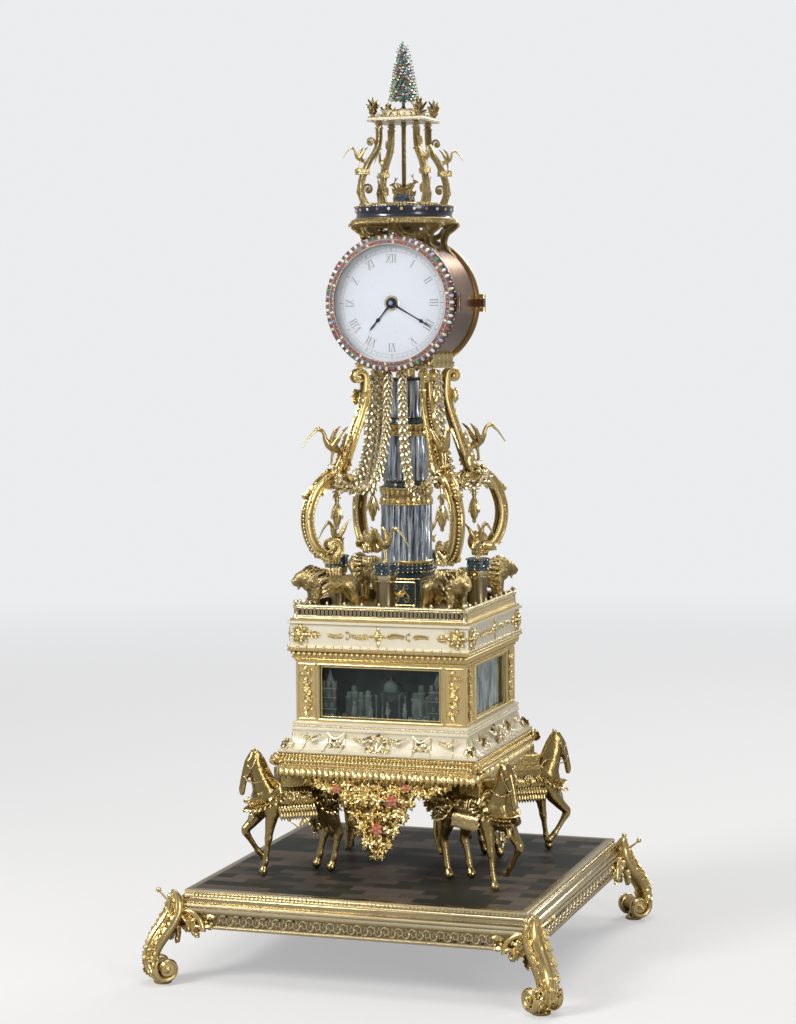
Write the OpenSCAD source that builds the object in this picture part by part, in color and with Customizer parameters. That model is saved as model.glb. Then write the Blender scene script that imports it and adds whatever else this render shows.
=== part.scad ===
// Automaton tower clock. Four horses on a footed plinth carry a case with a moving procession
// and a musical train. Four lions on the case carry scroll legs around a cascade of glass rods,
// and the legs carry the clock drum, a pavilion with turning animals and a jewelled tree.
// The front faces -Y, and the origin is the middle of the footprint at the floor.

/* [Plinth] */
// Width of the plinth's engraved frieze
plinth_w = 444; // [430:2:456]
// Height of the frieze's lower edge above the floor
foot_h = 66; // [64:1:69]
// Height of the engraved frieze
frieze_h = 21; // [19:1:24]
// Height of the stepped moulding above the frieze
moulding_h = 25; // [24:1:28]

/* [Horses] */
// Height of a horse from its hooves to its saddle
horse_h = 132; // [129:1:135]
// Angle between a horse and the front of the clock
heading = 36; // [34:1:38]

/* [Case] */
// Width of the window box
case_w = 219; // [217:1:223]
// Height of the window box
window_h = 75; // [74:1:80]
// Height of the cornice with its white frieze
cornice_h = 50; // [47:1:54]
// Height of the pierced gallery
gallery_h = 20; // [17:1:23]

/* [Cascade] */
// Height from the case's top to the cradle under the drum
tower_h = 307; // [302:1:312]
// Glass rods around the lowest tier
rods = 24; // [18:1:24]

/* [Clock] */
// Outer radius of the clock drum
drum_r = 80; // [79:1:83]
// Depth of the drum in front of the tower's axis
drum_front = 50; // [49:1:53]
// Depth of the drum behind the tower's axis
drum_back = 45; // [43:1:48]

/* [Crown] */
// Radius of the pavilion's blue floor
crown_r = 62; // [60:1:66]
// Height of the lyre-shaped pavilion
lyre_h = 104; // [100:1:108]
// Height of the jewelled tree
tree_h = 86; // [80:1:92]

/* [Hidden] */
$fn = 48;
// A shaft runs in its bore with this much room all round
fit = 0.05;
// Room between moving pieces that pass each other
gap = 0.3;
// Room in a glued joint between bars
joint = 0.02;
// Metals, glass and stone
GILT = "goldenrod";
PALE_GILT = "khaki";
BRASS = "darkgoldenrod";
STEEL = "silver";
DARK = "darkslategray";
BLUE = "midnightblue";
WHITE = "ivory";
GLASS = "lightblue";

// Levels above the floor
z_frieze = foot_h;
z_moulding = z_frieze + frieze_h;
z_slab = z_moulding + moulding_h;
z_case = z_slab + horse_h;
floor_t = 10;
gadroon_h = 17;
z_cove = z_case + floor_t + gadroon_h;
cove_h = 36;
z_window = z_cove + cove_h;
z_cornice = z_window + window_h;
z_top = z_cornice + cornice_h;
top_t = 3;
z_deck = z_top + top_t;
z_cradle = z_deck + tower_h;
z_clock = z_cradle + 1 + drum_r;
crown_gap = 19;
z_crown = z_clock + drum_r + crown_gap;
rim_h = 6;
crown_h = 16;
z_pavilion = z_crown + rim_h + crown_h;
z_tray = z_pavilion + lyre_h;
tray_h = 5;
block_h = 9;
z_tree = z_tray + tray_h + block_h + 2;

// Plinth
frieze_hw = plinth_w / 2;
frieze_t = 8;
slab_hw = frieze_hw - 15;
slab_t = 13;
// Foot positions along the diagonal, counted from the frieze's corner
corner_r = frieze_hw * sqrt(2);
foot_r = corner_r + 23;
pad_r = 11;
foot_w = 24;
spray_t = 6;
tongue_w = 28;

// Horses
horse_x = 120;
horse_y = 92;
horse_k = horse_h / 132;

// Case
case_hw = case_w / 2;
wall_t = 5;
door_t = 2.5;
post_w = 30.5;
side_post_w = 41.5;
rail_h = 4;
gadroon_hw = case_hw + 22.5;
apron_hw = [96, 50];
apron_t = 6;
cornice_hw = case_hw + 5.5;
boss_r = 11;
deck_t = 3;
pane_t = 2;
lap = 3;
sight_w = case_w - 2 * post_w;
side_sight_w = case_w - 2 * side_post_w;
sight_h = window_h - 2 * rail_h;
z_sight = z_window + rail_h;

// Musical train: arbors run along X, and each pair's distance comes from its teeth
train_z = z_window + 37;
spring_teeth = 60;
barrel_teeth = 20;
fly_wheel_teeth = 48;
fly_teeth = 16;
train_module = 1;
fly_module = 0.75;
music_y = 22;
spring_y = music_y + (spring_teeth + barrel_teeth) * train_module / 2;
fly_distance = (fly_wheel_teeth + fly_teeth) * fly_module / 2;
fly_angle = 150;
fly_y = music_y + fly_distance * cos(fly_angle);
fly_z = train_z + fly_distance * sin(fly_angle);
plate_x = 74;
plate_t = 4;
plate_y = -30;
plate_l = case_hw - 25.5 - plate_y;
arbor_r = 3;
fly_arbor_r = 1.5;
bell_y = -16;
bell_z = train_z - 14;
hammer_y = 3;
hammer_z = train_z - 28;

// Procession
figure_y = -case_hw + 29.5;
carriage_w = 110;
backdrop_y = -case_hw + 47.5;

// Corner figures and pedestals on the case
lion_r = cornice_hw * sqrt(2) - 57.6;
lion_h = 65;
pedestal_r = 13.5;
pedestal_h = 54;
cap_h = 16;
// How far the pedestals stand from the axis, at the sides and in front
pedestal_at = [cornice_hw - 21, cornice_hw - 31];

// Scroll legs, drawn in the diagonal plane for a tower 307 high and lions 105 from the axis
leg_k = tower_h / 307;
leg_shift = lion_r - 105;
leg_w = 21;
shoulder_z = z_deck + 187 * leg_k;
perch_r = lion_r - 2;
drop_r = lion_r - 8;
garland_r = lion_r - 4;
drop_h = 54;

// Cascade
shaft_r = 4;
basin_h = 62;
z_rods = z_deck + basin_h + gap + 4;
// Three tiers that fill a tower 307 high
tier_k = (tower_h - basin_h - 76) / 169;
tier_h = [69, 55, 45] * tier_k;
collar_h = [32, 24];
tier_r = [29, 24.5, 18];
z_tier = [z_rods, z_rods + tier_h[0] + collar_h[0],
    z_rods + tier_h[0] + tier_h[1] + collar_h[0] + collar_h[1]];
z_shaft_top = z_tier[2] + tier_h[2] + 4;
rod_gap = 0.8;

// Clock: distances f are counted towards the front from the tower's axis
wall = 3;
dial_t = 2.2;
dial_r = drum_r - 4;
sight_r = drum_r - 7.5;
glass_r = drum_r - 5;
bezel_r = drum_r + 4.5;
f_dial = drum_front + dial_t;
f_bezel = f_dial + gap;
f_glass = f_bezel + 5.5;
f_lip = f_glass + 2;
f_front = f_lip + 3;
hour_hand_l = 44;
minute_hand_l = 60;
// Twenty past seven, in degrees clockwise from twelve
hour_turn = 220;
minute_turn = 120;
plate_f = drum_front - 28;
movement_t = 2.5;
motion_distance = 24;
cannon_teeth = 16;
minute_teeth = 48;
motion_pinion_teeth = 16;
hour_teeth = 64;
cannon_module = 2 * motion_distance / (cannon_teeth + minute_teeth);
hour_module = 2 * motion_distance / (motion_pinion_teeth + hour_teeth);
going_module = 0.8;
center_teeth = 16;
great_teeth = 64;
barrel_distance = (center_teeth + great_teeth) * going_module / 2;
center_r = 2.5;
pipe_r = 4;
staff_r = 1.5;
balance_at = [30, 30];
hinge_r = 3;
pin_r = 1.25;
drum_hinge_x = drum_r + 8;

// Crown
lyre_k = lyre_h / 104;
lyre_w = 9;
lyre_perch_r = 62;
carousel_r = 44;
crown_shaft_r = 3;
tray_hw = 36;
block_hw = 22.5;

// Curves

// A point between control points i and i + 1 of a smooth curve through all of them
function curve_at(pts, i, t) =
    let (a = pts[max(i - 1, 0)], b = pts[i], c = pts[i + 1], d = pts[min(i + 2, len(pts) - 1)])
    0.5 * (2 * b + (c - a) * t + (2 * a - 5 * b + 4 * c - d) * t * t + (3 * b - a - 3 * c + d) * t * t * t);

// The curve itself, with some steps between each pair of control points
function smooth(pts, steps) =
    [for (i = [0:len(pts) - 2], k = [0:steps - 1]) curve_at(pts, i, k / steps), pts[len(pts) - 1]];

function unit(v) = v / norm(v);

// A spiral of [x, y, width] from angle a0 to a1 round a centre, drawn in towards its eye
function curl(centre, r, a0, a1, w0, w1, n = 22) =
    [for (k = [0:n]) let (t = k / n, a = a0 + (a1 - a0) * t, q = r * (1 - 0.68 * t))
        [centre[0] + q * cos(a), centre[1] + q * sin(a), w0 + (w1 - w0) * t]];

function edge_point(path, i, side) =
    let (d = path[min(i + 1, len(path) - 1)] - path[max(i - 1, 0)], t = unit([d[0], d[1]]))
    [path[i][0] - side * t[1] * path[i][2] / 2, path[i][1] + side * t[0] * path[i][2] / 2];

// A flat band along a path of [x, y, width]
module band(path) {
    last = len(path) - 1;
    polygon(concat([for (i = [0:last]) edge_point(path, i, 1)],
        [for (i = [last:-1:0]) edge_point(path, i, -1)]));
}

// A round tube along points in space, with its rings turned from one reference direction
function ring_point(p, i, r, a, ref) =
    let (t = unit(p[min(i + 1, len(p) - 1)] - p[max(i - 1, 0)]), u = unit(cross(t, ref)), v = cross(t, u))
    p[i] + r * (cos(a) * u + sin(a) * v);

module tube(p, r, sides, ref) {
    last = len(p) - 1;
    polyhedron(
        points = [for (i = [0:last], k = [0:sides - 1]) ring_point(p, i, r, 360 * k / sides, ref)],
        faces = concat([[for (k = [0:sides - 1]) k]],
            [[for (k = [sides - 1:-1:0]) last * sides + k]],
            [for (i = [0:last - 1], k = [0:sides - 1])
                let (a = i * sides + k, b = i * sides + (k + 1) % sides) [a, a + sides, b + sides]],
            [for (i = [0:last - 1], k = [0:sides - 1])
                let (a = i * sides + k, b = i * sides + (k + 1) % sides) [a, b + sides, b]]));
}

// Shared shapes

// Children once on each side or corner
module quarters() {
    for (i = [0:3]) rotate(90 * i) children();
}

// Children drawn with X as the distance from the axis along the front left diagonal, and Y as height
module diagonals(w) {
    for (i = [0:3]) rotate(45 + 90 * i) rotate([90, 0, 0]) linear_extrude(w, center = true) children();
}

// Children placed on each diagonal at a radius and a height, facing outwards
module at_corners(r, z) {
    for (i = [0:3]) rotate(45 + 90 * i) translate([r, 0, z]) children();
}

// Four mitred bars round a square, from a profile of [distance from the axis, height]
module square_ring(profile, reach) {
    for (i = [0:3]) rotate(90 * i) intersection() {
        rotate([90, 0, 90]) linear_extrude(2 * reach, center = true)
            polygon([for (p = profile) [-p[0], p[1]]]);
        translate([0, -joint, 0]) linear_extrude(6 * reach)
            polygon([[0, 0], [-reach, -reach], [reach, -reach]]);
    }
}

module plate(hw, z, h) {
    translate([-hw, -hw, z]) cube([2 * hw, 2 * hw, h]);
}

// Round beads of [x, y, z, radius], each blended into the next
module limb(beads, sides = 8) {
    for (i = [0:len(beads) - 2]) hull() for (b = [beads[i], beads[i + 1]])
        translate([b[0], b[1], b[2]]) sphere(r = b[3], $fn = sides);
}

// Half the angle of an involute tooth at radius r, for 20 degree teeth
function involute(a) = tan(a) * 180 / PI - a;
function tooth_half(r, pitch_r, thick) =
    thick * 90 / PI / pitch_r + involute(20) - involute(acos(min(1, pitch_r * cos(20) / r)));

// A gear outline with a tooth on its X axis, thinned to leave backlash
module gear(teeth, m) {
    pitch_r = teeth * m / 2;
    thick = PI * m / 2 - 0.25 * m;
    radii = [pitch_r - 1.05 * m, pitch_r, pitch_r + 0.8 * m];
    half = [for (r = radii) tooth_half(max(r, pitch_r * cos(20)), pitch_r, thick)];
    polygon([for (i = [0:teeth - 1], j = [0:5])
        let (k = j < 3 ? j : 5 - j, s = j < 3 ? -1 : 1, a = 360 * i / teeth + s * half[k])
        radii[k] * [cos(a), sin(a)]]);
}

// Drum pieces are drawn lying down, with Z towards the front
module on_drum() {
    translate([0, 0, z_clock]) rotate([90, 0, 0]) children();
}

module disc(r, f, t) {
    translate([0, 0, f]) cylinder(r = r, h = t, $fn = 96);
}

module ring(outer, inner, f, t) {
    difference() {
        disc(outer, f, t);
        disc(inner, f - 1, t + 2);
    }
}

// The fixed eye of a hinge on a vertical axis, with a leaf back to its wall
module hinge_eye(at, leaf_from, leaf_size, z) {
    difference() {
        union() {
            translate([at[0], at[1], z - 5]) cylinder(r = hinge_r, h = 10);
            translate([leaf_from[0], leaf_from[1], z - 5]) cube([leaf_size[0], leaf_size[1], 10]);
        }
        translate([at[0], at[1], z - 6]) cylinder(r = pin_r + fit, h = 12);
    }
}

// The moving knuckles and their pin
module hinge_pin(at, leaf_from, leaf_size, z) {
    translate([at[0], at[1], z - 11]) cylinder(r = pin_r, h = 22);
    for (s = [-11, 5 + gap]) {
        translate([at[0], at[1], z + s]) cylinder(r = hinge_r, h = 6 - gap);
        translate([leaf_from[0], leaf_from[1], z + s]) cube([leaf_size[0], leaf_size[1], 6 - gap]);
    }
}

// Plinth

module plinth_slab() color(DARK) plate(slab_hw, z_slab - slab_t, slab_t);

module plinth_moulding() color(BRASS) {
    f = frieze_hw;
    z = z_moulding;
    inner = slab_hw - 12;
    square_ring([[inner, z], [f + 4, z], [f + 4, z + 6], [f + 1, z + 9], [f - 2, z + 9], [f - 2, z + 17],
        [f - 7, z + 17], [f - 7, z_slab], [slab_hw, z_slab], [slab_hw, z_slab - slab_t],
        [inner, z_slab - slab_t]], f + 40);
}

module plinth_frieze() color(BRASS) {
    f = frieze_hw;
    z = z_frieze;
    square_ring([[f - frieze_t, z], [f + 2, z], [f + 2, z + 3], [f, z + 5], [f, z_moulding],
        [f - frieze_t, z_moulding]], f + 40);
}

// The outline of a foot from the leaf tip at the moulding down to the volute on the floor
function foot_path() = let (r = foot_r, k = foot_h / 66) concat(
    smooth([[r + 13, 108 * k, 4], [r + 3, 106 * k, 8], [r - 7, 96 * k, 12], [r - 9, 82 * k, 15],
        [r, 66 * k, 20], [r + 13, 50 * k, 20], [r + 19, 36 * k, 13], [r + 17, 21, 9]], 3),
    [for (p = curl([r, 20], 17, 0, -380, 9, 4)) if (p[0] < r + 16.9) p]);

// A leaf spray towards the frieze's end, with its berries
module leaf_spray() {
    polygon([[12, 6], [66, -4], [66, frieze_h - 1], [30, frieze_h - 3]]);
    for (k = [0:4]) translate([18 + 10 * k, 6 + 1.4 * k]) circle(r = 5 + 0.6 * k);
}

module scroll_feet() color(GILT) difference() {
    union() {
        diagonals(foot_w) band(foot_path());
        // The broad roll of the volute, and its pad on the floor
        at_corners(foot_r, 20) rotate([90, 0, 0]) translate([0, 0, -20]) cylinder(r = 12, h = 40);
        at_corners(foot_r, 0) cylinder(r = pad_r, h = 12);
        // Leaf sprays along both faces of the frieze
        quarters() for (s = [-1, 1]) rotate(s > 0 ? 0 : 90)
            translate([frieze_hw - 62, s * (frieze_hw + spray_t), z_frieze])
                mirror([0, s < 0 ? 1 : 0, 0]) rotate([90, 0, 0]) linear_extrude(spray_t + 2) leaf_spray();
        // The block inside the corner, and the tongue under the frieze, that hold the foot to the plinth
        quarters() translate([frieze_hw - 36, frieze_hw - 36, z_frieze - 6]) cube([30, 30, frieze_h + 8]);
        at_corners(foot_r, z_frieze - 8) translate([-60, -tongue_w / 2, 0]) cube([64, tongue_w, 9]);
    }
    plate(frieze_hw + 4, z_moulding, moulding_h);
    for (i = [0:3]) rotate(90 * i) translate([-frieze_hw - 2, frieze_hw - frieze_t, z_frieze])
        cube([2 * frieze_hw + 4, frieze_t + 2, frieze_h]);
}

// Horses

// One foreleg is raised. The hooves stand at the origin's height.
module horse() {
    color(GILT) scale(horse_k) intersection() {
        union() {
            limb([[34, 0, 94, 24], [0, 0, 98, 25], [-34, 0, 99, 26]], 12);
            limb([[38, 0, 104, 19], [46, 0, 128, 13], [46, 0, 145, 10]], 10);
            limb([[48, 0, 146, 9], [62, 0, 126, 8], [68, 0, 103, 5]]);
            for (s = [-5, 5]) limb([[45, s, 150, 3], [47, s, 160, 1]], 6);
            limb([[30, 13, 86, 13], [36, 14, 48, 7], [42, 14, 14, 5], [46, 14, 4, 7]]);
            limb([[34, -13, 88, 13], [60, -14, 52, 7], [44, -14, 28, 5], [36, -14, 20, 6]]);
            limb([[-42, 13, 92, 16], [-58, 14, 46, 8], [-52, 14, 14, 5], [-49, 14, 4, 7]]);
            limb([[-42, -13, 92, 16], [-50, -14, 44, 8], [-41, -14, 14, 5], [-38, -14, 4, 7]]);
            limb([[-58, 0, 106, 8], [-74, 0, 86, 8], [-78, 0, 52, 7], [-74, 0, 22, 3]]);
            // Saddle under the case
            hull() {
                translate([-20, -18, 120]) cube([40, 36, 20]);
                translate([0, 0, 98]) sphere(r = 27, $fn = 12);
            }
        }
        translate([-120, -60, 0]) cube([240, 120, 170]);
    }
}

// A horse is trimmed flat where the case rests on it
module horse_at(sx, sy) {
    difference() {
        translate([sx * horse_x, sy * horse_y, z_slab])
            mirror([sx < 0 ? 1 : 0, 0, 0]) mirror([0, sy < 0 ? 1 : 0, 0]) rotate(heading) horse();
        translate([-gadroon_hw, -gadroon_hw, z_case]) cube([2 * gadroon_hw, 2 * gadroon_hw, 60]);
    }
}

module horse_front_left() horse_at(-1, -1);
module horse_front_right() horse_at(1, -1);
module horse_rear_left() horse_at(-1, 1);
module horse_rear_right() horse_at(1, 1);

// Case

module case_floor() color(GILT) plate(gadroon_hw - 3, z_case, floor_t);

module gadroon_moulding() color(GILT) {
    g = gadroon_hw;
    z = z_case + floor_t;
    top = z_cove;
    square_ring([[g - 20, z], [g - 3, z], [g, z + 4], [g, z + 8], [g - 3, z + 13], [g - 4, top],
        [g - 20, top]], g + 40);
}

// One side's garland, with X along the side and Y as the height below the floor
module apron_outline(hw) {
    translate([-hw, -16]) square([2 * hw, 16]);
    lobes = floor(hw / 14);
    for (i = [-lobes:lobes]) translate([13 * i, -16 - 6 * abs(sin(60 * i))]) circle(r = 9);
    for (k = [0:3], j = [0:4 - k]) translate([20 * (j - (4 - k) / 2), -30 - 18 * k]) circle(r = 12);
    translate([0, -96]) circle(r = 9);
}

module apron_garlands() color(GILT) for (i = [0:3]) rotate(90 * i)
    translate([0, -gadroon_hw + 9, z_case]) rotate([90, 0, 0])
        linear_extrude(apron_t) apron_outline(apron_hw[i % 2]);

module cove_panels() color(WHITE) {
    c = case_hw;
    inner = c - wall_t - 1;
    shelf = z_window - 11;
    curve = [for (a = [0:15:90]) [c + 3 + 16 * (1 - sin(a)), z_cove + 2 + (cove_h - 15) * (1 - cos(a))]];
    square_ring(concat([[inner, z_cove], [c + 19, z_cove]], curve,
        [[c + 5, shelf], [c + 5, z_window - 2], [c + 2, z_window], [inner + lap, z_window],
        [inner + lap, z_window - deck_t], [inner, z_window - deck_t]]), c + 50);
}

// L-shaped corner posts, and the rails between them
module window_frame() color(GILT) {
    c = case_hw;
    for (i = [0:3]) mirror([i % 2, 0, 0]) mirror([0, floor(i / 2), 0]) {
        translate([c - post_w, c - wall_t, z_window]) cube([post_w, wall_t, window_h]);
        translate([c - wall_t, c - side_post_w, z_window]) cube([wall_t, side_post_w, window_h]);
    }
    for (z = [z_window, z_cornice - rail_h]) {
        for (s = [-c, c - wall_t]) {
            translate([joint - sight_w / 2, s, z]) cube([sight_w - 2 * joint, wall_t, rail_h]);
            translate([s, joint - side_sight_w / 2, z]) cube([wall_t, side_sight_w - 2 * joint, rail_h]);
        }
    }
    hinge_eye([sight_w / 2 + 9, c + 4], [sight_w / 2 + 6, c - 1], [6, 5], z_window + window_h / 2);
}

module window_glass() color(GLASS) {
    translate([-sight_w / 2 - lap, -case_hw + wall_t, z_sight - lap])
        cube([sight_w + 2 * lap, pane_t, sight_h + 2 * lap]);
    for (x = [-case_hw + wall_t, case_hw - wall_t - pane_t])
        translate([x, -side_sight_w / 2 - lap, z_sight - lap])
            cube([pane_t, side_sight_w + 2 * lap, sight_h + 2 * lap]);
}

module rear_door() color(GILT) {
    z_hinge = z_window + window_h / 2;
    translate([-sight_w / 2 - lap, case_hw + gap, z_sight - lap + 1])
        cube([sight_w + 2 * lap, door_t, sight_h + 2 * lap - 2]);
    hinge_pin([sight_w / 2 + 9, case_hw + 4], [sight_w / 2, case_hw + 0.5], [9, 2.3], z_hinge);
    translate([-sight_w / 2 + 6, case_hw + 2, z_hinge]) rotate([-90, 0, 0]) cylinder(r = 3, h = 7);
}

module cornice() color(WHITE) {
    c = cornice_hw;
    inner = case_hw - wall_t;
    z = z_cornice;
    square_ring([[inner, z], [case_hw, z], [c - 1, z + 4], [c - 2, z + 8], [c + 3, z + 12], [c + 3, z + 18],
        [c, z + 21], [c, z_top - 3], [c + 3, z_top], [inner, z_top]], c + 40);
    // Leaf bosses at the ends of each frieze, halfway up its flat face
    quarters() for (s = [-1, 1]) translate([s * (c - 14), -c + 1, (z + 21 + z_top - 3) / 2])
        rotate([90, 0, 0]) cylinder(r = boss_r, h = 4);
}

module case_top() color(GILT) plate(cornice_hw, z_top, top_t);

module gallery() color(GILT) {
    hw = cornice_hw - 3;
    pitch = 9;
    n = floor((hw - 6) / pitch);
    for (i = [0:3]) rotate(90 * i) translate([0, -hw + 3, z_deck]) rotate([90, 0, 0])
        linear_extrude(3) difference() {
            translate([-hw + 6 + joint, 0]) square([2 * (hw - 6 - joint), gallery_h - 3]);
            for (k = [-n + 1:n - 1]) translate([pitch * k, (gallery_h - 3) / 2]) circle(r = 3.4, $fn = 24);
        }
    at_corners((hw - 2) * sqrt(2), z_deck) {
        rotate(45) translate([-4, -4, 0]) cube([6, 6, gallery_h - 3]);
        translate([-1.4, 0, gallery_h - 1]) sphere(r = 4);
    }
}

// Scene behind the front window, on the deck that the procession and the music stand on

module scenery() color("gray") {
    h = sight_h - 4;
    plate(case_hw - wall_t - 1 + lap, z_window - deck_t, deck_t);
    translate([-sight_w / 2, backdrop_y, z_window]) cube([sight_w, pane_t, h + rail_h]);
    // Round-arched gate in the middle, in front of the backdrop
    translate([0, backdrop_y, z_window]) rotate([90, 0, 0]) linear_extrude(4) difference() {
        union() {
            translate([-22, 0]) square([44, 34]);
            translate([0, 34]) circle(r = 14);
            translate([-2, 40]) square([4, 14]);
        }
        translate([-6, -1]) square([12, 16]);
        translate([0, 15]) circle(r = 6);
    }
    // Castle towers at both sides, which the procession passes behind
    for (s = [-1, 1]) translate([s * (sight_w / 2 - 9), -case_hw + wall_t + pane_t + 2, z_window]) {
        translate([-9, 0, 0]) cube([18, 7, 42]);
        for (k = [-1:1]) translate([6.5 * k - 2, 0, 40]) cube([4, 7, 9]);
    }
}

// Five walkers on a carriage that slides along the deck
module procession() color("lightgray") translate([0, figure_y, z_window]) {
    translate([-carriage_w / 2, -4, 0]) cube([carriage_w, 8, 3]);
    for (i = [-2:2]) translate([22 * i, 0, 3]) {
        cylinder(r1 = 5, r2 = 2, h = 17);
        translate([0, 0, 19]) sphere(r = 3.2);
    }
}

// Waterfalls of glass rods before a mirror, in both side windows
module side_mirrors() color("silver") for (s = [-1, 1])
    translate([s * (case_hw - 16.5) - 1, -side_sight_w / 2, z_window]) cube([2, side_sight_w, window_h - 2]);

module side_rods() color(GLASS) for (s = [-1, 1], k = [-8:8])
    translate([s * (case_hw - 11.5), 7.4 * k, z_window]) cylinder(r = 3.3, h = window_h - 3, $fn = 24);

// Musical train

module music_frame() color(BRASS) {
    translate([-plate_x - plate_t, plate_y, z_window]) cube([2 * (plate_x + plate_t), plate_l, 4]);
    for (s = [0, 1]) mirror([s, 0, 0]) difference() {
        translate([plate_x, plate_y, z_window + 4]) cube([plate_t, plate_l, window_h - 8]);
        for (a = [[spring_y, train_z, arbor_r], [music_y, train_z, arbor_r], [fly_y, fly_z, fly_arbor_r],
            [hammer_y, hammer_z, fly_arbor_r]])
            translate([plate_x - 1, a[0], a[1]]) rotate([0, 90, 0]) cylinder(r = a[2] + fit, h = plate_t + 2);
    }
}

// Children stand on an arbor along X, from x0
module on_arbor(y, z, x0 = 0) {
    translate([x0, y, z]) rotate([0, 90, 0]) children();
}

module arbor(y, z, r) {
    on_arbor(y, z, -plate_x - plate_t + 1) cylinder(r = r, h = 2 * (plate_x + plate_t) - 2);
}

// The tooth angle is counted from -Z towards +Y once a gear stands on an arbor
module music_barrel() color(BRASS) {
    arbor(music_y, train_z, arbor_r);
    on_arbor(music_y, train_z, -62) cylinder(r = 16, h = 90);
    on_arbor(music_y, train_z, 50) linear_extrude(4) rotate(90 + fly_angle) gear(fly_wheel_teeth, fly_module);
    on_arbor(music_y, train_z, 60) linear_extrude(6) rotate(90) gear(barrel_teeth, train_module);
}

module spring_barrel() color(BRASS) {
    arbor(spring_y, train_z, arbor_r);
    on_arbor(spring_y, train_z, -20) cylinder(r = 22, h = 66);
    on_arbor(spring_y, train_z, 46) cylinder(r = 8, h = 14);
    on_arbor(spring_y, train_z, 60) linear_extrude(6)
        rotate(270 + 180 / spring_teeth) gear(spring_teeth, train_module);
}

module governor_fly() color(STEEL) {
    arbor(fly_y, fly_z, fly_arbor_r);
    on_arbor(fly_y, fly_z, 32) translate([-1, -15, 0]) cube([2, 30, 14]);
    on_arbor(fly_y, fly_z, 50) linear_extrude(4)
        rotate(fly_angle - 90 + 180 / fly_teeth) gear(fly_teeth, fly_module);
}

module bell_nest() color("lightgray") {
    on_arbor(bell_y, bell_z, -plate_x) cylinder(r = 2, h = 2 * plate_x);
    for (k = [0:4]) on_arbor(bell_y, bell_z, -60 + 17 * k) rotate_extrude()
        polygon([[1, 0], [8, 1], [11.5, 5], [13, 12], [12, 12], [10.5, 6], [7.5, 2.5], [1, 2]]);
}

module bell_hammers() color(STEEL) {
    arbor(hammer_y, hammer_z, fly_arbor_r);
    for (k = [0:4]) translate([-50 + 17 * k, 0, 0]) {
        translate([-1, hammer_y - 1, hammer_z]) cube([2, 2, 22]);
        translate([-2, hammer_y - 4, hammer_z + 20]) cube([4, 4, 5]);
    }
}

// Figures on the case

module lion() {
    intersection() {
        union() {
            limb([[22, 0, 40, 15], [-20, 0, 42, 13]], 10);
            limb([[27, 0, 45, 17], [36, 0, 50, 13]], 10);
            limb([[36, 0, 50, 10], [46, 0, 46, 6]]);
            for (s = [-9, 9]) {
                limb([[24, s, 34, 7], [25, s, 6, 5], [29, s, 3, 5]]);
                limb([[-24, s, 36, 8], [-27, s, 6, 5], [-24, s, 3, 5]]);
            }
            limb([[-30, 0, 46, 4], [-37, 0, 32, 3], [-35, 0, 14, 4]], 6);
            translate([-9, -9, 48]) cube([18, 18, 20]);
        }
        translate([-60, -30, 0]) cube([120, 60, lion_h]);
    }
}

module lions() color(GILT) for (sx = [-1, 1], sy = [-1, 1])
    translate([sx * lion_r / sqrt(2), sy * lion_r / sqrt(2), z_deck])
        mirror([sx < 0 ? 1 : 0, 0, 0]) mirror([0, sy < 0 ? 1 : 0, 0]) rotate(heading) lion();

// A crane standing at the origin and facing +X, with raised wings
module crane() {
    intersection() {
        union() {
            translate([-5, -5, 0]) cube([10, 10, 2]);
            limb([[0, 0, 0, 2.5], [-1, 0, 14, 2.5], [-4, 0, 21, 6.5], [6, 0, 26, 5], [12, 0, 42, 2.6],
                [20, 0, 46, 2.6]], 6);
            limb([[20, 0, 46, 2.2], [40, 0, 24, 1]], 5);
            for (s = [-1, 1]) limb([[-2, s * 4, 24, 4], [-9, s * 11, 43, 2]], 6);
            limb([[-7, 0, 18, 4], [-13, 0, 14, 2]], 6);
        }
        translate([-60, -30, 0]) cube([120, 60, 60]);
    }
}

module pedestals() color(BRASS) for (i = [0:3]) rotate(90 * i)
    translate([pedestal_at[i % 2], 0, z_deck]) {
        cylinder(r = pedestal_r, h = pedestal_h);
        translate([0, 0, pedestal_h]) cylinder(r = pedestal_r + 2, h = cap_h);
    }

// Cranes on the pedestals, on the shoulders of the scroll legs and on the lyre legs' perches
module cranes() color(GILT) {
    for (i = [0:3]) rotate(90 * i)
        translate([pedestal_at[i % 2], 0, z_deck + pedestal_h + cap_h]) rotate(70) scale(0.9) crane();
    at_corners(perch_r, shoulder_z) crane();
    at_corners(lyre_perch_r, z_pavilion + 38 * lyre_k + 7) scale(0.55) crane();
}

// Cascade

module cascade_basin() color(DARK) difference() {
    union() {
        plate(27, z_deck, basin_h - 11);
        translate([0, 0, z_deck + basin_h - 11]) cylinder(r = 34, h = 11, $fn = 96);
    }
    translate([0, 0, z_deck + 12]) cylinder(r = shaft_r + fit, h = basin_h);
}

// The turning shaft with its collars, in a bore in the basin and another in the cradle
module cascade_column() color(GILT) {
    translate([0, 0, z_deck + 13]) cylinder(r = shaft_r, h = z_shaft_top + 7 - z_deck - 13);
    translate([0, 0, z_rods - 4]) cylinder(r = tier_r[0] + 5, h = 4, $fn = 96);
    for (i = [0, 1]) {
        z = z_tier[i] + tier_h[i];
        translate([0, 0, z]) cylinder(r = tier_r[i] + 5, h = collar_h[i] - 9, $fn = 96);
        translate([0, 0, z + collar_h[i] - 9]) cylinder(r = tier_r[i + 1] + 5, h = 9, $fn = 96);
    }
    translate([0, 0, z_tier[2] + tier_h[2]]) cylinder(r = tier_r[2] + 5, h = 4, $fn = 96);
}

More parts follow.
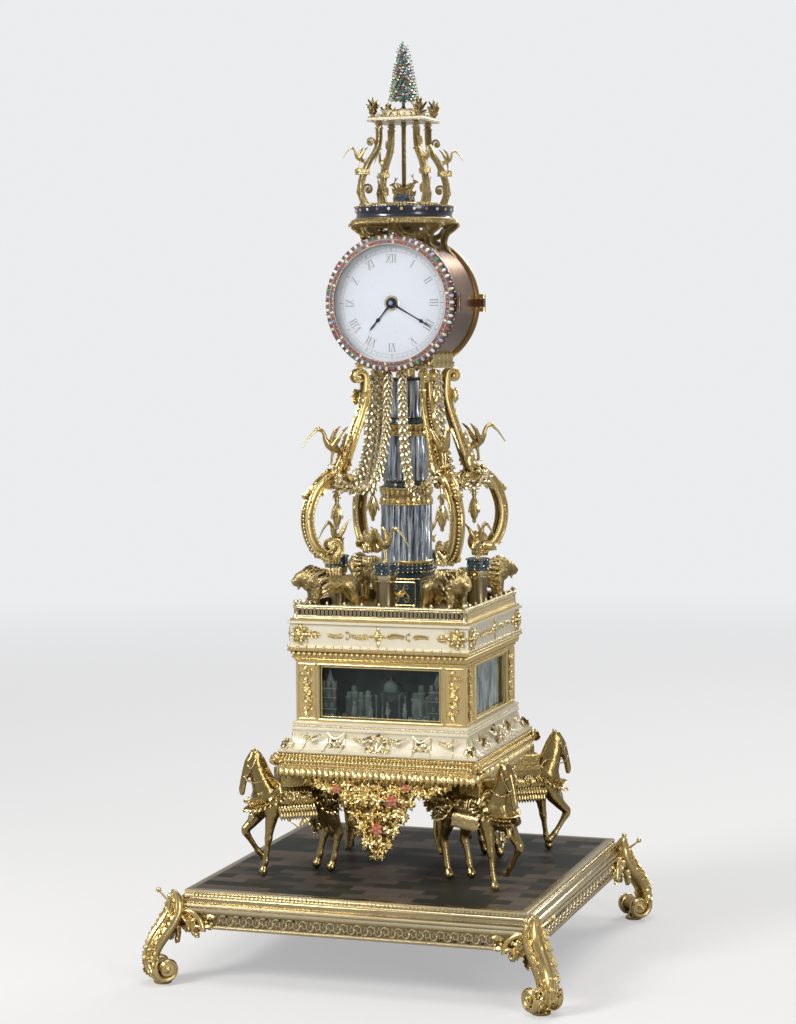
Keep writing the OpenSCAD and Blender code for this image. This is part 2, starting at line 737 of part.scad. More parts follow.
// A ring of rods, with the same spacing in every tier
module rod_ring(i) {
    n = i == 0 ? rods : floor(rods * tier_r[i] / tier_r[0]);
    r = PI * tier_r[i] / n - rod_gap / 2;
    for (k = [0:n - 1]) rotate(360 * k / n) translate([tier_r[i], 0, z_tier[i]])
        cylinder(r = r, h = tier_h[i], $fn = 24);
}

module cascade_rods_lower() color(GLASS) rod_ring(0);
module cascade_rods_middle() color(GLASS) rod_ring(1);
module cascade_rods_upper() color(GLASS) rod_ring(2);

// Scroll legs

// The leg from its upper volute to the shoulder, and from the shoulder to the curl on the lion
function leg_out(x) = x + leg_shift * min(1, max(0, (x - 62) / 38));
function leg(p) = [leg_out(p[0]), z_deck + (p[1] - 435) * leg_k, p[2]];
upper_leg = concat(
    [for (k = [18:-1:1]) leg(curl([66, 731.2], 9, 180, -150, 6, 3, 18)[k])],
    smooth([leg([57, 729, 7]), leg([57, 708, 9]), leg([62, 688, 9]), leg([71, 664, 9]), leg([80, 640, 10]),
        leg([90, 618, 12]), leg([100, 606, 12])], 3));
lower_leg = concat(
    smooth([leg([97, 611, 8]), leg([112, 606, 11]), leg([127, 590, 12]), leg([137, 562, 12]),
        leg([134, 535, 12]), leg([122, 516, 12]), leg([106, 509, 11])], 3),
    [for (k = [1:16]) leg(curl([105, 521], 12, -90, -380, 10, 4, 18)[k])]);

module scroll_legs() color(GILT) {
    diagonals(leg_w) {
        band(upper_leg);
        band(lower_leg);
    }
    // Lug under the cradle, perch for the bird, lug for the drop and block on the lion
    at_corners(0, 0) {
        translate([45, -leg_w / 2, z_cradle - 13]) cube([16, leg_w, 13]);
        translate([perch_r - 8, -8, shoulder_z - 14]) cube([16, 16, 14]);
        translate([drop_r - 4, -4, shoulder_z - 26]) cube([8, 8, 16]);
        translate([lion_r - 8, -8, z_deck + lion_h]) cube([16, 16, 12]);
    }
}

// Two chains on each side hang under the cradle and sweep out to the shoulders
module garlands() color(PALE_GILT) {
    side = leg_w / 2;
    z_end = shoulder_z - 14;
    drop = z_cradle - z_end;
    e = [-(garland_r - side) / sqrt(2), -(garland_r + side) / sqrt(2), z_end];
    n = [1, -1, 0] / sqrt(2);
    route = [[-9, -40, z_cradle], [-9, -40, z_cradle - 8], [-10, -42, z_cradle - 0.35 * drop],
        [-14, -47, z_cradle - 0.75 * drop], [-24, -58, z_end - 8], [-40, -73, z_end - 16],
        e + 14 * n - [0, 0, 8], e + 4 * n, e];
    for (i = [0:3]) rotate(90 * i) for (m = [0, 1]) mirror([m, 0, 0])
        tube(smooth(route, 3), 2.5, 6, [0, 1, 0.2]);
}

module shoulder_drops() color(GILT) at_corners(drop_r, shoulder_z - 26 - drop_h)
    rotate_extrude() polygon([[0, 0], [2, 1], [3, 5], [6, 11], [7, 20], [6, 30], [3, 38], [2, 46],
        [2, drop_h], [0, drop_h]]);

// Clock

// A gilt saddle between the legs and the drum, with the cascade's upper bearing
module drum_cradle() color(GILT) difference() {
    union() {
        translate([-50, -drum_front + 7, z_cradle]) cube([100, drum_front + drum_back - 10.5, 20]);
        translate([0, 0, z_shaft_top + gap]) cylinder(r = 12, h = z_cradle - z_shaft_top);
    }
    on_drum() disc(drum_r, -100, 200);
    translate([0, 0, z_cradle - 20]) cylinder(r = shaft_r + fit, h = z_shaft_top + 8 - z_cradle + 20);
}

module clock_drum() color("saddlebrown") {
    on_drum() rotate_extrude($fn = 96) polygon([[drum_r - wall, -drum_back], [drum_r + 2, -drum_back],
        [drum_r + 2, -drum_back + 2], [drum_r, -drum_back + 3], [drum_r, drum_front - 3],
        [drum_r + 2, drum_front - 2], [drum_r + 2, f_dial], [dial_r, f_dial], [dial_r, drum_front],
        [drum_r - 12, drum_front], [drum_r - 12, drum_front - 4], [drum_r - wall, drum_front - 4]]);
    // Hinge eyes for the bezel and the back door
    hinge_eye([drum_hinge_x, -f_bezel - 5], [drum_r + 5.2, -f_bezel - 5], [5.8, 14], z_clock);
    translate([drum_r - 1, -f_bezel + 4, z_clock - 5]) cube([12, 6, 10]);
    hinge_eye([drum_hinge_x, drum_back + 4], [drum_r + 4.6, drum_back - 3], [6, 7], z_clock);
    translate([drum_r - 1, drum_back - 3, z_clock - 5]) cube([11, 3, 10]);
}

module dial() color(WHITE) on_drum() ring(dial_r, pipe_r + 0.6, drum_front, dial_t);

module bezel() color(GILT) {
    on_drum() rotate_extrude($fn = 96) polygon([[glass_r, f_bezel], [bezel_r, f_bezel],
        [bezel_r, f_bezel + 6], [bezel_r - 3, f_front], [sight_r, f_front], [sight_r, f_lip],
        [glass_r, f_lip]]);
    hinge_pin([drum_hinge_x, -f_bezel - 5], [drum_r - 2, -f_bezel - 7], [10, 4], z_clock);
}

module bezel_glass() color(GLASS) on_drum() disc(glass_r, f_glass, 2);

// A hand with a round hub, pointing along X before it is turned to its time
module hand(length, hub, bore, t) {
    linear_extrude(t) difference() {
        union() {
            circle(r = hub);
            polygon([[0, -1.6], [length * 0.7, -1], [length, 0], [length * 0.7, 1], [0, 1.6]]);
            translate([length * 0.55, 0]) circle(r = 2.4);
        }
        circle(r = bore);
    }
}

// Children on the front of the drum at a height over the dial, turned clockwise from twelve
module over_dial(lift, turn) {
    on_drum() translate([0, 0, f_dial + lift]) rotate(90 - turn) children();
}

module hour_hand() color("black") over_dial(0.8, hour_turn) hand(hour_hand_l, 7, pipe_r, 1);
module minute_hand() color("black") over_dial(2.8, minute_turn) hand(minute_hand_l, 5, center_r, 1);

// Two plates with pillars, and a cock for the balance
module movement_frame() color(BRASS) on_drum() difference() {
    union() {
        disc(drum_r - 6, plate_f, movement_t);
        disc(60, -plate_f - movement_t, movement_t);
        for (a = [45:90:315]) rotate(a) {
            translate([54, 0, -plate_f]) cylinder(r = 3, h = 2 * plate_f);
            translate([drum_r - 9, 0, plate_f + movement_t])
                cylinder(r = 2.5, h = drum_front - 4 - plate_f - movement_t);
        }
        // Balance cock
        translate([balance_at[0], balance_at[1], -plate_f - movement_t - 12]) cylinder(r = 5, h = 2.5);
        translate([balance_at[0], balance_at[1] - 2.5, -plate_f - movement_t - 12]) cube([20, 5, 2.5]);
        translate([balance_at[0] + 17.5, balance_at[1] - 2.5, -plate_f - movement_t - 12]) cube([4, 5, 12]);
    }
    disc(center_r + fit, -60, 100);
    translate([0, -barrel_distance, -60]) cylinder(r = arbor_r + fit, h = 110);
    translate([balance_at[0], balance_at[1], -60]) cylinder(r = staff_r + fit, h = 45);
    translate([motion_distance, 0, 0]) cylinder(r = staff_r + fit, h = 45);
}

module center_arbor() color(STEEL) on_drum() {
    disc(center_r, -plate_f - 1, plate_f + 1 + f_dial + 4.6);
    translate([0, 0, 7]) linear_extrude(6) rotate(-90) gear(center_teeth, going_module);
    translate([0, 0, plate_f + movement_t + 1]) linear_extrude(4) gear(cannon_teeth, cannon_module);
}

module hour_wheel() color(BRASS) on_drum() difference() {
    union() {
        translate([0, 0, plate_f + 10]) linear_extrude(3) gear(hour_teeth, hour_module);
        disc(pipe_r, plate_f + 10, f_dial + 1.8 - plate_f - 10);
    }
    disc(center_r + fit, plate_f, 60);
}

module minute_wheel() color(BRASS) on_drum() translate([motion_distance, 0, 0]) {
    translate([0, 0, plate_f + movement_t + 1]) linear_extrude(4)
        rotate(180 + 180 / minute_teeth) gear(minute_teeth, cannon_module);
    translate([0, 0, plate_f + movement_t + 5]) linear_extrude(6)
        rotate(180 + 180 / motion_pinion_teeth) gear(motion_pinion_teeth, hour_module);
    translate([0, 0, plate_f + 0.5]) cylinder(r = staff_r, h = movement_t + 12);
}

module going_barrel() color(BRASS) on_drum() translate([0, -barrel_distance, 0]) {
    translate([0, 0, -plate_f - 8]) cylinder(r = arbor_r, h = 2 * plate_f + 9);
    translate([0, 0, -16]) cylinder(r = 23, h = 22);
    translate([0, 0, 6]) cylinder(r = 10, h = 2);
    translate([0, 0, 8]) linear_extrude(4) rotate(90 + 180 / great_teeth) gear(great_teeth, going_module);
}

module balance() color(GILT) on_drum() translate([balance_at[0], balance_at[1], -plate_f - movement_t - 7]) {
    difference() {
        cylinder(r = 15, h = 2);
        translate([0, 0, -1]) cylinder(r = 13, h = 4);
    }
    for (a = [0, 60, 120]) rotate(a) translate([-14, -1, 0.4]) cube([28, 2, 1.2]);
    translate([0, 0, -4.5]) cylinder(r = staff_r, h = 13);
}

module drum_back_door() color(GILT) {
    on_drum() disc(drum_r + 4, -drum_back - gap - 2.5, 2.5);
    hinge_pin([drum_hinge_x, drum_back + 4], [drum_r - 2, drum_back + 0.5], [10, 2.3], z_clock);
    translate([-drum_r + 8, drum_back + 2, z_clock]) rotate([-90, 0, 0]) cylinder(r = 3, h = 6);
}

// Crown

// Scroll brackets and a middle pillar between the drum and the pavilion
module crown_brackets() color(GILT) difference() {
    union() {
        for (s = [0, 1], y = [-28, 36]) mirror([s, 0, 0]) translate([0, y, z_crown])
            rotate([90, 0, 0]) linear_extrude(8) band(smooth([[56, -46, 6], [47, -36, 10], [41, -24, 10],
                [44, -12, 9], [53, -5, 8], [60, 0, 7]], 4));
        translate([0, 0, z_crown - 30]) cylinder(r = 12, h = 30);
        for (s = [-1, 1]) translate([s * 44 - 12, -36, z_crown - 4]) cube([24, 72, 4]);
    }
    on_drum() disc(drum_r, -100, 200);
    plate(100, z_crown, 20);
}

module crown_platform() color(BLUE) difference() {
    union() {
        translate([0, 0, z_crown]) cylinder(r = crown_r + 4.6, h = rim_h, $fn = 96);
        translate([0, 0, z_crown + rim_h]) cylinder(r = crown_r, h = crown_h, $fn = 96);
    }
    translate([0, 0, z_crown + rim_h]) cylinder(r = crown_shaft_r + fit, h = 40);
}

function lyre(p) = [p[0], z_pavilion + (p[1] - 944) * lyre_k, p[2]];
lyre_path = smooth([lyre([53, 944, 9]), lyre([59, 958, 8]), lyre([58, 975, 8]), lyre([49, 996, 8]),
    lyre([39, 1010, 8]), lyre([34, 1024, 8]), lyre([34, 1048, 8])], 4);

// The legs are cut level with the floor and the tray, and each has a perch on its outside
module lyre_legs() color(GILT) intersection() {
    union() {
        diagonals(lyre_w) band(concat([[50, z_pavilion - 4, 9]], lyre_path, [[34, z_tray + 4, 8]]));
        at_corners(lyre_perch_r, z_pavilion + 38 * lyre_k) translate([-13, -4, 0]) cube([17, 8, 7]);
        at_corners(54, z_pavilion) translate([-6, -6, 0]) cube([12, 12, 3]);
    }
    translate([0, 0, z_pavilion]) cylinder(r = 90, h = lyre_h);
}

// A small animal that turns round the pavilion's middle
module deer() {
    intersection() {
        union() {
            limb([[8, 0, 15, 4], [-8, 0, 15, 4.5]], 6);
            limb([[9, 0, 17, 3], [15, 0, 26, 2.4], [19, 0, 25, 2]], 6);
            limb([[14, 0, 27, 1.4], [11, 0, 35, 0.8]], 5);
            for (s = [-2.4, 2.4]) {
                limb([[8, s, 14, 2.2], [10, s, 0, 1.8]], 5);
                limb([[-9, s, 14, 2.6], [-11, s, 0, 1.8]], 5);
            }
        }
        translate([-30, -15, 0]) cube([60, 30, 60]);
    }
}

module carousel_animals() color(GILT)
    for (i = [0:3]) rotate(90 * i + 15) translate([0, -30, z_pavilion + gap + 3]) deer();

// Table and rock on the shaft that also turns the tree
module carousel() color(GILT) {
    translate([0, 0, z_crown + rim_h + 1]) cylinder(r = crown_shaft_r, h = z_tree - z_crown - rim_h - 1);
    translate([0, 0, z_pavilion + gap]) cylinder(r = carousel_r, h = 3, $fn = 96);
    translate([0, 0, z_pavilion + gap + 3]) cylinder(r1 = 15, r2 = 6, h = 14);
}

module crown_plate() color(WHITE) difference() {
    union() {
        plate(tray_hw, z_tray, tray_h);
        plate(block_hw, z_tray + tray_h, block_h);
        at_corners(30 * sqrt(2), z_tray + tray_h) rotate_extrude()
            polygon([[0, 0], [5, 0], [3, 4], [2.5, 9], [5.5, 13], [5, 19], [2, 22], [0, 25]]);
    }
    translate([0, 0, z_tray - 1]) cylinder(r = crown_shaft_r + fit, h = 30);
}

// Tiers of set stones on a tapering tree
module jewel_tree() color(PALE_GILT) translate([0, 0, z_tree]) {
    cylinder(r = 4.5, h = 3);
    cylinder(r = 2.2, h = 16);
    leaf_h = tree_h - 14;
    tiers = 8;
    for (k = [0:tiers - 1]) let (r = 15 - 1.65 * k, step = leaf_h / tiers)
        translate([0, 0, 12 + step * k]) cylinder(r1 = r, r2 = max(0.6, r - 5), h = step);
}

plinth_slab();
plinth_moulding();
plinth_frieze();
scroll_feet();
horse_front_left();
horse_front_right();
horse_rear_left();
horse_rear_right();
case_floor();
gadroon_moulding();
apron_garlands();
cove_panels();
window_frame();
window_glass();
rear_door();
cornice();
case_top();
gallery();
scenery();
procession();
side_mirrors();
side_rods();
music_frame();
music_barrel();
spring_barrel();
bell_nest();
bell_hammers();
governor_fly();
pedestals();
cranes();
lions();
cascade_basin();
cascade_column();
cascade_rods_lower();
cascade_rods_middle();
cascade_rods_upper();
scroll_legs();
garlands();
shoulder_drops();
drum_cradle();
clock_drum();
dial();
bezel();
bezel_glass();
hour_hand();
minute_hand();
movement_frame();
center_arbor();
hour_wheel();
minute_wheel();
going_barrel();
balance();
drum_back_door();
crown_brackets();
crown_platform();
lyre_legs();
carousel();
carousel_animals();
crown_plate();
jewel_tree();
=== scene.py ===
# %% [markdown]
# # An automaton tower clock, dressed over its CAD frame
#
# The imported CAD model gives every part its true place: plinth, case, tower, clock and crown.
# This lesson keeps the turned and flat parts of it, gives them finishes, and models the
# carved, chased and set parts again with bmesh operators, because a goldsmith's work is
# mostly round, leafy and beaded. All shapes are drawn in millimetres and scaled once, when a
# piece is finished, because that keeps the numbers close to what a maker would measure.

# %% Load the frame
import math
import random

import bmesh
import bpy
from mathutils import Euler, Matrix, Vector


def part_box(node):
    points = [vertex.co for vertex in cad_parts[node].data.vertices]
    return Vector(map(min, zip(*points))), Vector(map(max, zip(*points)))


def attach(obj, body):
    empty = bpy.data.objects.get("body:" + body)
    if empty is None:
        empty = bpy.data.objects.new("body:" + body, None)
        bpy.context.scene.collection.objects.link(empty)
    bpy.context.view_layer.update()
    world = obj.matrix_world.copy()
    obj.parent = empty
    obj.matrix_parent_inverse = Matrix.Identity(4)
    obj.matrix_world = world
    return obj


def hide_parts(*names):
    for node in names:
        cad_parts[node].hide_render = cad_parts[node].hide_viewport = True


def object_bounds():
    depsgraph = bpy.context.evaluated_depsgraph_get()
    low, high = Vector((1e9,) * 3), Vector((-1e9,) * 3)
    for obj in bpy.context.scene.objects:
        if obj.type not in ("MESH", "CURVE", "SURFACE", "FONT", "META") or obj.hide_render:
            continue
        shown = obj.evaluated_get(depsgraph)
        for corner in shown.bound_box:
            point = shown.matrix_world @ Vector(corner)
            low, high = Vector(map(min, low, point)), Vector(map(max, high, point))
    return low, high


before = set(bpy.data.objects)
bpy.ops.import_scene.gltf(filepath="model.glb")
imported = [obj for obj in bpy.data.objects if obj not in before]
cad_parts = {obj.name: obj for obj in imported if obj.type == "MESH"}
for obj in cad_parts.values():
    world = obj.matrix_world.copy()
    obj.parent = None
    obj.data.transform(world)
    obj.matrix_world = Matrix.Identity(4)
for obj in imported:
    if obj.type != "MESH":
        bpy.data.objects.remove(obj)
cad_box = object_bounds()
MM = 0.001
# Points closer together than this, in millimetres, are one point
MERGE = 0.002


# %% Boxes of the CAD nodes, in millimetres
def box(node):
    """The lowest and the highest corner of a CAD node."""
    low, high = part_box(node)
    return low / MM, high / MM


def top_of(node):
    return box(node)[1].z


def foot_of(node):
    return box(node)[0].z


def reach_of(node):
    """How far a node reaches to the right of the axis."""
    return box(node)[1].x


HEIGHT = cad_box[1].z / MM
print("height", round(HEIGHT), "mm")

# %% [markdown]
# ## Patterns and stamps
#
# Gilt bronze ornament repeats: a bead is struck sixty times, a leaf is cast once and fitted
# in forty places. So each ornament is made once, as a pattern, and stamped at many places.
# Linked copies as objects would do this too, but a piece has to be one mesh with its place
# in it, and a stamp into one bmesh gives exactly that.


# %% Make a pattern and stamp it
def pattern(make, *args, **sizes):
    """Runs a maker on an empty bmesh and keeps what it made as a mesh."""
    bm = bmesh.new()
    make(bm, *args, **sizes)
    bmesh.ops.remove_doubles(bm, verts=bm.verts, dist=MERGE)
    bmesh.ops.recalc_face_normals(bm, faces=bm.faces)
    mesh = bpy.data.meshes.new(make.__name__)
    bm.to_mesh(mesh)
    bm.free()
    return mesh


def place(x=0.0, y=0.0, z=0.0, turn=0.0, tilt=0.0, roll=0.0, size=1.0):
    """A place: sized, rolled about X, tilted about Y, turned about Z, then moved."""
    sizes = size if isinstance(size, (tuple, list)) else (size,) * 3
    angles = Euler([math.radians(a) for a in (roll, tilt, turn)])
    return Matrix.LocRotScale(Vector((x, y, z)), angles, Vector(sizes))


def stamp(bm, mesh, *places):
    for where in places:
        copy = mesh.copy()
        copy.transform(where)
        if where.is_negative:
            copy.flip_normals()
        bm.from_mesh(copy)
        bpy.data.meshes.remove(copy)


def quarter(i):
    return Matrix.Rotation(i * math.pi / 2, 4, "Z")


def sides(where):
    """One place on the front, and the same on the other three sides."""
    return [quarter(i) @ where for i in range(4)]


def mirror(s):
    """Leaves a place as it is for 1, and swaps its left and right for -1."""
    return Matrix.Diagonal((s, 1, 1, 1))


def diagonal(i):
    """Turns the X axis towards corner i."""
    return Matrix.Rotation(math.radians(45 + 90 * i), 4, "Z")


# Turns a flat pattern that faces up so that it stands and faces the front
FRONT = place(roll=90)


# %% Finish a piece
def piece(bm, name, body, slot, finish, *nodes, sharp=38):
    """The bmesh as an object in metres, riding on a body and standing for the CAD nodes."""
    bmesh.ops.remove_doubles(bm, verts=bm.verts, dist=MERGE)
    bmesh.ops.recalc_face_normals(bm, faces=bm.faces)
    bmesh.ops.scale(bm, vec=(MM,) * 3, verts=bm.verts)
    mesh = bpy.data.meshes.new(name)
    bm.to_mesh(mesh)
    bm.free()
    mesh.polygons.foreach_set("use_smooth", [True] * len(mesh.polygons))
    mesh.set_sharp_from_angle(angle=math.radians(sharp))
    mesh.materials.append(finish)
    obj = bpy.data.objects.new(name, mesh)
    bpy.context.scene.collection.objects.link(obj)
    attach(obj, body)
    if nodes:
        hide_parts(*nodes)
    mesh.calc_loop_triangles()
    print(f"{name}: {len(mesh.loop_triangles)} triangles on {body}")
    return obj


# %% [markdown]
# ## Basic shapes
#
# Four ways of making cover nearly everything here. A lathe spins a profile, a bar is swept
# along a path, a square moulding is a profile spun in four steps, and a leaf is a grid that is
# pushed into shape. The sweep also starts from a grid, because one grid rolled round a path
# needs no bridging and closes at its seam when the doubles are merged.


# %% Lathe, sweep and square moulding
def profile_edges(bm, points):
    verts = [bm.verts.new(p) for p in points]
    return verts + [bm.edges.new(pair) for pair in zip(verts, verts[1:])]


def turned(bm, profile, steps=48):
    """A profile of (radius, height) spun round Z."""
    geom = profile_edges(bm, [(r, 0, z) for r, z in profile])
    bmesh.ops.spin(bm, geom=geom, axis=(0, 0, 1), angle=math.tau, steps=steps, use_merge=True)


def squared(bm, profile):
    """A profile of (distance, height) run round a square, mitred at its corners."""
    geom = profile_edges(bm, [(d, d, z) for d, z in profile])
    bmesh.ops.spin(bm, geom=geom, axis=(0, 0, 1), angle=math.tau, steps=4, use_merge=True)


def sheet_of(bm, across, along, shape):
    """A grid whose points are moved to shape(u, v), with u and v from 0 to 1."""
    for v in bmesh.ops.create_grid(bm, x_segments=along, y_segments=across, size=1)["verts"]:
        v.co = shape((v.co.x + 1) / 2, (v.co.y + 1) / 2)


def swept(bm, path, around=8, flat=1.0, up=(0, 0, 1), twist=0.0, ribs=0, rib_depth=0.0):
    """A bar along points of (x, y, z, radius), pressed flat towards up, and perhaps ribbed."""
    points = [Vector(p[:3]) for p in path]
    radii = [p[3] for p in path]
    last = len(path) - 1

    def shape(u, v):
        # The first and last rings close the ends
        step = min(max(u * (last + 2) - 1, 0), last)
        i = min(int(step + 1e-6), last - 1)
        t = step - i
        here = points[i].lerp(points[i + 1], t)
        ahead = points[min(i + 1, last)] - points[max(i - 1 + (t > 0.5), 0)]
        side = ahead.cross(Vector(up)).normalized()
        lift = side.cross(ahead).normalized()
        closed = u < 1e-6 or u > 1 - 1e-6
        a = v * math.tau
        r = 0 if closed else radii[i] * (1 - t) + radii[i + 1] * t
        r *= 1 + rib_depth * math.cos(ribs * a + twist * step)
        return here + r * (math.cos(a) * side + flat * math.sin(a) * lift)

    sheet_of(bm, around, last + 2, shape)


def smooth_path(points, steps=4):
    """A curve through all the points, which may carry a radius as a fourth number."""
    out = []
    for i in range(len(points) - 1):
        a, b, c, d = (points[min(max(i + k, 0), len(points) - 1)] for k in (-1, 0, 1, 2))
        for k in range(steps):
            t = k / steps
            out.append(tuple(
                0.5 * (2 * q + (r - p) * t + (2 * p - 5 * q + 4 * r - s) * t * t
                       + (3 * q - p - 3 * r + s) * t ** 3)
                for p, q, r, s in zip(a, b, c, d)))
    return out + [tuple(points[-1])]


def volute(x, y, r, start, sweep, thick, thin, steps=22, shrink=0.72):
    """Points of a flat spiral drawn in to its eye, with a radius that thins."""
    out = []
    for k in range(steps + 1):
        t = k / steps
        a = math.radians(start + sweep * t)
        q = r * (1 - shrink * t)
        out.append((x + q * math.cos(a), y + q * math.sin(a), 0, thick + (thin - thick) * t))
    return out


def hoop(r, z=0.0, thick=1.0, steps=96):
    """A ring of path points round Z."""
    turns = [math.tau * k / steps for k in range(steps + 1)]
    return [(r * math.cos(a), r * math.sin(a), z, thick) for a in turns]


# %% Leaf, flower and bead
def bead(bm, r=1.0, fine=1):
    bmesh.ops.create_icosphere(bm, subdivisions=fine, radius=r)


def leaf(bm, length=20, width=10, lobes=3, arch=3, curl=3, thick=1.2, across=2):
    """A lobed acanthus leaf along X, ribbed, arched up and curled over at its tip.

    It is stamped thousands of times, so its grid has one step for each lobe and each notch.
    """
    def shape(u, v):
        s = 2 * v - 1
        lobe = 0.66 + 0.34 * abs(math.cos(lobes * math.pi * u))
        half = width / 2 * math.sin(math.pi * min(1, 0.12 + 0.88 * u)) ** 0.6 * lobe
        vein = 0.1 * width * (1 - abs(s)) - 0.18 * width * s * s
        lean = length * (u + 0.10 * abs(s) * u)
        return Vector((lean, s * half, arch * math.sin(math.pi * u) + curl * u ** 4 + vein))

    sheet_of(bm, across, max(4, 2 * lobes), shape)
    bmesh.ops.solidify(bm, geom=bm.faces, thickness=thick)


def flower(bm, r=6, petals=6):
    """A rosette that faces up, with cupped petals round a raised heart."""
    petal = pattern(leaf, length=r, width=r * 0.95, lobes=1, arch=r * 0.25, curl=r * 0.12,
                    thick=r * 0.14)
    stamp(bm, petal, *[place(turn=360 * k / petals) for k in range(petals)])
    heart = pattern(bead, r=r * 0.28, fine=2)
    stamp(bm, heart, place(z=r * 0.22))


def egg(bm, r=2.0, length=1.5):
    bmesh.ops.create_uvsphere(
        bm, u_segments=8, v_segments=6, radius=r, matrix=Matrix.Diagonal((1, 0.7, length, 1)))


SMALL_BEAD = pattern(bead, r=1.0, fine=1)
BEAD = pattern(bead, r=1.0, fine=2)
LEAF = pattern(leaf)
BROAD_LEAF = pattern(leaf, length=20, width=16, lobes=4, arch=2, curl=2, thick=1.4, across=4)
ROSETTE = pattern(flower)
EGG = pattern(egg)
print("patterns ready:", ", ".join(m.name for m in bpy.data.meshes if m.users == 0))

# %% [markdown]
# ## Finishes
#
# Fire-gilt bronze is not one even gold. The burnished high places are pale and bright, the
# matted ground is duller, and the hollows are darkened brown: partly tarnish, partly painted
# shade that stands in for occlusion. A noise on Object coordinates gives the drift of tone, and
# Geometry's Pointiness tells high places from hollows, so both stay with the metal when a piece
# moves. The maths of a finish is written as ordinary expressions: a small class wraps a socket
# and makes a Math node for each sign.


# %% Sockets with arithmetic
class Wire:
    """An output socket, with arithmetic that makes Math nodes."""

    def __init__(self, tree, socket):
        self.tree = tree
        self.socket = socket

    def maths(self, operation, *values):
        node = self.tree.nodes.new("ShaderNodeMath")
        node.operation = operation
        for slot, value in zip(node.inputs, values):
            if isinstance(value, Wire):
                self.tree.links.new(value.socket, slot)
            else:
                slot.default_value = value
        return Wire(self.tree, node.outputs[0])

    def __add__(self, other):
        return self.maths("ADD", self, other)

    def __radd__(self, other):
        return self.maths("ADD", other, self)

    def __sub__(self, other):
        return self.maths("SUBTRACT", self, other)

    def __rsub__(self, other):
        return self.maths("SUBTRACT", other, self)

    def __mul__(self, other):
        return self.maths("MULTIPLY", self, other)

    def __rmul__(self, other):
        return self.maths("MULTIPLY", other, self)

    def between(self, low, high):
        """Runs from 0 to 1 as this goes from low to high, and stays there."""
        node = self.tree.nodes.new("ShaderNodeMapRange")
        self.tree.links.new(self.socket, node.inputs["Value"])
        node.inputs["From Min"].default_value = low
        node.inputs["From Max"].default_value = high
        return Wire(self.tree, node.outputs[0])


class Finish:
    """A material with a Principled shader, built node by node."""

    def __init__(self, name, **sockets):
        self.material = bpy.data.materials.new(name)
        self.material.use_nodes = True
        self.tree = self.material.node_tree
        self.shader = self.tree.nodes["Principled BSDF"]
        self.fill(self.shader, sockets)

    def fill(self, node, sockets):
        for name, value in sockets.items():
            slot = node.inputs[name.replace("_", " ")]
            if isinstance(value, Wire):
                self.tree.links.new(value.socket, slot)
            elif isinstance(value, (tuple, list)) and len(value) == 3 and slot.type == "RGBA":
                slot.default_value = (*value, 1)
            else:
                slot.default_value = value

    def node(self, kind, settings=(), output=0, **sockets):
        """A node of a kind: its settings are set first, then its sockets."""
        node = self.tree.nodes.new("ShaderNode" + kind)
        for name, value in dict(settings).items():
            setattr(node, name, value)
        self.fill(node, sockets)
        return Wire(self.tree, node.outputs[output])

    def coordinates(self):
        return self.node("TexCoord", output="Object")

    def noise(self, scale, detail=3.0, rough=0.55, where=None):
        return self.node("TexNoise", output="Fac", Vector=where or self.coordinates(),
                         Scale=scale, Detail=detail, Roughness=rough)

    def mix(self, share, a, b):
        """Colour a where share is 0 and colour b where it is 1."""
        node = self.tree.nodes.new("ShaderNodeMix")
        node.data_type = "RGBA"
        for slot, value in zip((node.inputs[0], node.inputs[6], node.inputs[7]), (share, a, b)):
            if isinstance(value, Wire):
                self.tree.links.new(value.socket, slot)
            else:
                slot.default_value = (*value, 1) if isinstance(value, tuple) else value
        return Wire(self.tree, node.outputs[2])

    def bump(self, height, distance, strength=1.0):
        """Sets the shader's normal from a height, with the distance in metres."""
        normal = self.node("Bump", Height=height, Distance=distance, Strength=strength)
        self.fill(self.shader, {"Normal": normal})

    def hollows(self, low=0.44, high=0.54):
        """0 in hollows and 1 on edges and high places."""
        return self.node("NewGeometry", output="Pointiness").between(low, high)

    def set(self, **sockets):
        self.fill(self.shader, sockets)
        return self.material


# %% Gilt bronze in four tones
def gilding(name, bright, body, deep, rough=0.24, grain=0.00012, scale=900):
    """Fire gilding: burnished high places, a warm body tone, and hollows darkened brown, partly tarnish and
    partly painted shade.
    """
    f = Finish(name, Metallic=1.0)
    drift = f.noise(38, detail=4)
    grit = f.noise(scale, detail=2)
    high = f.hollows()
    # The deep colour darkens the hollows: partly tarnish, partly painted shade standing in for occlusion
    tone = f.mix(high * (0.55 + 0.9 * drift), deep, body)
    tone = f.mix(f.hollows(0.52, 0.62) * 0.7, tone, bright)
    f.bump(grit + 0.6 * drift, grain, 0.6)
    return f.set(Base_Color=tone, Roughness=rough + 0.22 * drift * (1.2 - high))


gilt = gilding("fire gilding", (0.95, 0.79, 0.43), (0.65, 0.49, 0.21), (0.12, 0.075, 0.025))
pale_gilt = gilding("pale gilding", (1.0, 0.91, 0.66), (0.86, 0.73, 0.44), (0.22, 0.15, 0.06))
horse_gilt = gilding("burnished gilding", (0.86, 0.70, 0.38), (0.49, 0.365, 0.15), (0.12, 0.075, 0.025),
        rough=0.18, grain=0.0007, scale=300)
brass = gilding("lacquered brass", (0.90, 0.79, 0.54), (0.56, 0.46, 0.27), (0.10, 0.075, 0.035),
                rough=0.2, grain=0.00008)
print("gildings ready")

# %% [markdown]
# ## Animals
#
# The horses, lions, cranes and deer were cast from wax models, so their forms flow into each
# other. Sculpting by hand can't be written down, and a subdivided cage takes hundreds of
# points, so each animal is a set of chains of round beads with links between them. A voxel
# remesh melts the chains into one skin, and a smoothing pass rubs the joints away.


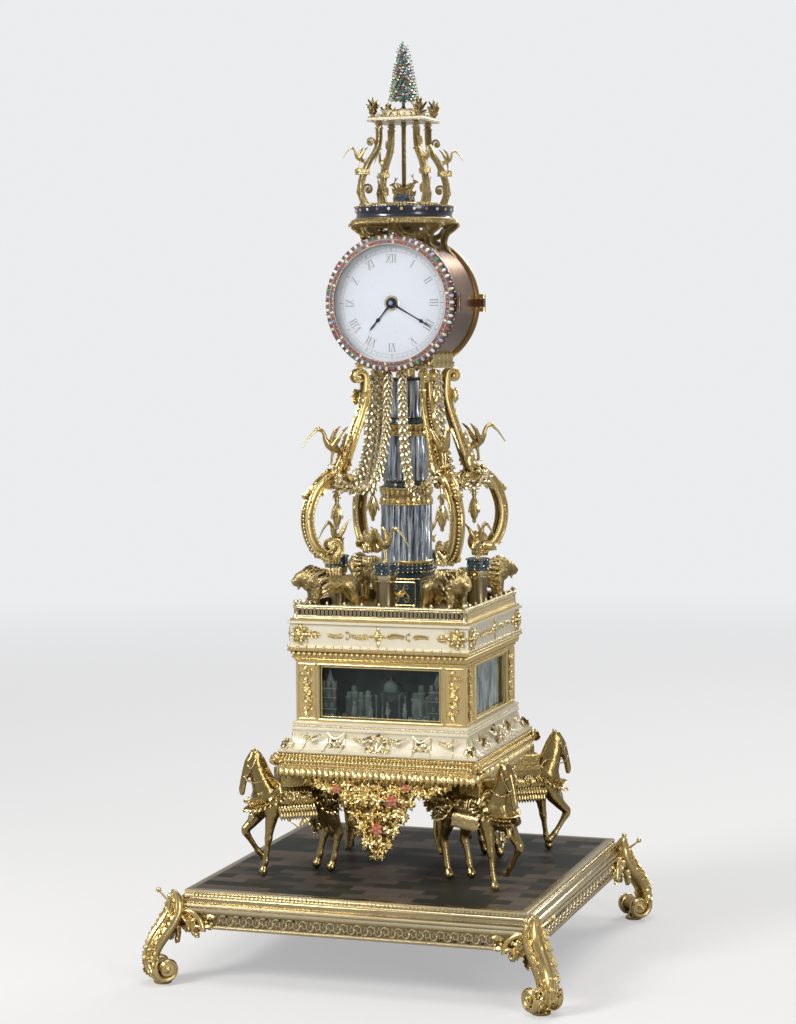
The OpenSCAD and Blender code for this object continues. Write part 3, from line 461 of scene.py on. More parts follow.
# %% Chains of beads melted into one skin
def link(bm, a, b):
    start, end = Vector(a[:3]), Vector(b[:3])
    run = end - start
    where = Matrix.Translation((start + end) / 2) @ run.to_track_quat("Z", "Y").to_matrix().to_4x4()
    bmesh.ops.create_cone(bm, cap_ends=True, segments=14, radius1=a[3], radius2=b[3], depth=run.length,
            matrix=where)


def chained(bm, chains):
    for chain in chains:
        for x, y, z, r in chain:
            bmesh.ops.create_uvsphere(bm, u_segments=14, v_segments=10, radius=r,
                    matrix=Matrix.Translation((x, y, z)))
        for a, b in zip(chain, chain[1:]):
            link(bm, a, b)


def both(chains):
    """The chains, and the same on the other side of the animal."""
    return chains + [[(x, -y, z, r) for x, y, z, r in chain] for chain in chains]


def skin(rough, grain, rub):
    """One closed skin round everything in a mesh, as a new mesh."""
    obj = bpy.data.objects.new("wax", rough)
    bpy.context.scene.collection.objects.link(obj)
    melt = obj.modifiers.new("melt", "REMESH")
    melt.mode = "VOXEL"
    melt.voxel_size = grain
    soften = obj.modifiers.new("soften", "SMOOTH")
    soften.factor = 0.6
    soften.iterations = rub
    graph = bpy.context.evaluated_depsgraph_get()
    mesh = bpy.data.meshes.new_from_object(obj.evaluated_get(graph))
    bpy.data.objects.remove(obj)
    return mesh


def animal(chains, grain, rub=3, blocks=()):
    """An animal's skin. A block is a (place, size) that it carries on its back or stands on."""
    bm = bmesh.new()
    chained(bm, chains)
    for where, size in blocks:
        bmesh.ops.create_cube(bm, size=1, matrix=Matrix.Translation(where) @ Matrix.Diagonal((*size, 1)))
    rough = bpy.data.meshes.new("wax")
    bm.to_mesh(rough)
    bm.free()
    return skin(rough, grain, rub)


def fitted(bm, node):
    """Fits what is in a bmesh to the box of a CAD node."""
    low, high = box(node)
    points = [v.co for v in bm.verts]
    start = Vector([min(p[k] for p in points) for k in range(3)])
    end = Vector([max(p[k] for p in points) for k in range(3)])
    grow = Vector([(high[k] - low[k]) / (end[k] - start[k]) for k in range(3)])
    where = Matrix.Translation(low) @ Matrix.Diagonal((*grow, 1)) @ Matrix.Translation(-start)
    bmesh.ops.transform(bm, matrix=where, verts=bm.verts)
    return grow


# %% [markdown]
# A parade horse: round barrel and croup, a neck arched so far that the nose hangs down, one
# foreleg raised, and fine dry legs below the knee. The legs need a bead at each joint, since
# it is the knees, hocks and fetlocks that make them read as a horse's.

# %% Horse
HORSE = [
    [(37, 0, 91, 20), (22, 0, 92, 23), (2, 0, 91, 23.5), (-18, 0, 93, 23.5), (-36, 0, 98, 23)],
    [(38, 0, 96, 19), (45, 0, 84, 14)],
    [(-36, 0, 104, 18), (-50, 0, 99, 15)],
    [(38, 0, 103, 17), (45, 0, 119, 13), (50, 0, 132, 10), (53, 0, 143, 8.5), (54, 0, 148, 7.5)],
    [(30, 0, 110, 9), (38, 0, 128, 7), (43, 0, 142, 5.5), (48, 0, 151, 4.6), (55, 0, 154, 3.6)],
    [(54, 0, 147, 8), (59, 0, 140, 7.6), (64, 0, 129, 5.8), (68, 0, 117, 4.6), (70, 0, 107, 4.6),
     (70, 0, 103, 3.8)],
    [(55, 0, 139, 7), (59, 0, 130, 5.5)],
    [(31, 13, 91, 12), (33, 14, 76, 9.5), (36, 14, 62, 7), (38, 14, 50, 5.4), (38.5, 14, 45, 5.6),
     (40, 14, 36, 3.9), (42, 14, 22, 3.6), (43, 14, 16, 4.6), (45, 14, 10, 3.9), (47, 14, 3.5, 6)],
    [(32, -13, 90, 12), (42, -14, 74, 9.5), (54, -14, 61, 7), (62, -14, 54, 5.8), (62, -14, 50, 5.6),
     (56, -14, 41, 4.0), (48, -14, 29, 3.6), (45, -14, 25, 4.6), (40, -14, 20, 4.0), (36, -14, 16, 5.6)],
    [(-40, 11, 97, 16), (-46, 13, 82, 14), (-50, 14, 68, 9.6), (-57, 14, 53, 6.2),
     (-59, 14, 46, 6.2), (-56, 14, 36, 4.4), (-53, 14, 22, 4.0), (-52, 14, 16, 5.0),
     (-50, 14, 10, 4.2), (-47, 14, 3.5, 6.2)],
    [(-40, -11, 97, 16), (-42, -13, 82, 14), (-44, -14, 67, 9.6), (-50, -14, 52, 6.2),
     (-51, -14, 45, 6.2), (-46, -14, 36, 4.4), (-42, -14, 22, 4.0), (-41, -14, 16, 5.0),
     (-39, -14, 10, 4.2), (-36, -14, 3.5, 6.2)],
    [(-57, 0, 106, 5), (-66, 0, 102, 6.5), (-74, 0, 89, 7.5), (-79, 0, 71, 8), (-80, 0, 53, 7.4),
     (-78, 0, 36, 5.6), (-74, 0, 23, 3)],
]
HORSE += both([
    [(51, 4, 152, 2.6), (50, 5, 160, 1.1)],
    [(62, 4.2, 139, 2.0), (60, 4.6, 137, 1.6)],
    [(71, 2.4, 105, 1.8), (70, 2.4, 102, 1.6)],
])
# Mane locks fall on both sides of the crest, and the tail has strands
for k in range(7):
    x, z = 33 + 2.6 * k, 119 + 5.2 * k
    HORSE += both([[(x, 4, z, 3.2), (x + 2, 8.6 - 0.4 * k, z - 8, 2.6), (x - 2, 9 - 0.5 * k, z - 15, 1.4)]])
for k in range(5):
    s = 3.4 * (k - 2)
    HORSE.append([(-68, s * 0.6, 100, 3), (-81, s * 1.4, 76, 3), (-82, s * 1.5, 50, 3), (-77, s, 24, 1.6)])

SADDLE = [((0, 0, 120), (42, 36, 23.8))]
horse_wax = animal(HORSE, 1.5, 3, SADDLE)
# Degrees from the side view towards the corner that horses and lions walk to
HEADING = 36
print("horse skin", len(horse_wax.polygons), "faces")


def blanket(u, v):
    """A saddle cloth laid round the barrel, with its border tucked into the coat."""
    a = math.radians(-66 + 132 * u)
    edge = min(u, 1 - u, v, 1 - v)
    wave = 2.2 * abs(math.sin(10 * math.pi * v)) if u < 0.12 or u > 0.88 else 0
    r = 20 + 5.6 * min(1, edge / 0.03)
    x = -25 + 50 * v
    return Vector((x, (r + 0.3 * math.sin(40 * a)) * math.sin(a), 92 + r * math.cos(a) - wave))


def trappings(bm):
    """Saddle cloth with a fringe, breast and crupper garlands, and a bridle."""
    sheet_of(bm, 40, 30, blanket)
    for s in (-1, 1):
        for k in range(13):
            x = -24 + 4 * k
            stamp(bm, LEAF, place(x, s * 22.6, 84, turn=90 * s, tilt=74, size=0.72),
                  place(x + 2, s * 23.4, 90, turn=90 * s, tilt=66, size=0.6))
            stamp(bm, SMALL_BEAD, place(x, s * 23.2, 85.6, size=1.7), place(x, s * 23.9, 94, size=1.1))
        for x in (-17, 0, 17):
            stamp(bm, ROSETTE, place(x, s * 23.6, 100, roll=-78 * s, size=0.85))
        girth = [(4 * math.sin(a) + 2, s * 24.2 * math.sin(a), 92 + 24.2 * math.cos(a), 1.5) for a in
                 [math.radians(60 + 12 * k) for k in range(11)]]
        swept(bm, girth, around=6)
        breast = smooth_path([(22, s * 21, 101, 1.6), (34, s * 20, 93, 2), (46, s * 15, 87, 2.3),
                (54, s * 7, 85, 2.4), (56.5, 0, 84.5, 2.4)], 5)
        crupper = smooth_path([(-22, s * 21, 102, 1.6), (-36, s * 22, 97, 2), (-50, s * 18, 96, 2.2),
                (-60, s * 8, 99, 2), (-63, 0, 102, 1.8)], 5)
        loop = smooth_path([(-24, s * 22.6, 99, 1.4), (-34, s * 25, 84, 1.9), (-46, s * 24.5, 80, 2.2),
                            (-56, s * 18, 90, 1.6)], 5)
        for path in (breast, crupper, loop):
            swept(bm, path, around=6)
            for k, (x, y, z, r) in enumerate(path):
                up = math.degrees(math.atan2(y, x - (30 if x > 0 else -34)))
                stamp(bm, LEAF, place(x, y, z, turn=up, tilt=28 - 56 * (k % 2), size=0.62))
                if k % 2:
                    stamp(bm, SMALL_BEAD, place(x * 1.01, y * 1.06, z, size=r * 0.95))
        # Two straps of the bridle, round the nose and round the cheeks
        for x, z, r in ((66.4, 122, 5.8), (61, 135, 8.4)):
            turns = [math.tau * k / 20 for k in range(21)]
            ring = [(x + 0.34 * r * math.cos(a) * 1.2, r * math.sin(a), z + r * math.cos(a) * 0.55, 0.9)
                    for a in turns]
            swept(bm, ring, around=6)
        swept(bm, [(67, s * 5.6, 122, 0.8), (58, s * 8.4, 136, 0.8), (52, s * 7.4, 147, 0.8)], around=6)
        swept(bm, smooth_path([(67, s * 5.8, 120, 0.8), (54, s * 11, 116, 0.8), (34, s * 13, 122, 0.8),
                (22, s * 15, 112, 0.8)], 4), around=6)
        stamp(bm, ROSETTE, place(55, s * 8.6, 142, roll=-90 * s, size=0.4))
    stamp(bm, ROSETTE, place(58, 0, 84, tilt=80, size=0.9))
    for k in range(4):
        stamp(bm, LEAF, place(57, 0, 80 - 3 * k, tilt=78, size=0.8 - 0.1 * k))


TRAPPINGS = pattern(trappings)


def horse(name, node, right, rear):
    bm = bmesh.new()
    where = place(size=(right, rear, 1)) @ place(turn=HEADING)
    stamp(bm, horse_wax, where)
    stamp(bm, TRAPPINGS, where)
    print(node, "fitted by", [round(g, 3) for g in fitted(bm, node)])
    return piece(bm, name, "tower", "gilt_bronze", horse_gilt, node, sharp=80)


horse("parade_horse_front_left", "horse_front_left", -1, -1)
horse("parade_horse_front_right", "horse_front_right", 1, -1)
horse("parade_horse_rear_left", "horse_rear_left", -1, 1)
horse("parade_horse_rear_right", "horse_rear_right", 1, 1)


# %% Places on a side and in the diagonal planes
def on_front(x, distance, z, turn=0.0, size=1.0, lean=0.0):
    """A place for a flat pattern on the front: turn is counted in its plane, lean tips it up."""
    return Matrix.Translation((x, -distance, z)) @ place(roll=90 - lean) @ place(turn=turn, size=size)


# Each turns a pattern drawn as (radius, height) into the diagonal plane of a corner
CORNERS = [diagonal(i) @ place(roll=90) for i in range(4)]


def row(bm, mesh, reach, pitch, where):
    """Stamps along all four sides, from -reach to reach, at where(x)."""
    count = max(1, round(2 * reach / pitch))
    for k in range(count + 1):
        stamp(bm, mesh, *sides(where(-reach + 2 * reach * k / count)))


# %% [markdown]
# ## Plinth
#
# The plinth is a dark stone slab in a stepped brass frame. Its frieze is chased with a running
# scroll, which bump alone would not show in profile, so the scroll is a real bar a millimetre
# thick laid on the face. The slab keeps its CAD mesh and gets a chequered finish.


# %% Slab finish
def slab_finish():
    f = Finish("chequered slab")
    where = f.node("Mapping", Vector=f.coordinates(), Scale=(26, 34, 1))
    laid = dict(Vector=where, Scale=1.0, Brick_Width=1.2, Row_Height=0.7)
    bricks = f.node("TexBrick", {"offset": 0.5}, output="Fac", Mortar_Size=0.02, **laid)
    tiles = f.node("TexBrick", {"offset": 0.5}, output="Color", Mortar_Size=0.0,
                   Color1=(0, 0, 0), Color2=(1, 1, 1), Mortar=(0, 0, 0), **laid)
    patch = f.node("SeparateColor", Color=tiles, output="Red")
    cloud = f.noise(9, detail=5)
    base = f.mix(cloud, (0.008, 0.017, 0.014), (0.032, 0.026, 0.017))
    base = f.mix(patch.between(0.4, 0.8) * 0.85, base, (0.12, 0.092, 0.07))
    base = f.mix(bricks * 0.5, base, (0.02, 0.02, 0.016))
    f.bump(cloud + patch, 0.0003, 0.3)
    f.shader.inputs["Specular IOR Level"].default_value = 0.14
    return f.set(Base_Color=base, Roughness=0.40 + 0.2 * cloud, Metallic=patch.between(0.6, 1) * 0.4)


def keep(node, finish):
    """A CAD node that keeps its mesh and gets a finish."""
    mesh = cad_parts[node].data
    mesh.materials.clear()
    mesh.materials.append(finish)


keep("plinth_slab", slab_finish())

# %% Stepped moulding
SLAB = reach_of("plinth_slab")
SLAB_TOP = top_of("plinth_slab")


def stepped_moulding():
    bm = bmesh.new()
    out, z = reach_of("plinth_moulding"), foot_of("plinth_moulding")
    low = SLAB - 12
    squared(bm, [(low, z + 12), (low, z), (out - 0.8, z), (out, z + 0.8), (out, z + 3), (out - 0.8, z + 3.8),
                 (out - 2.6, z + 4.2), (out - 2.6, z + 5), (out - 1.4, z + 5.6), (out - 1.2, z + 7),
                 (out - 2.4, z + 8.4), (out - 5, z + 9.2), (out - 7, z + 11), (out - 7.6, z + 14),
                 (out - 6.4, z + 16), (out - 6.4, z + 17.6), (out - 7.4, z + 18.4), (out - 9, z + 18.8),
                 (out - 9.4, z + 21), (out - 8.6, z + 22.4), (out - 9.2, z + 24.4), (out - 10.5, SLAB_TOP),
                 (SLAB, SLAB_TOP), (SLAB, z + 12), (low, z + 12)])
    row(bm, SMALL_BEAD, SLAB - 2, 5.2, lambda x: place(x, -(out - 8.2), z + 20.2, size=1.15))
    return piece(bm, "stepped_moulding", "tower", "brass", brass, "plinth_moulding", sharp=30)


stepped_moulding()


# %% Chased frieze
def running_scroll(bm, pitch=17.0, r=5.6):
    """One wave of the scroll along X: a bar that curls up and one that curls down."""
    for flip_y, x in ((1, 0), (-1, pitch / 2)):
        curl = [(px, flip_y * py, pz, pr) for px, py, pz, pr in
                volute(x, 0.4, r, 200, -430, 0.95, 0.6, 15)]
        swept(bm, curl, around=5, flat=0.8)
        stem = smooth_path([(x - pitch / 2 - 1, -flip_y * 5, 0, 0.7), (x - 5, -flip_y * 2, 0, 0.9),
                            (x - r, flip_y * 0.6, 0, 0.95)], 3)
        swept(bm, stem, around=5, flat=0.8)
    stamp(bm, LEAF, place(-3, -5.6, 0, turn=35, size=0.26), place(5.4, 5.6, 0, turn=-145, size=0.26),
          place(pitch / 2 - 3, 5.6, 0, turn=-35, size=0.26))


SCROLL_WAVE = pattern(running_scroll)


def chased_frieze():
    bm = bmesh.new()
    low, high = foot_of("plinth_frieze"), top_of("plinth_frieze")
    out = reach_of("plinth_frieze")
    face = out - 2
    squared(bm, [(face - 8, low), (out - 0.5, low), (out, low + 0.6), (out, low + 2.6),
                 (out - 0.7, low + 3.4), (face, low + 4.6), (face, high - 2.4), (out - 0.8, high - 1.8),
                 (out - 0.8, high), (face - 8, high), (face - 8, low)])
    middle = (low + high) / 2 + 1
    # The band behind the scroll is darkened: partly the engraved ground, partly painted shade between the
    # scrolls
    ground = gilding("engraved gilding in painted shade", (0.66, 0.55, 0.33), (0.27, 0.205, 0.11), (0.05, 0.035, 0.018), 0.36,
                     0.0005)
    piece(bm, "chased_frieze", "tower", "brass", ground, "plinth_frieze", sharp=30)
    bm = bmesh.new()
    row(bm, SCROLL_WAVE, face - 58, 17, lambda x: on_front(x, face, middle) @ place(size=(1.05, 1.15, 1.5)))
    return piece(bm, "frieze_scrolls", "tower", "brass", brass, sharp=30)


chased_frieze()

# %% [markdown]
# ## Scroll feet
#
# Each foot is a bold S that springs from the plinth's corner and rolls up on the floor, clad
# in acanthus. The roll's face shows a spiral, and two sprays of leaves run out along the
# frieze. The S is swept in its own plane with a wide flat section, and turned to each corner.

# %% Foot
# How far a foot's middle is from the axis, along the diagonal
FOOT_OUT = reach_of("scroll_feet") * math.sqrt(2) - 37.5


def foot(bm):
    """Leaf body from the frieze's corner down and out to a broad roll with spiral eyes."""
    spine = smooth_path([(-14, 112, 0, 2), (-17, 107, 0, 5), (-19, 97, 0, 8.6), (-17, 85, 0, 10),
            (-8, 70, 0, 10.4), (4, 56, 0, 10), (12, 42, 0, 9), (14, 28, 0, 7.5), (9, 17, 0, 6)], 5)
    swept(bm, spine, around=24, flat=1.5)
    for edge in (-0.85, -0.45, 0, 0.45, 0.85):
        rib = []
        for k in range(2, len(spine)):
            x, y, _, r = spine[k]
            ahead, back = spine[min(k + 1, len(spine) - 1)], spine[k - 1]
            run = Vector((ahead[0] - back[0], ahead[1] - back[1])).normalized()
            out = r * math.sqrt(1 - edge * edge) * 0.94
            rib.append((x - run.y * out, y + run.x * out, edge * r * 1.46, 1.3 if edge else 1.9))
        swept(bm, rib, around=6)
    # The roll: two scrolled ends with a hollow between them
    turned_core = pattern(turned, [(0, -17), (9, -17), (9.5, -8), (8, 0), (9.5, 8), (9, 17), (0, 17)],
            steps=32)
    stamp(bm, turned_core, place(0, 20, 0))
    for side in (-1, 1):
        curl = [(x, y, side * 14, r) for x, y, _, r in volute(0, 20, 15.5, 10, -520, 4.2, 2.0, 44, 0.80)]
        swept(bm, curl, around=10, flat=1.35)
        face = [(x, y, side * 18.6, 1.4 - 0.4 * k / 44) for k, (x, y, _, _) in
                enumerate(volute(0, 20, 17, 40, -620, 1, 1, 48, 0.88))]
        swept(bm, face, around=6)
        stamp(bm, BEAD, place(0, 20, side * 18.4, size=3.4))
        for x, y, turn, tilt, size in ((20, 38, -96, 30, 1.5), (23, 30, -112, 40, 1.3),
                (24, 20, -130, 46, 1.2), (14, 50, -78, 34, 1.5), (2, 64, -60, 30, 1.5),
                (-8, 78, -56, 30, 1.5), (-14, 92, -70, 34, 1.5), (-20, 84, -110, 10, 1.6),
                (-14, 70, -80, 10, 1.4)):
            stamp(bm, BROAD_LEAF, place(x - 5, y, side * 9, turn=turn, roll=90 - side * tilt,
                    size=0.72 * size))
        for x, y, turn in ((-12, 102, -64), (-6, 88, -56), (5, 70, -52), (15, 52, -66)):
            stamp(bm, LEAF, place(x - 3, y, side * 6, turn=turn, roll=90 - side * 40, size=0.9))
        swept(bm, smooth_path([(-12, 98, side * 7, 1.6), (-7, 104, side * 13, 1.3),
                (-4, 109, side * 18, 1.1)], 3), around=6)
        stamp(bm, BEAD, place(-3.5, 110, side * 18.6, size=3.4), place(20, 44, side * 7, size=2.6),
              place(20, 30, side * 9, size=2.4))
    for x, y, turn, size in ((-8, 100, -66, 1.7), (-3, 86, -52, 1.8), (8, 71, -54, 1.8), (18, 56, -66, 1.7),
            (26, 40, -92, 1.5), (25, 26, -118, 1.3)):
        stamp(bm, BROAD_LEAF, place(x - 5.5, y, 0, turn=turn - 6, roll=90,
                size=(0.78 * size, 1.2 * size, 0.5 * size)))
    stamp(bm, BEAD, place(23, 33, 0, size=3.2), place(13, 9, 0, size=2.6), place(22, 46, 0, size=2.2))


def scroll_feet():
    bm = bmesh.new()
    shaped = pattern(foot)
    pad = pattern(turned, [(0, 0), (10.4, 0), (11, 0.6), (11, 3), (8, 5), (7, 12), (0, 12)], steps=32)
    for i, where in enumerate(CORNERS):
        stamp(bm, shaped, where @ place(x=FOOT_OUT))
        stamp(bm, pad, diagonal(i) @ place(x=FOOT_OUT))
    low, face = foot_of("plinth_frieze"), reach_of("plinth_frieze") - 1
    for half in (mirror(1), mirror(-1)):
        for x, z, turn, size, mesh in (
                (face - 4, low + 10, 182, 1.0, BROAD_LEAF), (face - 6, low + 16, 168, 0.9, BROAD_LEAF),
                (face - 10, low + 3, 200, 0.9, BROAD_LEAF), (face - 34, low + 14, 174, 0.8, BROAD_LEAF),
                (face - 16, low - 1, 226, 0.7, BROAD_LEAF), (face - 30, low + 4, 190, 0.8, LEAF)):
            where = on_front(x, face, z, turn, size)
            stamp(bm, mesh, *sides(half @ where))
        for k in range(5):
            where = place(face - 44 + 7 * k, -face - 1.5, low + 7 + 1.5 * k, size=2 + 0.35 * k)
            stamp(bm, BEAD, *sides(half @ where))
        eye = volute(face - 25, low - 4, 8.4, 170, -330, 3.2, 1.7, 28, 0.8)
        hook = smooth_path([(face - 3, low + 20, 2.4, 2.4), (face - 15, low + 21, 2.6, 3.2),
                            (face - 28, low + 13, 2.6, 3.4), (face - 33, low + 2, 2.6, 3.3)], 5)
        curl = hook + [(x, y, 2.6, r) for x, y, _, r in eye]
        bracket = pattern(swept, curl, around=10, flat=1.3)
        shell = pattern(swept, smooth_path([(face - 6, low + 12, -1, 5), (face - 14, low + 8, -1, 7),
                (face - 20, low - 2, -1, 6), (face - 20, low - 10, -1, 3)], 4), around=12, flat=0.55)
        where = Matrix.Translation((0, -face, 0)) @ FRONT
        stamp(bm, bracket, *sides(half @ where))
        stamp(bm, shell, *sides(half @ where))
    return piece(bm, "acanthus_feet", "tower", "gilt_bronze", gilt, "scroll_feet", sharp=50)


scroll_feet()

# %% [markdown]
# ## Case mounts
#
# The case is a white box dressed with cast mounts: fans of acanthus in the corners, scrolls,
# swags of flowers and a trophy of instruments. Each mount is drawn flat, with X along the
# side and Y up, and stands on the wall through `on_front`. Scrolls run as one bar from eye to
# eye, because two bars that meet show a joint in the light.


# %% Scrolls, fans and swags
def fan(bm, leaves=5, spread=150, mesh=LEAF, size=0.5):
    for k in range(leaves):
        s = 2 * k / (leaves - 1) - 1
        stamp(bm, mesh, place(turn=90 + s * spread / 2, size=size * (1 - 0.28 * abs(s)), z=-0.4 * abs(s)))


def s_scroll(bm, height=30.0, r=5.0, thick=1.1):
    top = volute(0, height / 2 - r, r, 180, -400, thick, thick * 0.5, 18)
    low = volute(0, r - height / 2, r, 0, -400, thick, thick * 0.5, 18)
    middle = smooth_path([top[0], (-r * 0.62, height * 0.12, 0, thick * 1.25),
            (r * 0.62, -height * 0.12, 0, thick * 1.25), low[0]], 4)
    swept(bm, top[::-1] + middle[1:-1] + low, around=6, flat=0.8)


def c_scroll(bm, height=24.0, r=4.0, thick=1.1):
    """A C that opens to the left, with an eye at each end."""
    top = volute(0, height / 2 - r, r, 90, 400, thick, thick * 0.5, 18)
    low = [(x, -y, z, q) for x, y, z, q in top]
    middle = smooth_path([top[0], (height * 0.24, height * 0.34, 0, thick * 1.1),
            (height * 0.36, 0, 0, thick * 1.4), (height * 0.24, -height * 0.34, 0, thick * 1.1), low[0]], 4)
    swept(bm, top[::-1] + middle[1:-1] + low, around=6, flat=0.8)


def swag(bm, width=40.0, drop=9.0, size=0.32):
    """A festoon of leaves with a flower in its middle, hanging from (-width / 2, 0)."""
    count = round(width / 3.4)
    for k in range(count + 1):
        s = 2 * k / count - 1
        x, y = s * width / 2, -drop * (1 - s * s)
        full = 1.15 - 0.45 * abs(s)
        slope = math.degrees(math.atan2(4 * drop * s, width))
        for side in (-1, 1):
            stamp(bm, LEAF, place(x, y, 0.3, turn=slope + 180 * (s > 0) + side * 52, size=size * full))
        stamp(bm, SMALL_BEAD, place(x, y, 1.2, size=1.1 * full))
    stamp(bm, ROSETTE, place(0, -drop, 1.2, size=0.62))


FAN = pattern(fan)
WIDE_FAN = pattern(fan, leaves=7, spread=200, mesh=BROAD_LEAF, size=0.42)
S_SCROLL = pattern(s_scroll)
C_SCROLL = pattern(c_scroll)
SWAG = pattern(swag)

# %% Painted, porcelain and glass finishes
def paint(name, base, worn, rough=0.55, scale=60):
    """Oil paint on sheet metal: clouded, worn thin on its edges, with a fine brush grain."""
    f = Finish(name, Metallic=0.0)
    cloud = f.noise(scale, detail=5)
    brush = f.noise(420, detail=3)
    tone = f.mix(cloud.between(0.3, 0.75), base, worn)
    tone = f.mix(f.hollows(0.55, 0.66) * 0.35, tone, (0.75, 0.7, 0.6))
    f.bump(brush + cloud, 0.00015, 0.5)
    return f.set(Base_Color=tone, Roughness=rough + 0.2 * brush)


def porcelain():
    """White enamel: a trace of grey clouding, a few brown crackle lines, brown painted shade in its hollows,
    and a clear coat.
    """
    f = Finish("white enamel", Metallic=0.0, Coat_Weight=0.6, Coat_Roughness=0.08)
    cloud = f.noise(30, detail=5)
    cells = f.node("TexVoronoi", {"feature": "DISTANCE_TO_EDGE"}, output="Distance",
                   Vector=f.coordinates(), Scale=110.0)
    crack = (1 - cells.between(0.0, 0.035)) * cloud.between(0.5, 0.8)
    tone = f.mix(cloud, (0.86, 0.80, 0.64), (0.68, 0.61, 0.44))
    tone = f.mix(crack * 0.5, tone, (0.34, 0.26, 0.14))
    # Painted shade: the hollows are darkened brown
    tone = f.mix((1 - f.hollows(0.4, 0.5)) * 0.6, tone, (0.36, 0.29, 0.17))
    f.bump(cloud - crack * 0.3, 0.0002, 0.4)
    return f.set(Base_Color=tone, Roughness=0.3 + 0.15 * cloud)


def clear_glass(name, tint=(0.92, 0.97, 0.95), rough=0.02, wave=0.0002):
    f = Finish(name, Transmission_Weight=1.0, IOR=1.3)
    f.shader.inputs["Specular IOR Level"].default_value = 0.12
    wavy = f.noise(26, detail=2)
    dust = f.noise(160, detail=4).between(0.55, 0.9)
    f.bump(wavy, wave, 0.6)
    return f.set(Base_Color=f.mix(dust * 0.12, tint, (0.6, 0.6, 0.56)), Roughness=rough + 0.12 * dust)


white_enamel = porcelain()
window_glass = clear_glass("window glass", (0.80, 0.88, 0.86))
keep("window_glass", window_glass)


# %% Gadroon rows under the case
def gadroon_rows():
    bm = bmesh.new()
    out, z = reach_of("gadroon_moulding"), foot_of("gadroon_moulding")
    squared(bm, [(out - 20, z), (out - 2, z), (out - 1.2, z + 0.8), (out - 1.2, z + 2), (out - 2, z + 2.6),
                 (out - 4, z + 3), (out - 5, z + 8), (out - 3.4, z + 8.6), (out - 3.4, z + 9.4),
                 (out - 6.4, z + 10), (out - 6.8, z + 14), (out - 4.4, z + 15), (out - 4, z + 15.6),
                 (out - 4, z + 17), (out - 20, z + 17), (out - 20, z)])
    plump = pattern(egg, r=2.5, length=1.25)
    row(bm, plump, out - 4, 4.9, lambda x: place(x, -(out - 3.2), z + 5.4))
    row(bm, plump, out - 6, 4.6, lambda x: place(x, -(out - 6), z + 12.2, size=(0.9, 0.9, 0.78)))
    corner_leaf = pattern(fan, leaves=5, spread=120, mesh=BROAD_LEAF, size=0.62)
    for turn in (0, 90):
        stamp(bm, corner_leaf, *sides(place(turn=turn) @ on_front(-out + 2.2 if turn else out - 2.2,
                out - 1.2, z + 1, 0, 1.1)))
    return piece(bm, "gadroon_rows", "tower", "gilt_bronze", gilt, "gadroon_moulding", sharp=40)


gadroon_rows()
keep("case_floor", gilt)


def floor_fringe():
    """Leaves and flowers that hang from the moulding over the edge of the case's floor."""
    bm = bmesh.new()
    low, high = box("case_floor")
    face = high.x
    row(bm, LEAF, face - 5, 7.4, lambda x: on_front(x, face, high.z - 0.5, -90, 0.74))
    row(bm, LEAF, face - 9, 7.4, lambda x: on_front(x, face, high.z - 3, -90 + 26 * math.sin(x), 0.56))
    row(bm, ROSETTE, face - 12, 22, lambda x: on_front(x, face + 0.6, (low.z + high.z) / 2 + 1, 20 * x, 0.5))
    row(bm, SMALL_BEAD, face - 3, 3.7, lambda x: on_front(x, face, high.z - 1.2, 0, 1.3))
    return piece(bm, "floor_fringe", "tower", "gilt_bronze", gilt, sharp=50)


floor_fringe()

# %% [markdown]
# Under the case hang four aprons of fruit and flowers, a wide one in front and behind and a
# narrow one at each side. No two flowers of the real ones match, so each is stamped with its
# own turn and size, drawn from a seeded random stream.


# %% Aprons of flowers
def apron_spots(half):
    """Where flowers sit on one apron: (x, y below the floor, size)."""
    lobes = int(half // 14)
    spots = [(13 * i, -11 - 7 * abs(math.sin(math.radians(60 * i))), 8.0) for i in range(-lobes, lobes + 1)]
    spots += [(20 * (j - (4 - k) / 2), -28 - 18 * k, 11.0) for k in range(4) for j in range(5 - k)]
    return spots + [(0, -92, 8.0), (-5, -98, 5), (5, -97, 5)]


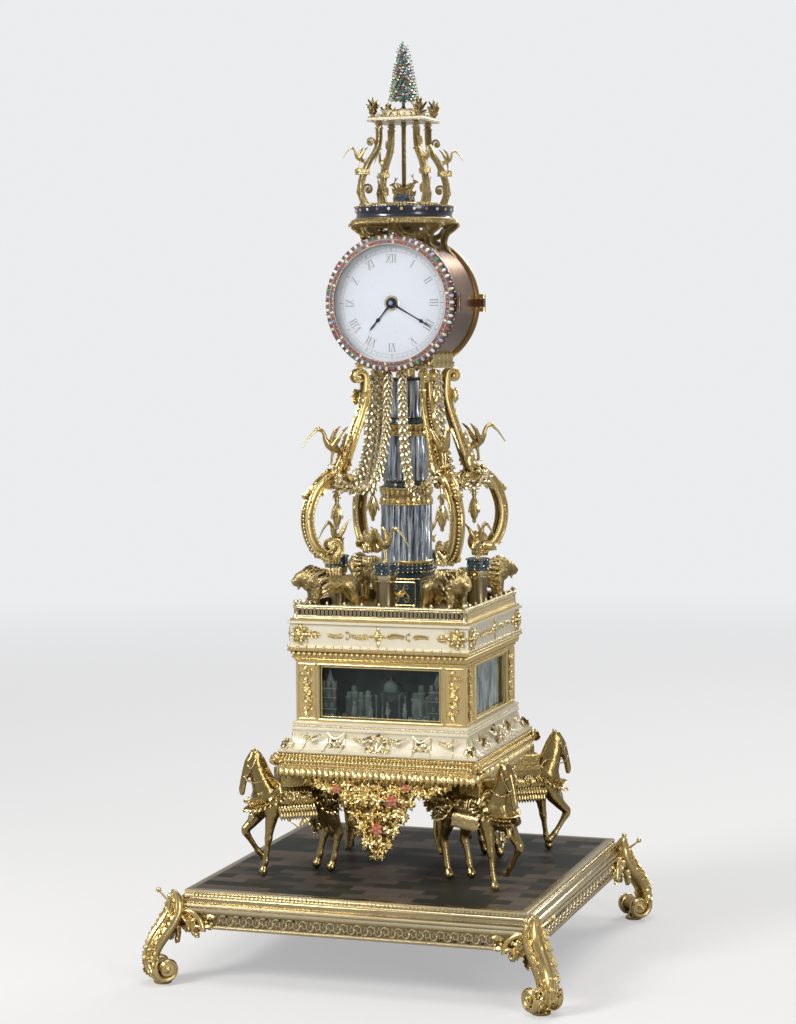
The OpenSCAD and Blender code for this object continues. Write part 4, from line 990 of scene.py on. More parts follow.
def aprons():
    gold, coral = bmesh.new(), bmesh.new()
    floor = top_of("apron_garlands")
    face = -box("apron_garlands")[0].y - 4.6
    rng = random.Random(5)
    blossom = [pattern(flower, r=6, petals=n) for n in (5, 6, 8)]
    for i, half in enumerate((96, 50, 96, 50)):
        backing = pattern(sheet_of, 2, 40, lambda u, v, h=half: Vector((
            h * (2 * u - 1), -(1 - v) * (12 + 76 * max(0, 1 - abs(2 * u - 1) * h / 50) ** 0.8), 0)))
        stamp(gold, backing, quarter(i) @ on_front(0, face - 0.4, floor))
        rod = pattern(swept, [(-half, -1.6, 0, 1.8), (half, -1.6, 0, 1.8)], around=8)
        stamp(gold, rod, quarter(i) @ on_front(0, face, floor))
        for n, (x, y, size) in enumerate(apron_spots(half)):
            here = quarter(i) @ on_front(x, face, floor + y)
            red = n % 7 == 2 or (y < -28 and abs(x) < 8 and y > -60)
            stamp(coral if red else gold, rng.choice(blossom),
                  here @ place(0, 0, 2.2, turn=rng.uniform(0, 60), roll=rng.uniform(-18, 18),
                               size=size / 6.2 * (0.78 if red else 1)))
            for k in range(6):
                a = 60 * k + rng.uniform(-20, 20)
                stamp(gold, LEAF, here @ place(2.2 * math.cos(math.radians(a)),
                        2.2 * math.sin(math.radians(a)), 0.4, turn=a, tilt=-rng.uniform(4, 22),
                        size=size / 21))
            for k in range(3):
                a = rng.uniform(0, math.tau)
                stamp(gold, SMALL_BEAD, here @ place(size * 0.8 * math.cos(a), size * 0.8 * math.sin(a),
                        1.6, size=rng.uniform(1.1, 1.9)))
        for x in range(-int(half) + 4, int(half), 9):
            stamp(gold, LEAF, quarter(i) @ on_front(x, face + 0.5, floor - 4, -90 + rng.uniform(-25, 25),
                    0.6))
    piece(coral, "coral_flowers", "tower", "figure_paint",
          paint("coral lacquer", (0.46, 0.075, 0.03), (0.62, 0.17, 0.07), 0.35))
    return piece(gold, "flower_aprons", "tower", "gilt_bronze", gilt, "apron_garlands", sharp=60)


aprons()


# %% White cove with its gilt ribs and mounts
def cove():
    bm = bmesh.new()
    low, high = foot_of("cove_panels"), top_of("cove_panels")
    case = reach_of("window_frame")
    inner = case - 6
    shelf = high - 11
    curve = [(case + 3 + 16 * (1 - math.sin(math.radians(a))),
              low + 2 + (shelf - low - 4) * (1 - math.cos(math.radians(a)))) for a in range(0, 91, 6)]
    squared(bm, [(inner, low), (case + 19, low)] + curve + [
        (case + 4, shelf), (case + 5, shelf + 0.8), (case + 5, shelf + 3), (case + 3.4, shelf + 4.2),
        (case + 3.4, shelf + 7), (case + 4.6, shelf + 8), (case + 4.6, high - 1), (case + 2, high),
        (inner + 3, high), (inner + 3, high - 3), (inner, high - 3), (inner, low)])
    piece(bm, "cove_enamel", "tower", "white_panel", white_enamel, "cove_panels", sharp=30)
    mounts = bmesh.new()
    for x in (-case - 2, -case + 16, -66, -44, 44, 66, case - 16, case + 2):
        rib = pattern(swept, [(x * (1 + 0.06 * (d - case) / 20), -d - 0.4, z, 0.9) for d, z in curve],
                      around=6)
        stamp(mounts, rib, *sides(place()))
    bow = pattern(swept, smooth_path([(-66, 0, 0, 0.8), (-55, -8, 0, 1.1), (-44, 0, 0, 0.8)], 6), around=6)
    lean = 32
    for x in (-22, 88, -88, 22):
        where = on_front(x, case + 7.5, low + 21, 0, 0.9, lean)
        stamp(mounts, SWAG, *sides(where @ place(size=0.72)))
    for side in (-1, 1):
        stamp(mounts, FAN, *sides(on_front(side * 55, case + 10, low + 9, 0, 1.15, lean)),
              *sides(on_front(side * 55, case + 8, low + 14, 180, 0.7, lean)))
        stamp(mounts, ROSETTE, *sides(on_front(side * 55, case + 10.5, low + 12, 0, 0.85, lean)),
              *sides(on_front(side * 47, case + 11.5, low + 9, 0, 0.5, lean)),
              *sides(on_front(side * 63, case + 11.5, low + 9, 0, 0.5, lean)))
        stamp(mounts, bow, *sides(on_front(0 if side < 0 else 110, case + 6.5, shelf - 1, 0, 1, lean)))
        stamp(mounts, WIDE_FAN, *sides(on_front(side * (case + 8), case + 13, low + 6, side * -20, 1.25,
                lean)))
    trophy(mounts, case, low, lean)
    # Egg row on the shelf over the cove
    row(mounts, pattern(egg, r=1.5, length=1.1), case + 2, 4.4,
        lambda x: place(x, -(case + 3.8), shelf + 5.6))
    return piece(mounts, "cove_mounts", "tower", "gilt_bronze", pale_gilt, sharp=50)


def trophy(bm, case, low, lean):
    """A shield between a lute, a horn, a quiver and crossed flutes."""
    shield = pattern(sheet_of, 6, 8, lambda u, v: Vector((
        6.5 * (2 * u - 1) * (1 - 0.75 * max(0, 0.45 - v) ** 1.2 * 2), 9 * (2 * v - 1),
        2.6 - 2.4 * (2 * u - 1) ** 2 - 0.8 * (2 * v - 1) ** 2)))
    for i in range(4):
        def at(x, y, turn=0.0, size=1.0, up=0.0):
            return quarter(i) @ on_front(0, case + 10, low + 12, 0, 1, lean) @ place(x, y, up, turn=turn,
                    size=size)
        stamp(bm, shield, at(0, 0, 0, 1.05, 0.6))
        stamp(bm, ROSETTE, at(0, 1.5, 0, 0.55, 3))
        for side in (-1, 1):
            pole = pattern(swept, [(0, -13, 0, 0.5), (0, 8, 0, 0.5), (0, 13, 0, 0.9), (0, 14.5, 0, 0.3)],
                           around=6)
            stamp(bm, pole, at(0, 0, side * 42, 1, 0.5), at(0, 0, side * 62, 0.95, 0.2),
                  at(0, -1, side * 22, 0.95, 0.2))
            stamp(bm, EGG, at(side * 10, -5, side * 50, 1.7, 1))
            stamp(bm, FAN, at(side * 9, 5, side * -50, 0.75), at(side * 10, -7, side * -110, 0.7))
            stamp(bm, BEAD, at(side * 13, 0, 0, 1.3, 1), at(side * 6, 10, 0, 1.1, 1))
        stamp(bm, FAN, at(0, 8, 0, 0.7, 0.5), at(0, -8, 180, 0.8, 0.5))


cove()

# %% [markdown]
# ## Window and its scene
#
# The box keeps its CAD posts, and gets a bright fillet round each sight and a pilaster of
# scrolls and flowers on each post. Behind the glass a castle stands in front of a painted
# sky, and five walkers cross the stage on their slide.

# %% Fillets and pilasters
CASE = reach_of("window_frame")
SILL, HEAD = foot_of("window_frame"), top_of("window_frame")
# Half the width of the opening on each side, and half the height of a side
SIGHTS = [79.0, 68.0, 79.0, 68.0]
HALF_SIDE = 37.5


def border(bm, x0, x1, y0, y1, r):
    """A round bar along the four edges of a rectangle, with a bead on each corner."""
    corners = [(x0, y0), (x1, y0), (x1, y1), (x0, y1)]
    for (ax, ay), (bx, by) in zip(corners, corners[1:] + corners[:1]):
        swept(bm, [(ax, ay, 0, r), (bx, by, 0, r)], around=8)
        stamp(bm, SMALL_BEAD, place(ax, ay, 0, size=r * 1.3))


def window_mounts():
    bm = bmesh.new()
    middle = (SILL + HEAD) / 2
    for i, sight in enumerate(SIGHTS):
        side = quarter(i)
        if i != 2:
            stamp(bm, pattern(border, -sight - 0.8, sight + 0.8, 3.2 - HALF_SIDE, 71.8 - HALF_SIDE, 1.7),
                  side @ on_front(0, CASE + 0.4, middle))
            stamp(bm, pattern(border, -sight + 2.4, sight - 2.4, 6.4 - HALF_SIDE, 68.6 - HALF_SIDE, 0.9),
                  side @ on_front(0, CASE - 1.5, middle))
        width = CASE - sight
        for s in (-1, 1):
            # Behind, the pilasters stand further out, clear of the rear door
            x = s * (sight + width / 2 + (3.5 if i == 2 else 1))
            at = side @ on_front(x, CASE + 0.5, middle)
            stamp(bm, pattern(border, -width / 2 + 4.6, width / 2 - 4.2, -34, 34, 0.9), at)
            half = at @ mirror(s)
            stamp(bm, S_SCROLL, half @ place(-2, 17, 0.3, size=0.86),
                  half @ place(-2, -17, 0.3, turn=180, size=0.86))
            stamp(bm, ROSETTE, at @ place(0, 0, 0.6, size=0.95), at @ place(0, 30, 0.4, size=0.4),
                  at @ place(0, -30, 0.4, size=0.4))
            stamp(bm, FAN, at @ place(0, 4, 0.2, size=0.62), at @ place(0, -4, 0.2, turn=180, size=0.62),
                  at @ place(s * 5, 20, 0.2, turn=s * -60, size=0.5),
                  at @ place(-s * 5, -20, 0.2, turn=180 - s * 60, size=0.5))
            stamp(bm, SMALL_BEAD, *[at @ place(s * 6 * q, 12 * p, 1, size=1.2) for p in (-1, 1)
                    for q in (-1, 0.4)])
            stamp(bm, ROSETTE, at @ place(2, 22, 1, size=0.5), at @ place(-2, 10, 1, size=0.55),
                  at @ place(2, -10, 1, size=0.55), at @ place(-2, -22, 1, size=0.5))
            stamp(bm, LEAF, *[at @ place(0, 7 * k - 29, 0.5, turn=90 + 44 * (-1) ** k, size=0.44)
                              for k in range(9)])
    return piece(bm, "window_mounts", "tower", "gilt_bronze", gilt, sharp=45)


window_mounts()
keep("window_frame", gilding("matted gilding", (0.95, 0.76, 0.40), (0.66, 0.46, 0.18), (0.2, 0.12, 0.04),
        rough=0.34, grain=0.0003))
keep("rear_door", gilt)

# %% Castle and walkers
STONE = paint("castle paint", (0.11, 0.135, 0.135), (0.34, 0.36, 0.33))
# Painted shade: the scenery is painted near black for the shade inside the closed case
keep("scenery", paint("scenery in painted shade", (0.018, 0.026, 0.028), (0.055, 0.068, 0.07)))


def castle():
    bm = bmesh.new()
    stage = foot_of("window_glass") - 1
    stone = pattern(bead, r=1, fine=1)
    for s in (-1, 1):
        x, front = s * 70, -(CASE - 9.5)
        for z in (0, 14, 28, 39.5):
            bar = pattern(swept, [(-9.6, 0, 0, 0.7), (9.6, 0, 0, 0.7)], around=6)
            stamp(bm, bar, place(x, front, stage + z + 1))
        for px, z in ((-4, 20), (4, 20), (0, 33), (-4, 7), (4, 7)):
            arch = pattern(turned, [(1.7, 0), (1.7, 0.8), (1.0, 0.8), (1.0, 0)], steps=12)
            stamp(bm, arch, place(x + px, front + 0.2, stage + z, roll=90, size=(1, 1.6, 1)))
        spire = pattern(turned, [(5.2, 0), (5.6, 0.6), (5, 1.2), (3.4, 6), (1.4, 12), (0.5, 15), (0, 17)],
                        steps=20)
        stamp(bm, spire, place(x, front + 5, stage + 49, size=(1, 0.5, 0.9)))
    back = -62.0
    dome = pattern(turned, [(9, 0), (9.6, 1), (9, 2), (8.4, 2.4), (8.6, 6), (7.4, 10), (4.6, 13),
            (1.2, 14.6), (1, 18), (0, 19)], steps=24)
    stamp(bm, dome, place(0, back - 4.5, stage + 34, size=(1.1, 0.35, 1)))
    for x, tall in ((-19, 30), (-11, 32), (11, 32), (19, 30)):
        column = pattern(turned, [(1.8, 0), (1.8, 1.5), (1.2, 2.2), (1.05, tall - 3), (1.8, tall - 2),
                (1.8, tall)], steps=12)
        stamp(bm, column, place(x, back - 5, stage))
    for k, (x, tall) in enumerate(((-56, 24), (-49, 30), (-40, 20), (-31, 26), (31, 24), (39, 32), (48, 22),
            (57, 29))):
        wall = pattern(turned, [(4.4, 0), (4.4, tall), (5.2, tall + 0.4), (5.2, tall + 2.6),
                (3.8, tall + 2.6), (3.2, tall + 7 + k % 3 * 2), (0, tall + 9 + k % 3 * 2)], steps=8)
        stamp(bm, wall, place(x, back - 2.4, stage, size=(1, 0.6, 1), turn=22.5))
    for k in range(40):
        x = -74 + 3.8 * k
        if abs(x) > 24:
            tuft = 2.4 + 1.6 * math.sin(k * 2.3)
            stamp(bm, stone, place(x, back - 5, stage + tuft * 0.8, size=(2.6, 1.4, tuft)))
    return piece(bm, "castle_details", "tower", "scenery_paint", STONE, sharp=30)


castle()


def walker(bm, stride=1.0, hat=0):
    """One walker, 25 mm tall, who walks to the right with a staff."""
    coat = [(0, 7), (3.4, 7), (3.8, 7.4), (3.2, 11), (2.4, 15), (2.8, 18), (1.7, 20), (1.1, 21), (0, 21)]
    turned(bm, coat, 14)
    for s in (-1, 1):
        swept(bm, [(0, s * 1.3, 8, 1.3), (s * 1.6 * stride, s * 1.4, 4, 1.1),
                   (s * 2.4 * stride, s * 1.4, 0.8, 0.9), (s * 2.4 * stride + 1.6, s * 1.4, 0.6, 0.8)],
              around=6)
        swept(bm, [(0, s * 2.4, 18.4, 1.2), (s * -1.2 * stride, s * 3.4, 14.6, 1.0),
                   (s * -2.6 * stride + 2, s * 3.2, 12, 0.8)], around=6)
    head = pattern(bead, r=2.1, fine=2)
    stamp(bm, head, place(0.3, 0, 22.6))
    brim = pattern(turned, [(0, 0), (3.2, 0), (3.2, 0.5), (1.9, 0.8), (1.7, 2.4 + hat), (0, 3 + hat)],
                   steps=12)
    stamp(bm, brim, place(0.2, 0, 23.8))


def walkers():
    bm = bmesh.new()
    low, high = box("procession")
    middle = (low + high) / 2
    half = (high.x - low.x) / 2
    tracks = pattern(swept, [(-half + 1, 0, 0, 1.5), (half - 1, 0, 0, 1.5)], around=8)
    stamp(bm, tracks, place(0, middle.y, low.z + 1.5, size=(1, 2.4, 0.9)))
    for i in range(-2, 3):
        made = pattern(walker, stride=1 if i % 2 else -0.7, hat=(i + 2) % 3 * 0.8)
        tall = (high.z - low.z - 3.2) / (26.8 + 1.6)
        stamp(bm, made, place(22 * i, middle.y, low.z + 2.6, turn=(0, 12, -8, 20, 0)[i + 2],
                size=tall * 0.98))
        staff = pattern(swept, [(0, 0, 0, 0.35), (0, 0, 20 * tall, 0.35)], around=5)
        stamp(bm, staff, place(22 * i + 3.4, middle.y - 2.4, low.z + 2.6))
    return piece(bm, "walkers", "procession", "figure_paint",
                 paint("walkers' coats", (0.16, 0.2, 0.2), (0.42, 0.44, 0.40), 0.5, 90), "procession",
                 sharp=50)


walkers()

# %% [markdown]
# ## Cornice and gallery
#
# A band of standing leaves carries a row of bright balls, then comes the white frieze with its
# rosette and laurels, and the pierced gallery runs round the top.


# %% Cornice
def laurel(bm, length=22.0):
    """A sprig along X with paired leaves that get smaller."""
    swept(bm, smooth_path([(0, 0, 0, 0.6), (length * 0.5, 1.6, 0, 0.5), (length, 0.4, 0, 0.3)], 4), around=6)
    for k in range(8):
        x = length * (k + 0.6) / 8
        y = 1.6 * math.sin(math.pi * x / length)
        stamp(bm, LEAF, place(x, y, 0.4, turn=38, size=0.26 - 0.012 * k),
              place(x, y, 0.4, turn=-38, size=0.26 - 0.012 * k))
        if k % 2:
            stamp(bm, SMALL_BEAD, place(x - 1, y + 2.4, 0.6, size=0.8), place(x - 1, y - 2.4, 0.6, size=0.8))


def cornice():
    white, gold = bmesh.new(), bmesh.new()
    z, top = foot_of("cornice"), top_of("cornice")
    c = reach_of("cornice") - 3
    inner = CASE - 5
    squared(white, [(inner, z + 17), (c + 1.5, z + 17), (c + 2.6, z + 18), (c + 2.2, z + 19.5), (c, z + 21),
                    (c, top - 3.6), (c + 1, top - 3), (c + 3, top - 2.4), (c + 3, top), (inner, top),
                    (inner, z + 17)])
    squared(gold, [(inner, z), (CASE, z), (CASE + 1.6, z + 0.6), (CASE + 1.6, z + 2), (CASE + 0.4, z + 2.6),
                   (c - 3.4, z + 5), (c - 3, z + 8), (c - 1.2, z + 11), (c + 1.6, z + 13),
                   (c + 3, z + 13.6), (c + 3, z + 15.6), (c + 1.8, z + 16.4), (c + 1.8, z + 17.4),
                   (inner, z + 17.4), (inner, z)])
    piece(white, "cornice_enamel", "tower", "white_panel", white_enamel, "cornice", sharp=30)
    ball = pattern(bead, r=2.1, fine=2)
    row(gold, ball, c + 1, 11.4, lambda x: place(x, -(c + 1.4), z + 19.2))
    row(gold, LEAF, c - 3, 6.9, lambda x: on_front(x, c - 3.2, z + 3.4, 90, (0.46, 0.62, 0.5), -14))
    row(gold, SMALL_BEAD, CASE, 3.1, lambda x: place(x, -(CASE + 1.7), z + 1.3, size=0.9))
    face, mid = c + 0.2, (z + 21 + top - 3) / 2
    sprig = pattern(laurel)
    for s in (-1, 1):
        def at(x, y=0.0, turn=0.0, size=1.0, up=0.0):
            return [where @ place(z=up, turn=turn, size=size) for where in
                    sides(on_front(s * x, face, mid + y))]
        stamp(gold, sprig, *at(11, 0, 0 if s > 0 else 180))
        stamp(gold, sprig, *at(44, 0, 0 if s > 0 else 180, 0.9))
        stamp(gold, C_SCROLL, *at(40, 0, 90 + 90 * s, 0.42, 0.3))
        stamp(gold, ROSETTE, *at(101, 0, 0, 1.15, 3.4))
        for k in range(8):
            stamp(gold, BROAD_LEAF, *[w @ place(turn=45 * k) @ place(3.4, 0, 1.4, size=0.46)
                    for w in sides(on_front(s * 101, face, mid))])
        stamp(gold, FAN, *at(88, 0, 90 * s, 0.85), *at(82, 0, 90 * s, 0.7, 0.4))
    stamp(gold, ROSETTE, *sides(on_front(0, face, mid, 0, 1.05)))
    for k in range(4):
        stamp(gold, LEAF, *sides(on_front(0, face, mid) @ place(turn=90 * k) @ place(4.2, 0, 0.2, size=0.42)))
    return piece(gold, "cornice_mounts", "tower", "gilt_bronze", gilt, sharp=45)


cornice()
keep("case_top", gilt)


# %% Pierced gallery
def gallery():
    bm = bmesh.new()
    z = foot_of("gallery")
    out = reach_of("cornice") - 6
    rail = z + 16.2
    ring = pattern(swept, hoop(3.8, 0, 0.85, 16), around=6, flat=1.4)
    # Inside the posts the rings overlap by half, which reads as an interlace
    row(bm, ring, out - 10, 5.2, lambda x: on_front(x, out - 1.5, z + 8.4))
    for level, r in ((z + 1.3, 1.3), (z + 3.4, 0.6), (z + 13.4, 0.6), (rail - 0.4, 1.25)):
        bar = pattern(swept, [(-out + 4, 0, 0, r), (out - 4, 0, 0, r)], around=8)
        stamp(bm, bar, *sides(place(0, -(out - 1.5), level, size=(1, 1.15, 1))))
    row(bm, SMALL_BEAD, out - 8, 3.4, lambda x: place(x, -(out - 1.5), rail + 0.7, size=0.9))
    finial = pattern(turned, [(1.4, 0), (1.7, 0.6), (0.8, 1.4), (1.9, 3), (1.4, 4.6), (0.5, 5.4), (0, 6)],
                     steps=10)
    row(bm, finial, out - 22, 22, lambda x: place(x, -(out - 1.5), rail))
    post = pattern(turned, [(3.8, 0), (3.8, 2), (2.6, 3), (2.4, 12), (3.6, 13.4), (3.8, 16.4), (2, 17.2),
            (1.4, 18), (3.2, 19.4), (3.6, 21), (2.4, 22.6), (0, 23)], steps=16)
    stamp(bm, post, *[diagonal(i) @ place((out - 3) * math.sqrt(2), 0, z) for i in range(4)])
    # Painted shade: a dark strip set behind the rings, where the space behind the gallery lies in shade
    back = bmesh.new()
    squared(back, [(out - 4.4, z + 1), (out - 3.5, z + 1), (out - 3.5, z + 14.6), (out - 4.4, z + 14.6),
                   (out - 4.4, z + 1)])
    shade = gilding("painted shade strip", (0.17, 0.135, 0.08), (0.055, 0.045, 0.028), (0.018, 0.015, 0.01), 0.5,
                    0.0004)
    piece(back, "gallery_shade_strip", "tower", "gilt_bronze", shade)
    return piece(bm, "interlaced_gallery", "tower", "gilt_bronze", pale_gilt, "gallery", sharp=50)


gallery()

# %% [markdown]
# ## Lions, cranes and pedestals
#
# The lions carry the scroll legs on their backs, so the block on each back has to end flush
# under its leg. The lion's skin is therefore fitted to the CAD node's box as the horses are.
# A crane's legs and beak are thinner than two voxels, so they are bars and only the body is wax.

# %% Lions
LION = [
    [(22, 0, 41, 13.5), (5, 0, 42, 12), (-10, 0, 41, 11.4), (-22, 0, 42, 12.4)],
    [(28, 0, 46, 14), (33, 0, 51, 12)],
    [(37, 0, 54, 8.8), (43, 0, 52, 7.6), (47, 0, 49, 5.6), (50, 0, 47.5, 4.4)],
    [(45, 0, 45.5, 4.4), (49, 0, 44, 3.4)],
    [(44, 0, 42, 2.6), (45, 0, 37, 1.6)],
    [(-30, 0, 44, 3.2), (-37, 0, 38, 2.6), (-39, 0, 27, 2.2), (-36, 0, 18, 3), (-33, 0, 13, 4.4),
     (-32, 0, 9, 3)],
]
LION += both([
    [(35, 6.4, 61, 3), (34, 6.8, 62.5, 2)],
    [(46, 3.2, 55, 1.7), (45, 3.4, 53.6, 1.4)],
    [(24, 8, 37, 8), (25, 9, 24, 5.6), (25, 9, 13, 4.6), (26, 9, 5, 4.8), (30.5, 9, 3, 3.6),
     (33, 9, 2.4, 2.6)],
    [(-22, 8, 39, 9.4), (-25, 9, 27, 7), (-31, 9, 17, 4.4), (-28, 9, 7, 4.2), (-24, 9, 3.2, 4.2),
     (-20, 9, 2.6, 2.8)],
])
rng = random.Random(3)
for k in range(46):
    a = rng.uniform(-0.5, 1.15) * math.pi
    b = rng.uniform(-0.2, 1.0)
    r = 13.6 - 2 * b
    LION.append([(29 + 7 * b - 2.5, r * math.cos(a), 46 + 5 * b + r * math.sin(a) * 0.9,
                  rng.uniform(2.2, 3.4)), (26 + 7 * b - 4.5, (r + 1.4) * math.cos(a),
            43 + 5 * b + (r + 1) * math.sin(a) * 0.9, 1.4)])
lion_wax = animal(LION, 1.3, 1, [((0, 0, 56.5), (18, 18, 17))])
chased_gilt = gilding("chased gilding", (0.90, 0.74, 0.40), (0.53, 0.40, 0.18), (0.08, 0.05, 0.015), 0.26,
        0.0034, 330)


def locks(bm):
    """Locks of the mane in rings round the neck, which fall back over the shoulders."""
    for ring in range(5):
        x, z, r = 37 - 4.6 * ring, 53 - 3.4 * ring, 9.4 + 1.5 * ring
        for k in range(13):
            a = math.tau * (k + 0.5 * (ring % 2)) / 13
            where = Matrix.Translation((x, r * math.cos(a), z + r * math.sin(a))) @ place(tilt=28)
            stamp(bm, LEAF, where @ Matrix.Rotation(a, 4, "X") @ place(turn=90) @ place(turn=90, size=0.62))
    for k in range(5):
        stamp(bm, LEAF, place(-33, 0, 14, turn=72 * k, tilt=-50, size=0.5))
    for k in range(4):
        for y in (-6, -2, 2, 6):
            stamp(bm, LEAF, quarter(k) @ place(8.8, y, 52, tilt=90) @ place(turn=180, size=0.46),
                  quarter(k) @ place(8.8, y, 65, tilt=90) @ place(size=0.4))


# How far each lion stands from the axis, to the side and to the front
LION_AT = 74.25


def lions():
    bm = bmesh.new()
    floor = foot_of("pedestals")
    mane = pattern(locks)
    for right in (-1, 1):
        for rear in (-1, 1):
            where = place(right * LION_AT, rear * LION_AT, floor, size=(right, rear, 1)) @ place(turn=HEADING)
            stamp(bm, lion_wax, where)
            stamp(bm, mane, where)
    print("lions fitted by", [round(g, 3) for g in fitted(bm, "lions")])
    return piece(bm, "carrying_lions", "tower", "gilt_bronze", chased_gilt, "lions", sharp=80)


lions()

# %% Cranes
CRANE = [
    [(-8, 0, 19.5, 4.0), (-3, 0, 22, 6.2), (4, 0, 26, 5)],
    [(5, 0, 27, 4.6), (9, 0, 33, 3.2), (10, 0, 39, 2.5), (13, 0, 44, 2.4), (18, 0, 46.4, 3.0),
     (21, 0, 45.6, 2.4)],
    [(-9, 0, 18, 3.6), (-13, 0, 13.5, 2)],
]
CRANE += both([[(0, 4.4, 25, 3.8), (-5, 8, 34, 3.4), (-9, 10.8, 43, 1.9)]])
crane_wax = animal(CRANE, 1.0, 2)


def crane(bm):
    bm.from_mesh(crane_wax)
    swept(bm, [(20, 0, 46, 2.2), (30, 0, 37, 1.3), (40, 0, 24, 0.7)], around=8)
    for s in (-1, 1):
        swept(bm, [(1, s * 1.7, 0.8, 1.1), (0, s * 1.8, 12, 1.0), (-2, s * 2, 18, 2.2)], around=8)
        swept(bm, [(-2, s * 1.7, 0.7, 0.7), (5, s * 2.6, 0.7, 0.6)], around=6)
        for k in range(6):
            stamp(bm, LEAF, place(-1.5 - 1.4 * k, s * (5.4 + 1.1 * k), 27 + 3 * k, turn=180,
                    tilt=-62 + 5 * k, roll=s * 70, size=(0.52, 0.3, 0.4)))
        stamp(bm, SMALL_BEAD, place(19.5, s * 2.3, 47, size=0.7))
    for k in (-1, 0, 1):
        stamp(bm, LEAF, place(-10, 1.2 * k, 17, turn=180 + 14 * k, tilt=-38, size=(0.42, 0.34, 0.4)))
    turned(bm, [(0, 0), (5, 0), (5.2, 0.8), (4.2, 1.6), (2, 2.2), (0, 2.2)], 20)


CRANE_CAST = pattern(crane)
# Pedestals stand further out in front and behind than at the sides
PEDESTAL_AT = [94.0, 84.0]
PEDESTAL_TOP = top_of("pedestals")
# The legs' shoulders and the lyres carry a crane each, at a distance from the axis
SHOULDER = 622.0
PERCH_AT = 103.0
LYRE_PERCH = (62.0, foot_of("lyre_legs") + 45)


def cranes():
    bm = bmesh.new()
    for i in range(4):
        stamp(bm, CRANE_CAST,
              quarter(i) @ place(PEDESTAL_AT[i % 2], 0, PEDESTAL_TOP, turn=70, size=0.9),
              quarter(i) @ place(turn=45) @ place(PERCH_AT, 0, SHOULDER),
              quarter(i) @ place(turn=45) @ place(LYRE_PERCH[0], 0, LYRE_PERCH[1], size=0.55))
    print("cranes", [round(c) for c in box("cranes")[0]], [round(c) for c in box("cranes")[1]])
    return piece(bm, "crane_casts", "tower", "gilt_bronze", gilt, "cranes", sharp=70)


cranes()


# %% Enamel and pastes
def enamel(name, deep, glow, rough=0.16):
    """Dark enamel over engraving: a cell pattern shows faintly through the colour."""
    f = Finish(name, Metallic=0.0, Coat_Weight=0.8, Coat_Roughness=0.05)
    cells = f.node("TexVoronoi", {"feature": "DISTANCE_TO_EDGE"}, output="Distance",
                   Vector=f.coordinates(), Scale=260.0).between(0, 0.12)
    cloud = f.noise(50, detail=4)
    f.bump(cells, 0.0001, 0.3)
    return f.set(Base_Color=f.mix(cells * (0.35 + cloud), glow, deep), Roughness=rough + 0.2 * cloud)


def paste(name, colour, inner):
    """A cut glass stone on foil, bright through and through, with painted glints as the flashes on its
    facets.
    """
    f = Finish(name, Metallic=0.25, Coat_Weight=1.0, Coat_Roughness=0.02, IOR=1.7)
    # Painted glints: a fine noise lightens the colour in flecks
    fire = f.noise(700, detail=1)
    tone = f.mix(fire.between(0.35, 0.65), colour, inner)
    f.bump(fire, 0.00005, 0.3)
    return f.set(Base_Color=tone, Roughness=0.06 + 0.1 * fire)


dark_enamel = enamel("blue black enamel", (0.006, 0.012, 0.02), (0.03, 0.075, 0.085))
blue_enamel = enamel("blue enamel", (0.003, 0.006, 0.012), (0.010, 0.020, 0.040))
PASTES = {
    "white": paste("white pastes", (0.86, 0.88, 0.9), (1.0, 1.0, 1.0)),
    "amber": paste("amber pastes", (0.72, 0.30, 0.05), (1.0, 0.62, 0.2)),
    "rose": paste("rose pastes", (0.30, 0.035, 0.07), (0.62, 0.17, 0.22)),
    "blue": paste("blue pastes", (0.05, 0.10, 0.42), (0.25, 0.42, 0.85)),
    "green": paste("green pastes", (0.02, 0.22, 0.10), (0.18, 0.58, 0.30)),
    "lilac": paste("lilac pastes", (0.38, 0.34, 0.58), (0.78, 0.74, 0.95)),
    "straw": paste("straw pastes", (0.62, 0.52, 0.32), (1.0, 0.92, 0.70)),
}


def stone(bm, r=1.5):
    """A low brilliant: table, crown and a girdle of eight facets."""
    bmesh.ops.create_cone(bm, cap_ends=True, segments=8, radius1=r, radius2=r * 0.55, depth=r * 0.7,
            matrix=Matrix.Translation((0, 0, r * 0.35)))


STONE_CUT = pattern(stone)


class Jewels:
    """Collects stones by colour over several places, and finishes one piece for each colour."""

    def __init__(self, name, body, slot):
        self.name, self.body, self.slot = name, body, slot
        self.sets = {colour: bmesh.new() for colour in PASTES}

    def put(self, colour, *places):
        stamp(self.sets[colour], STONE_CUT, *places)

    def done(self):
        for colour, bm in self.sets.items():
            if len(bm.verts):
                piece(bm, f"{self.name}_{colour}", self.body, self.slot, PASTES[colour], sharp=5)


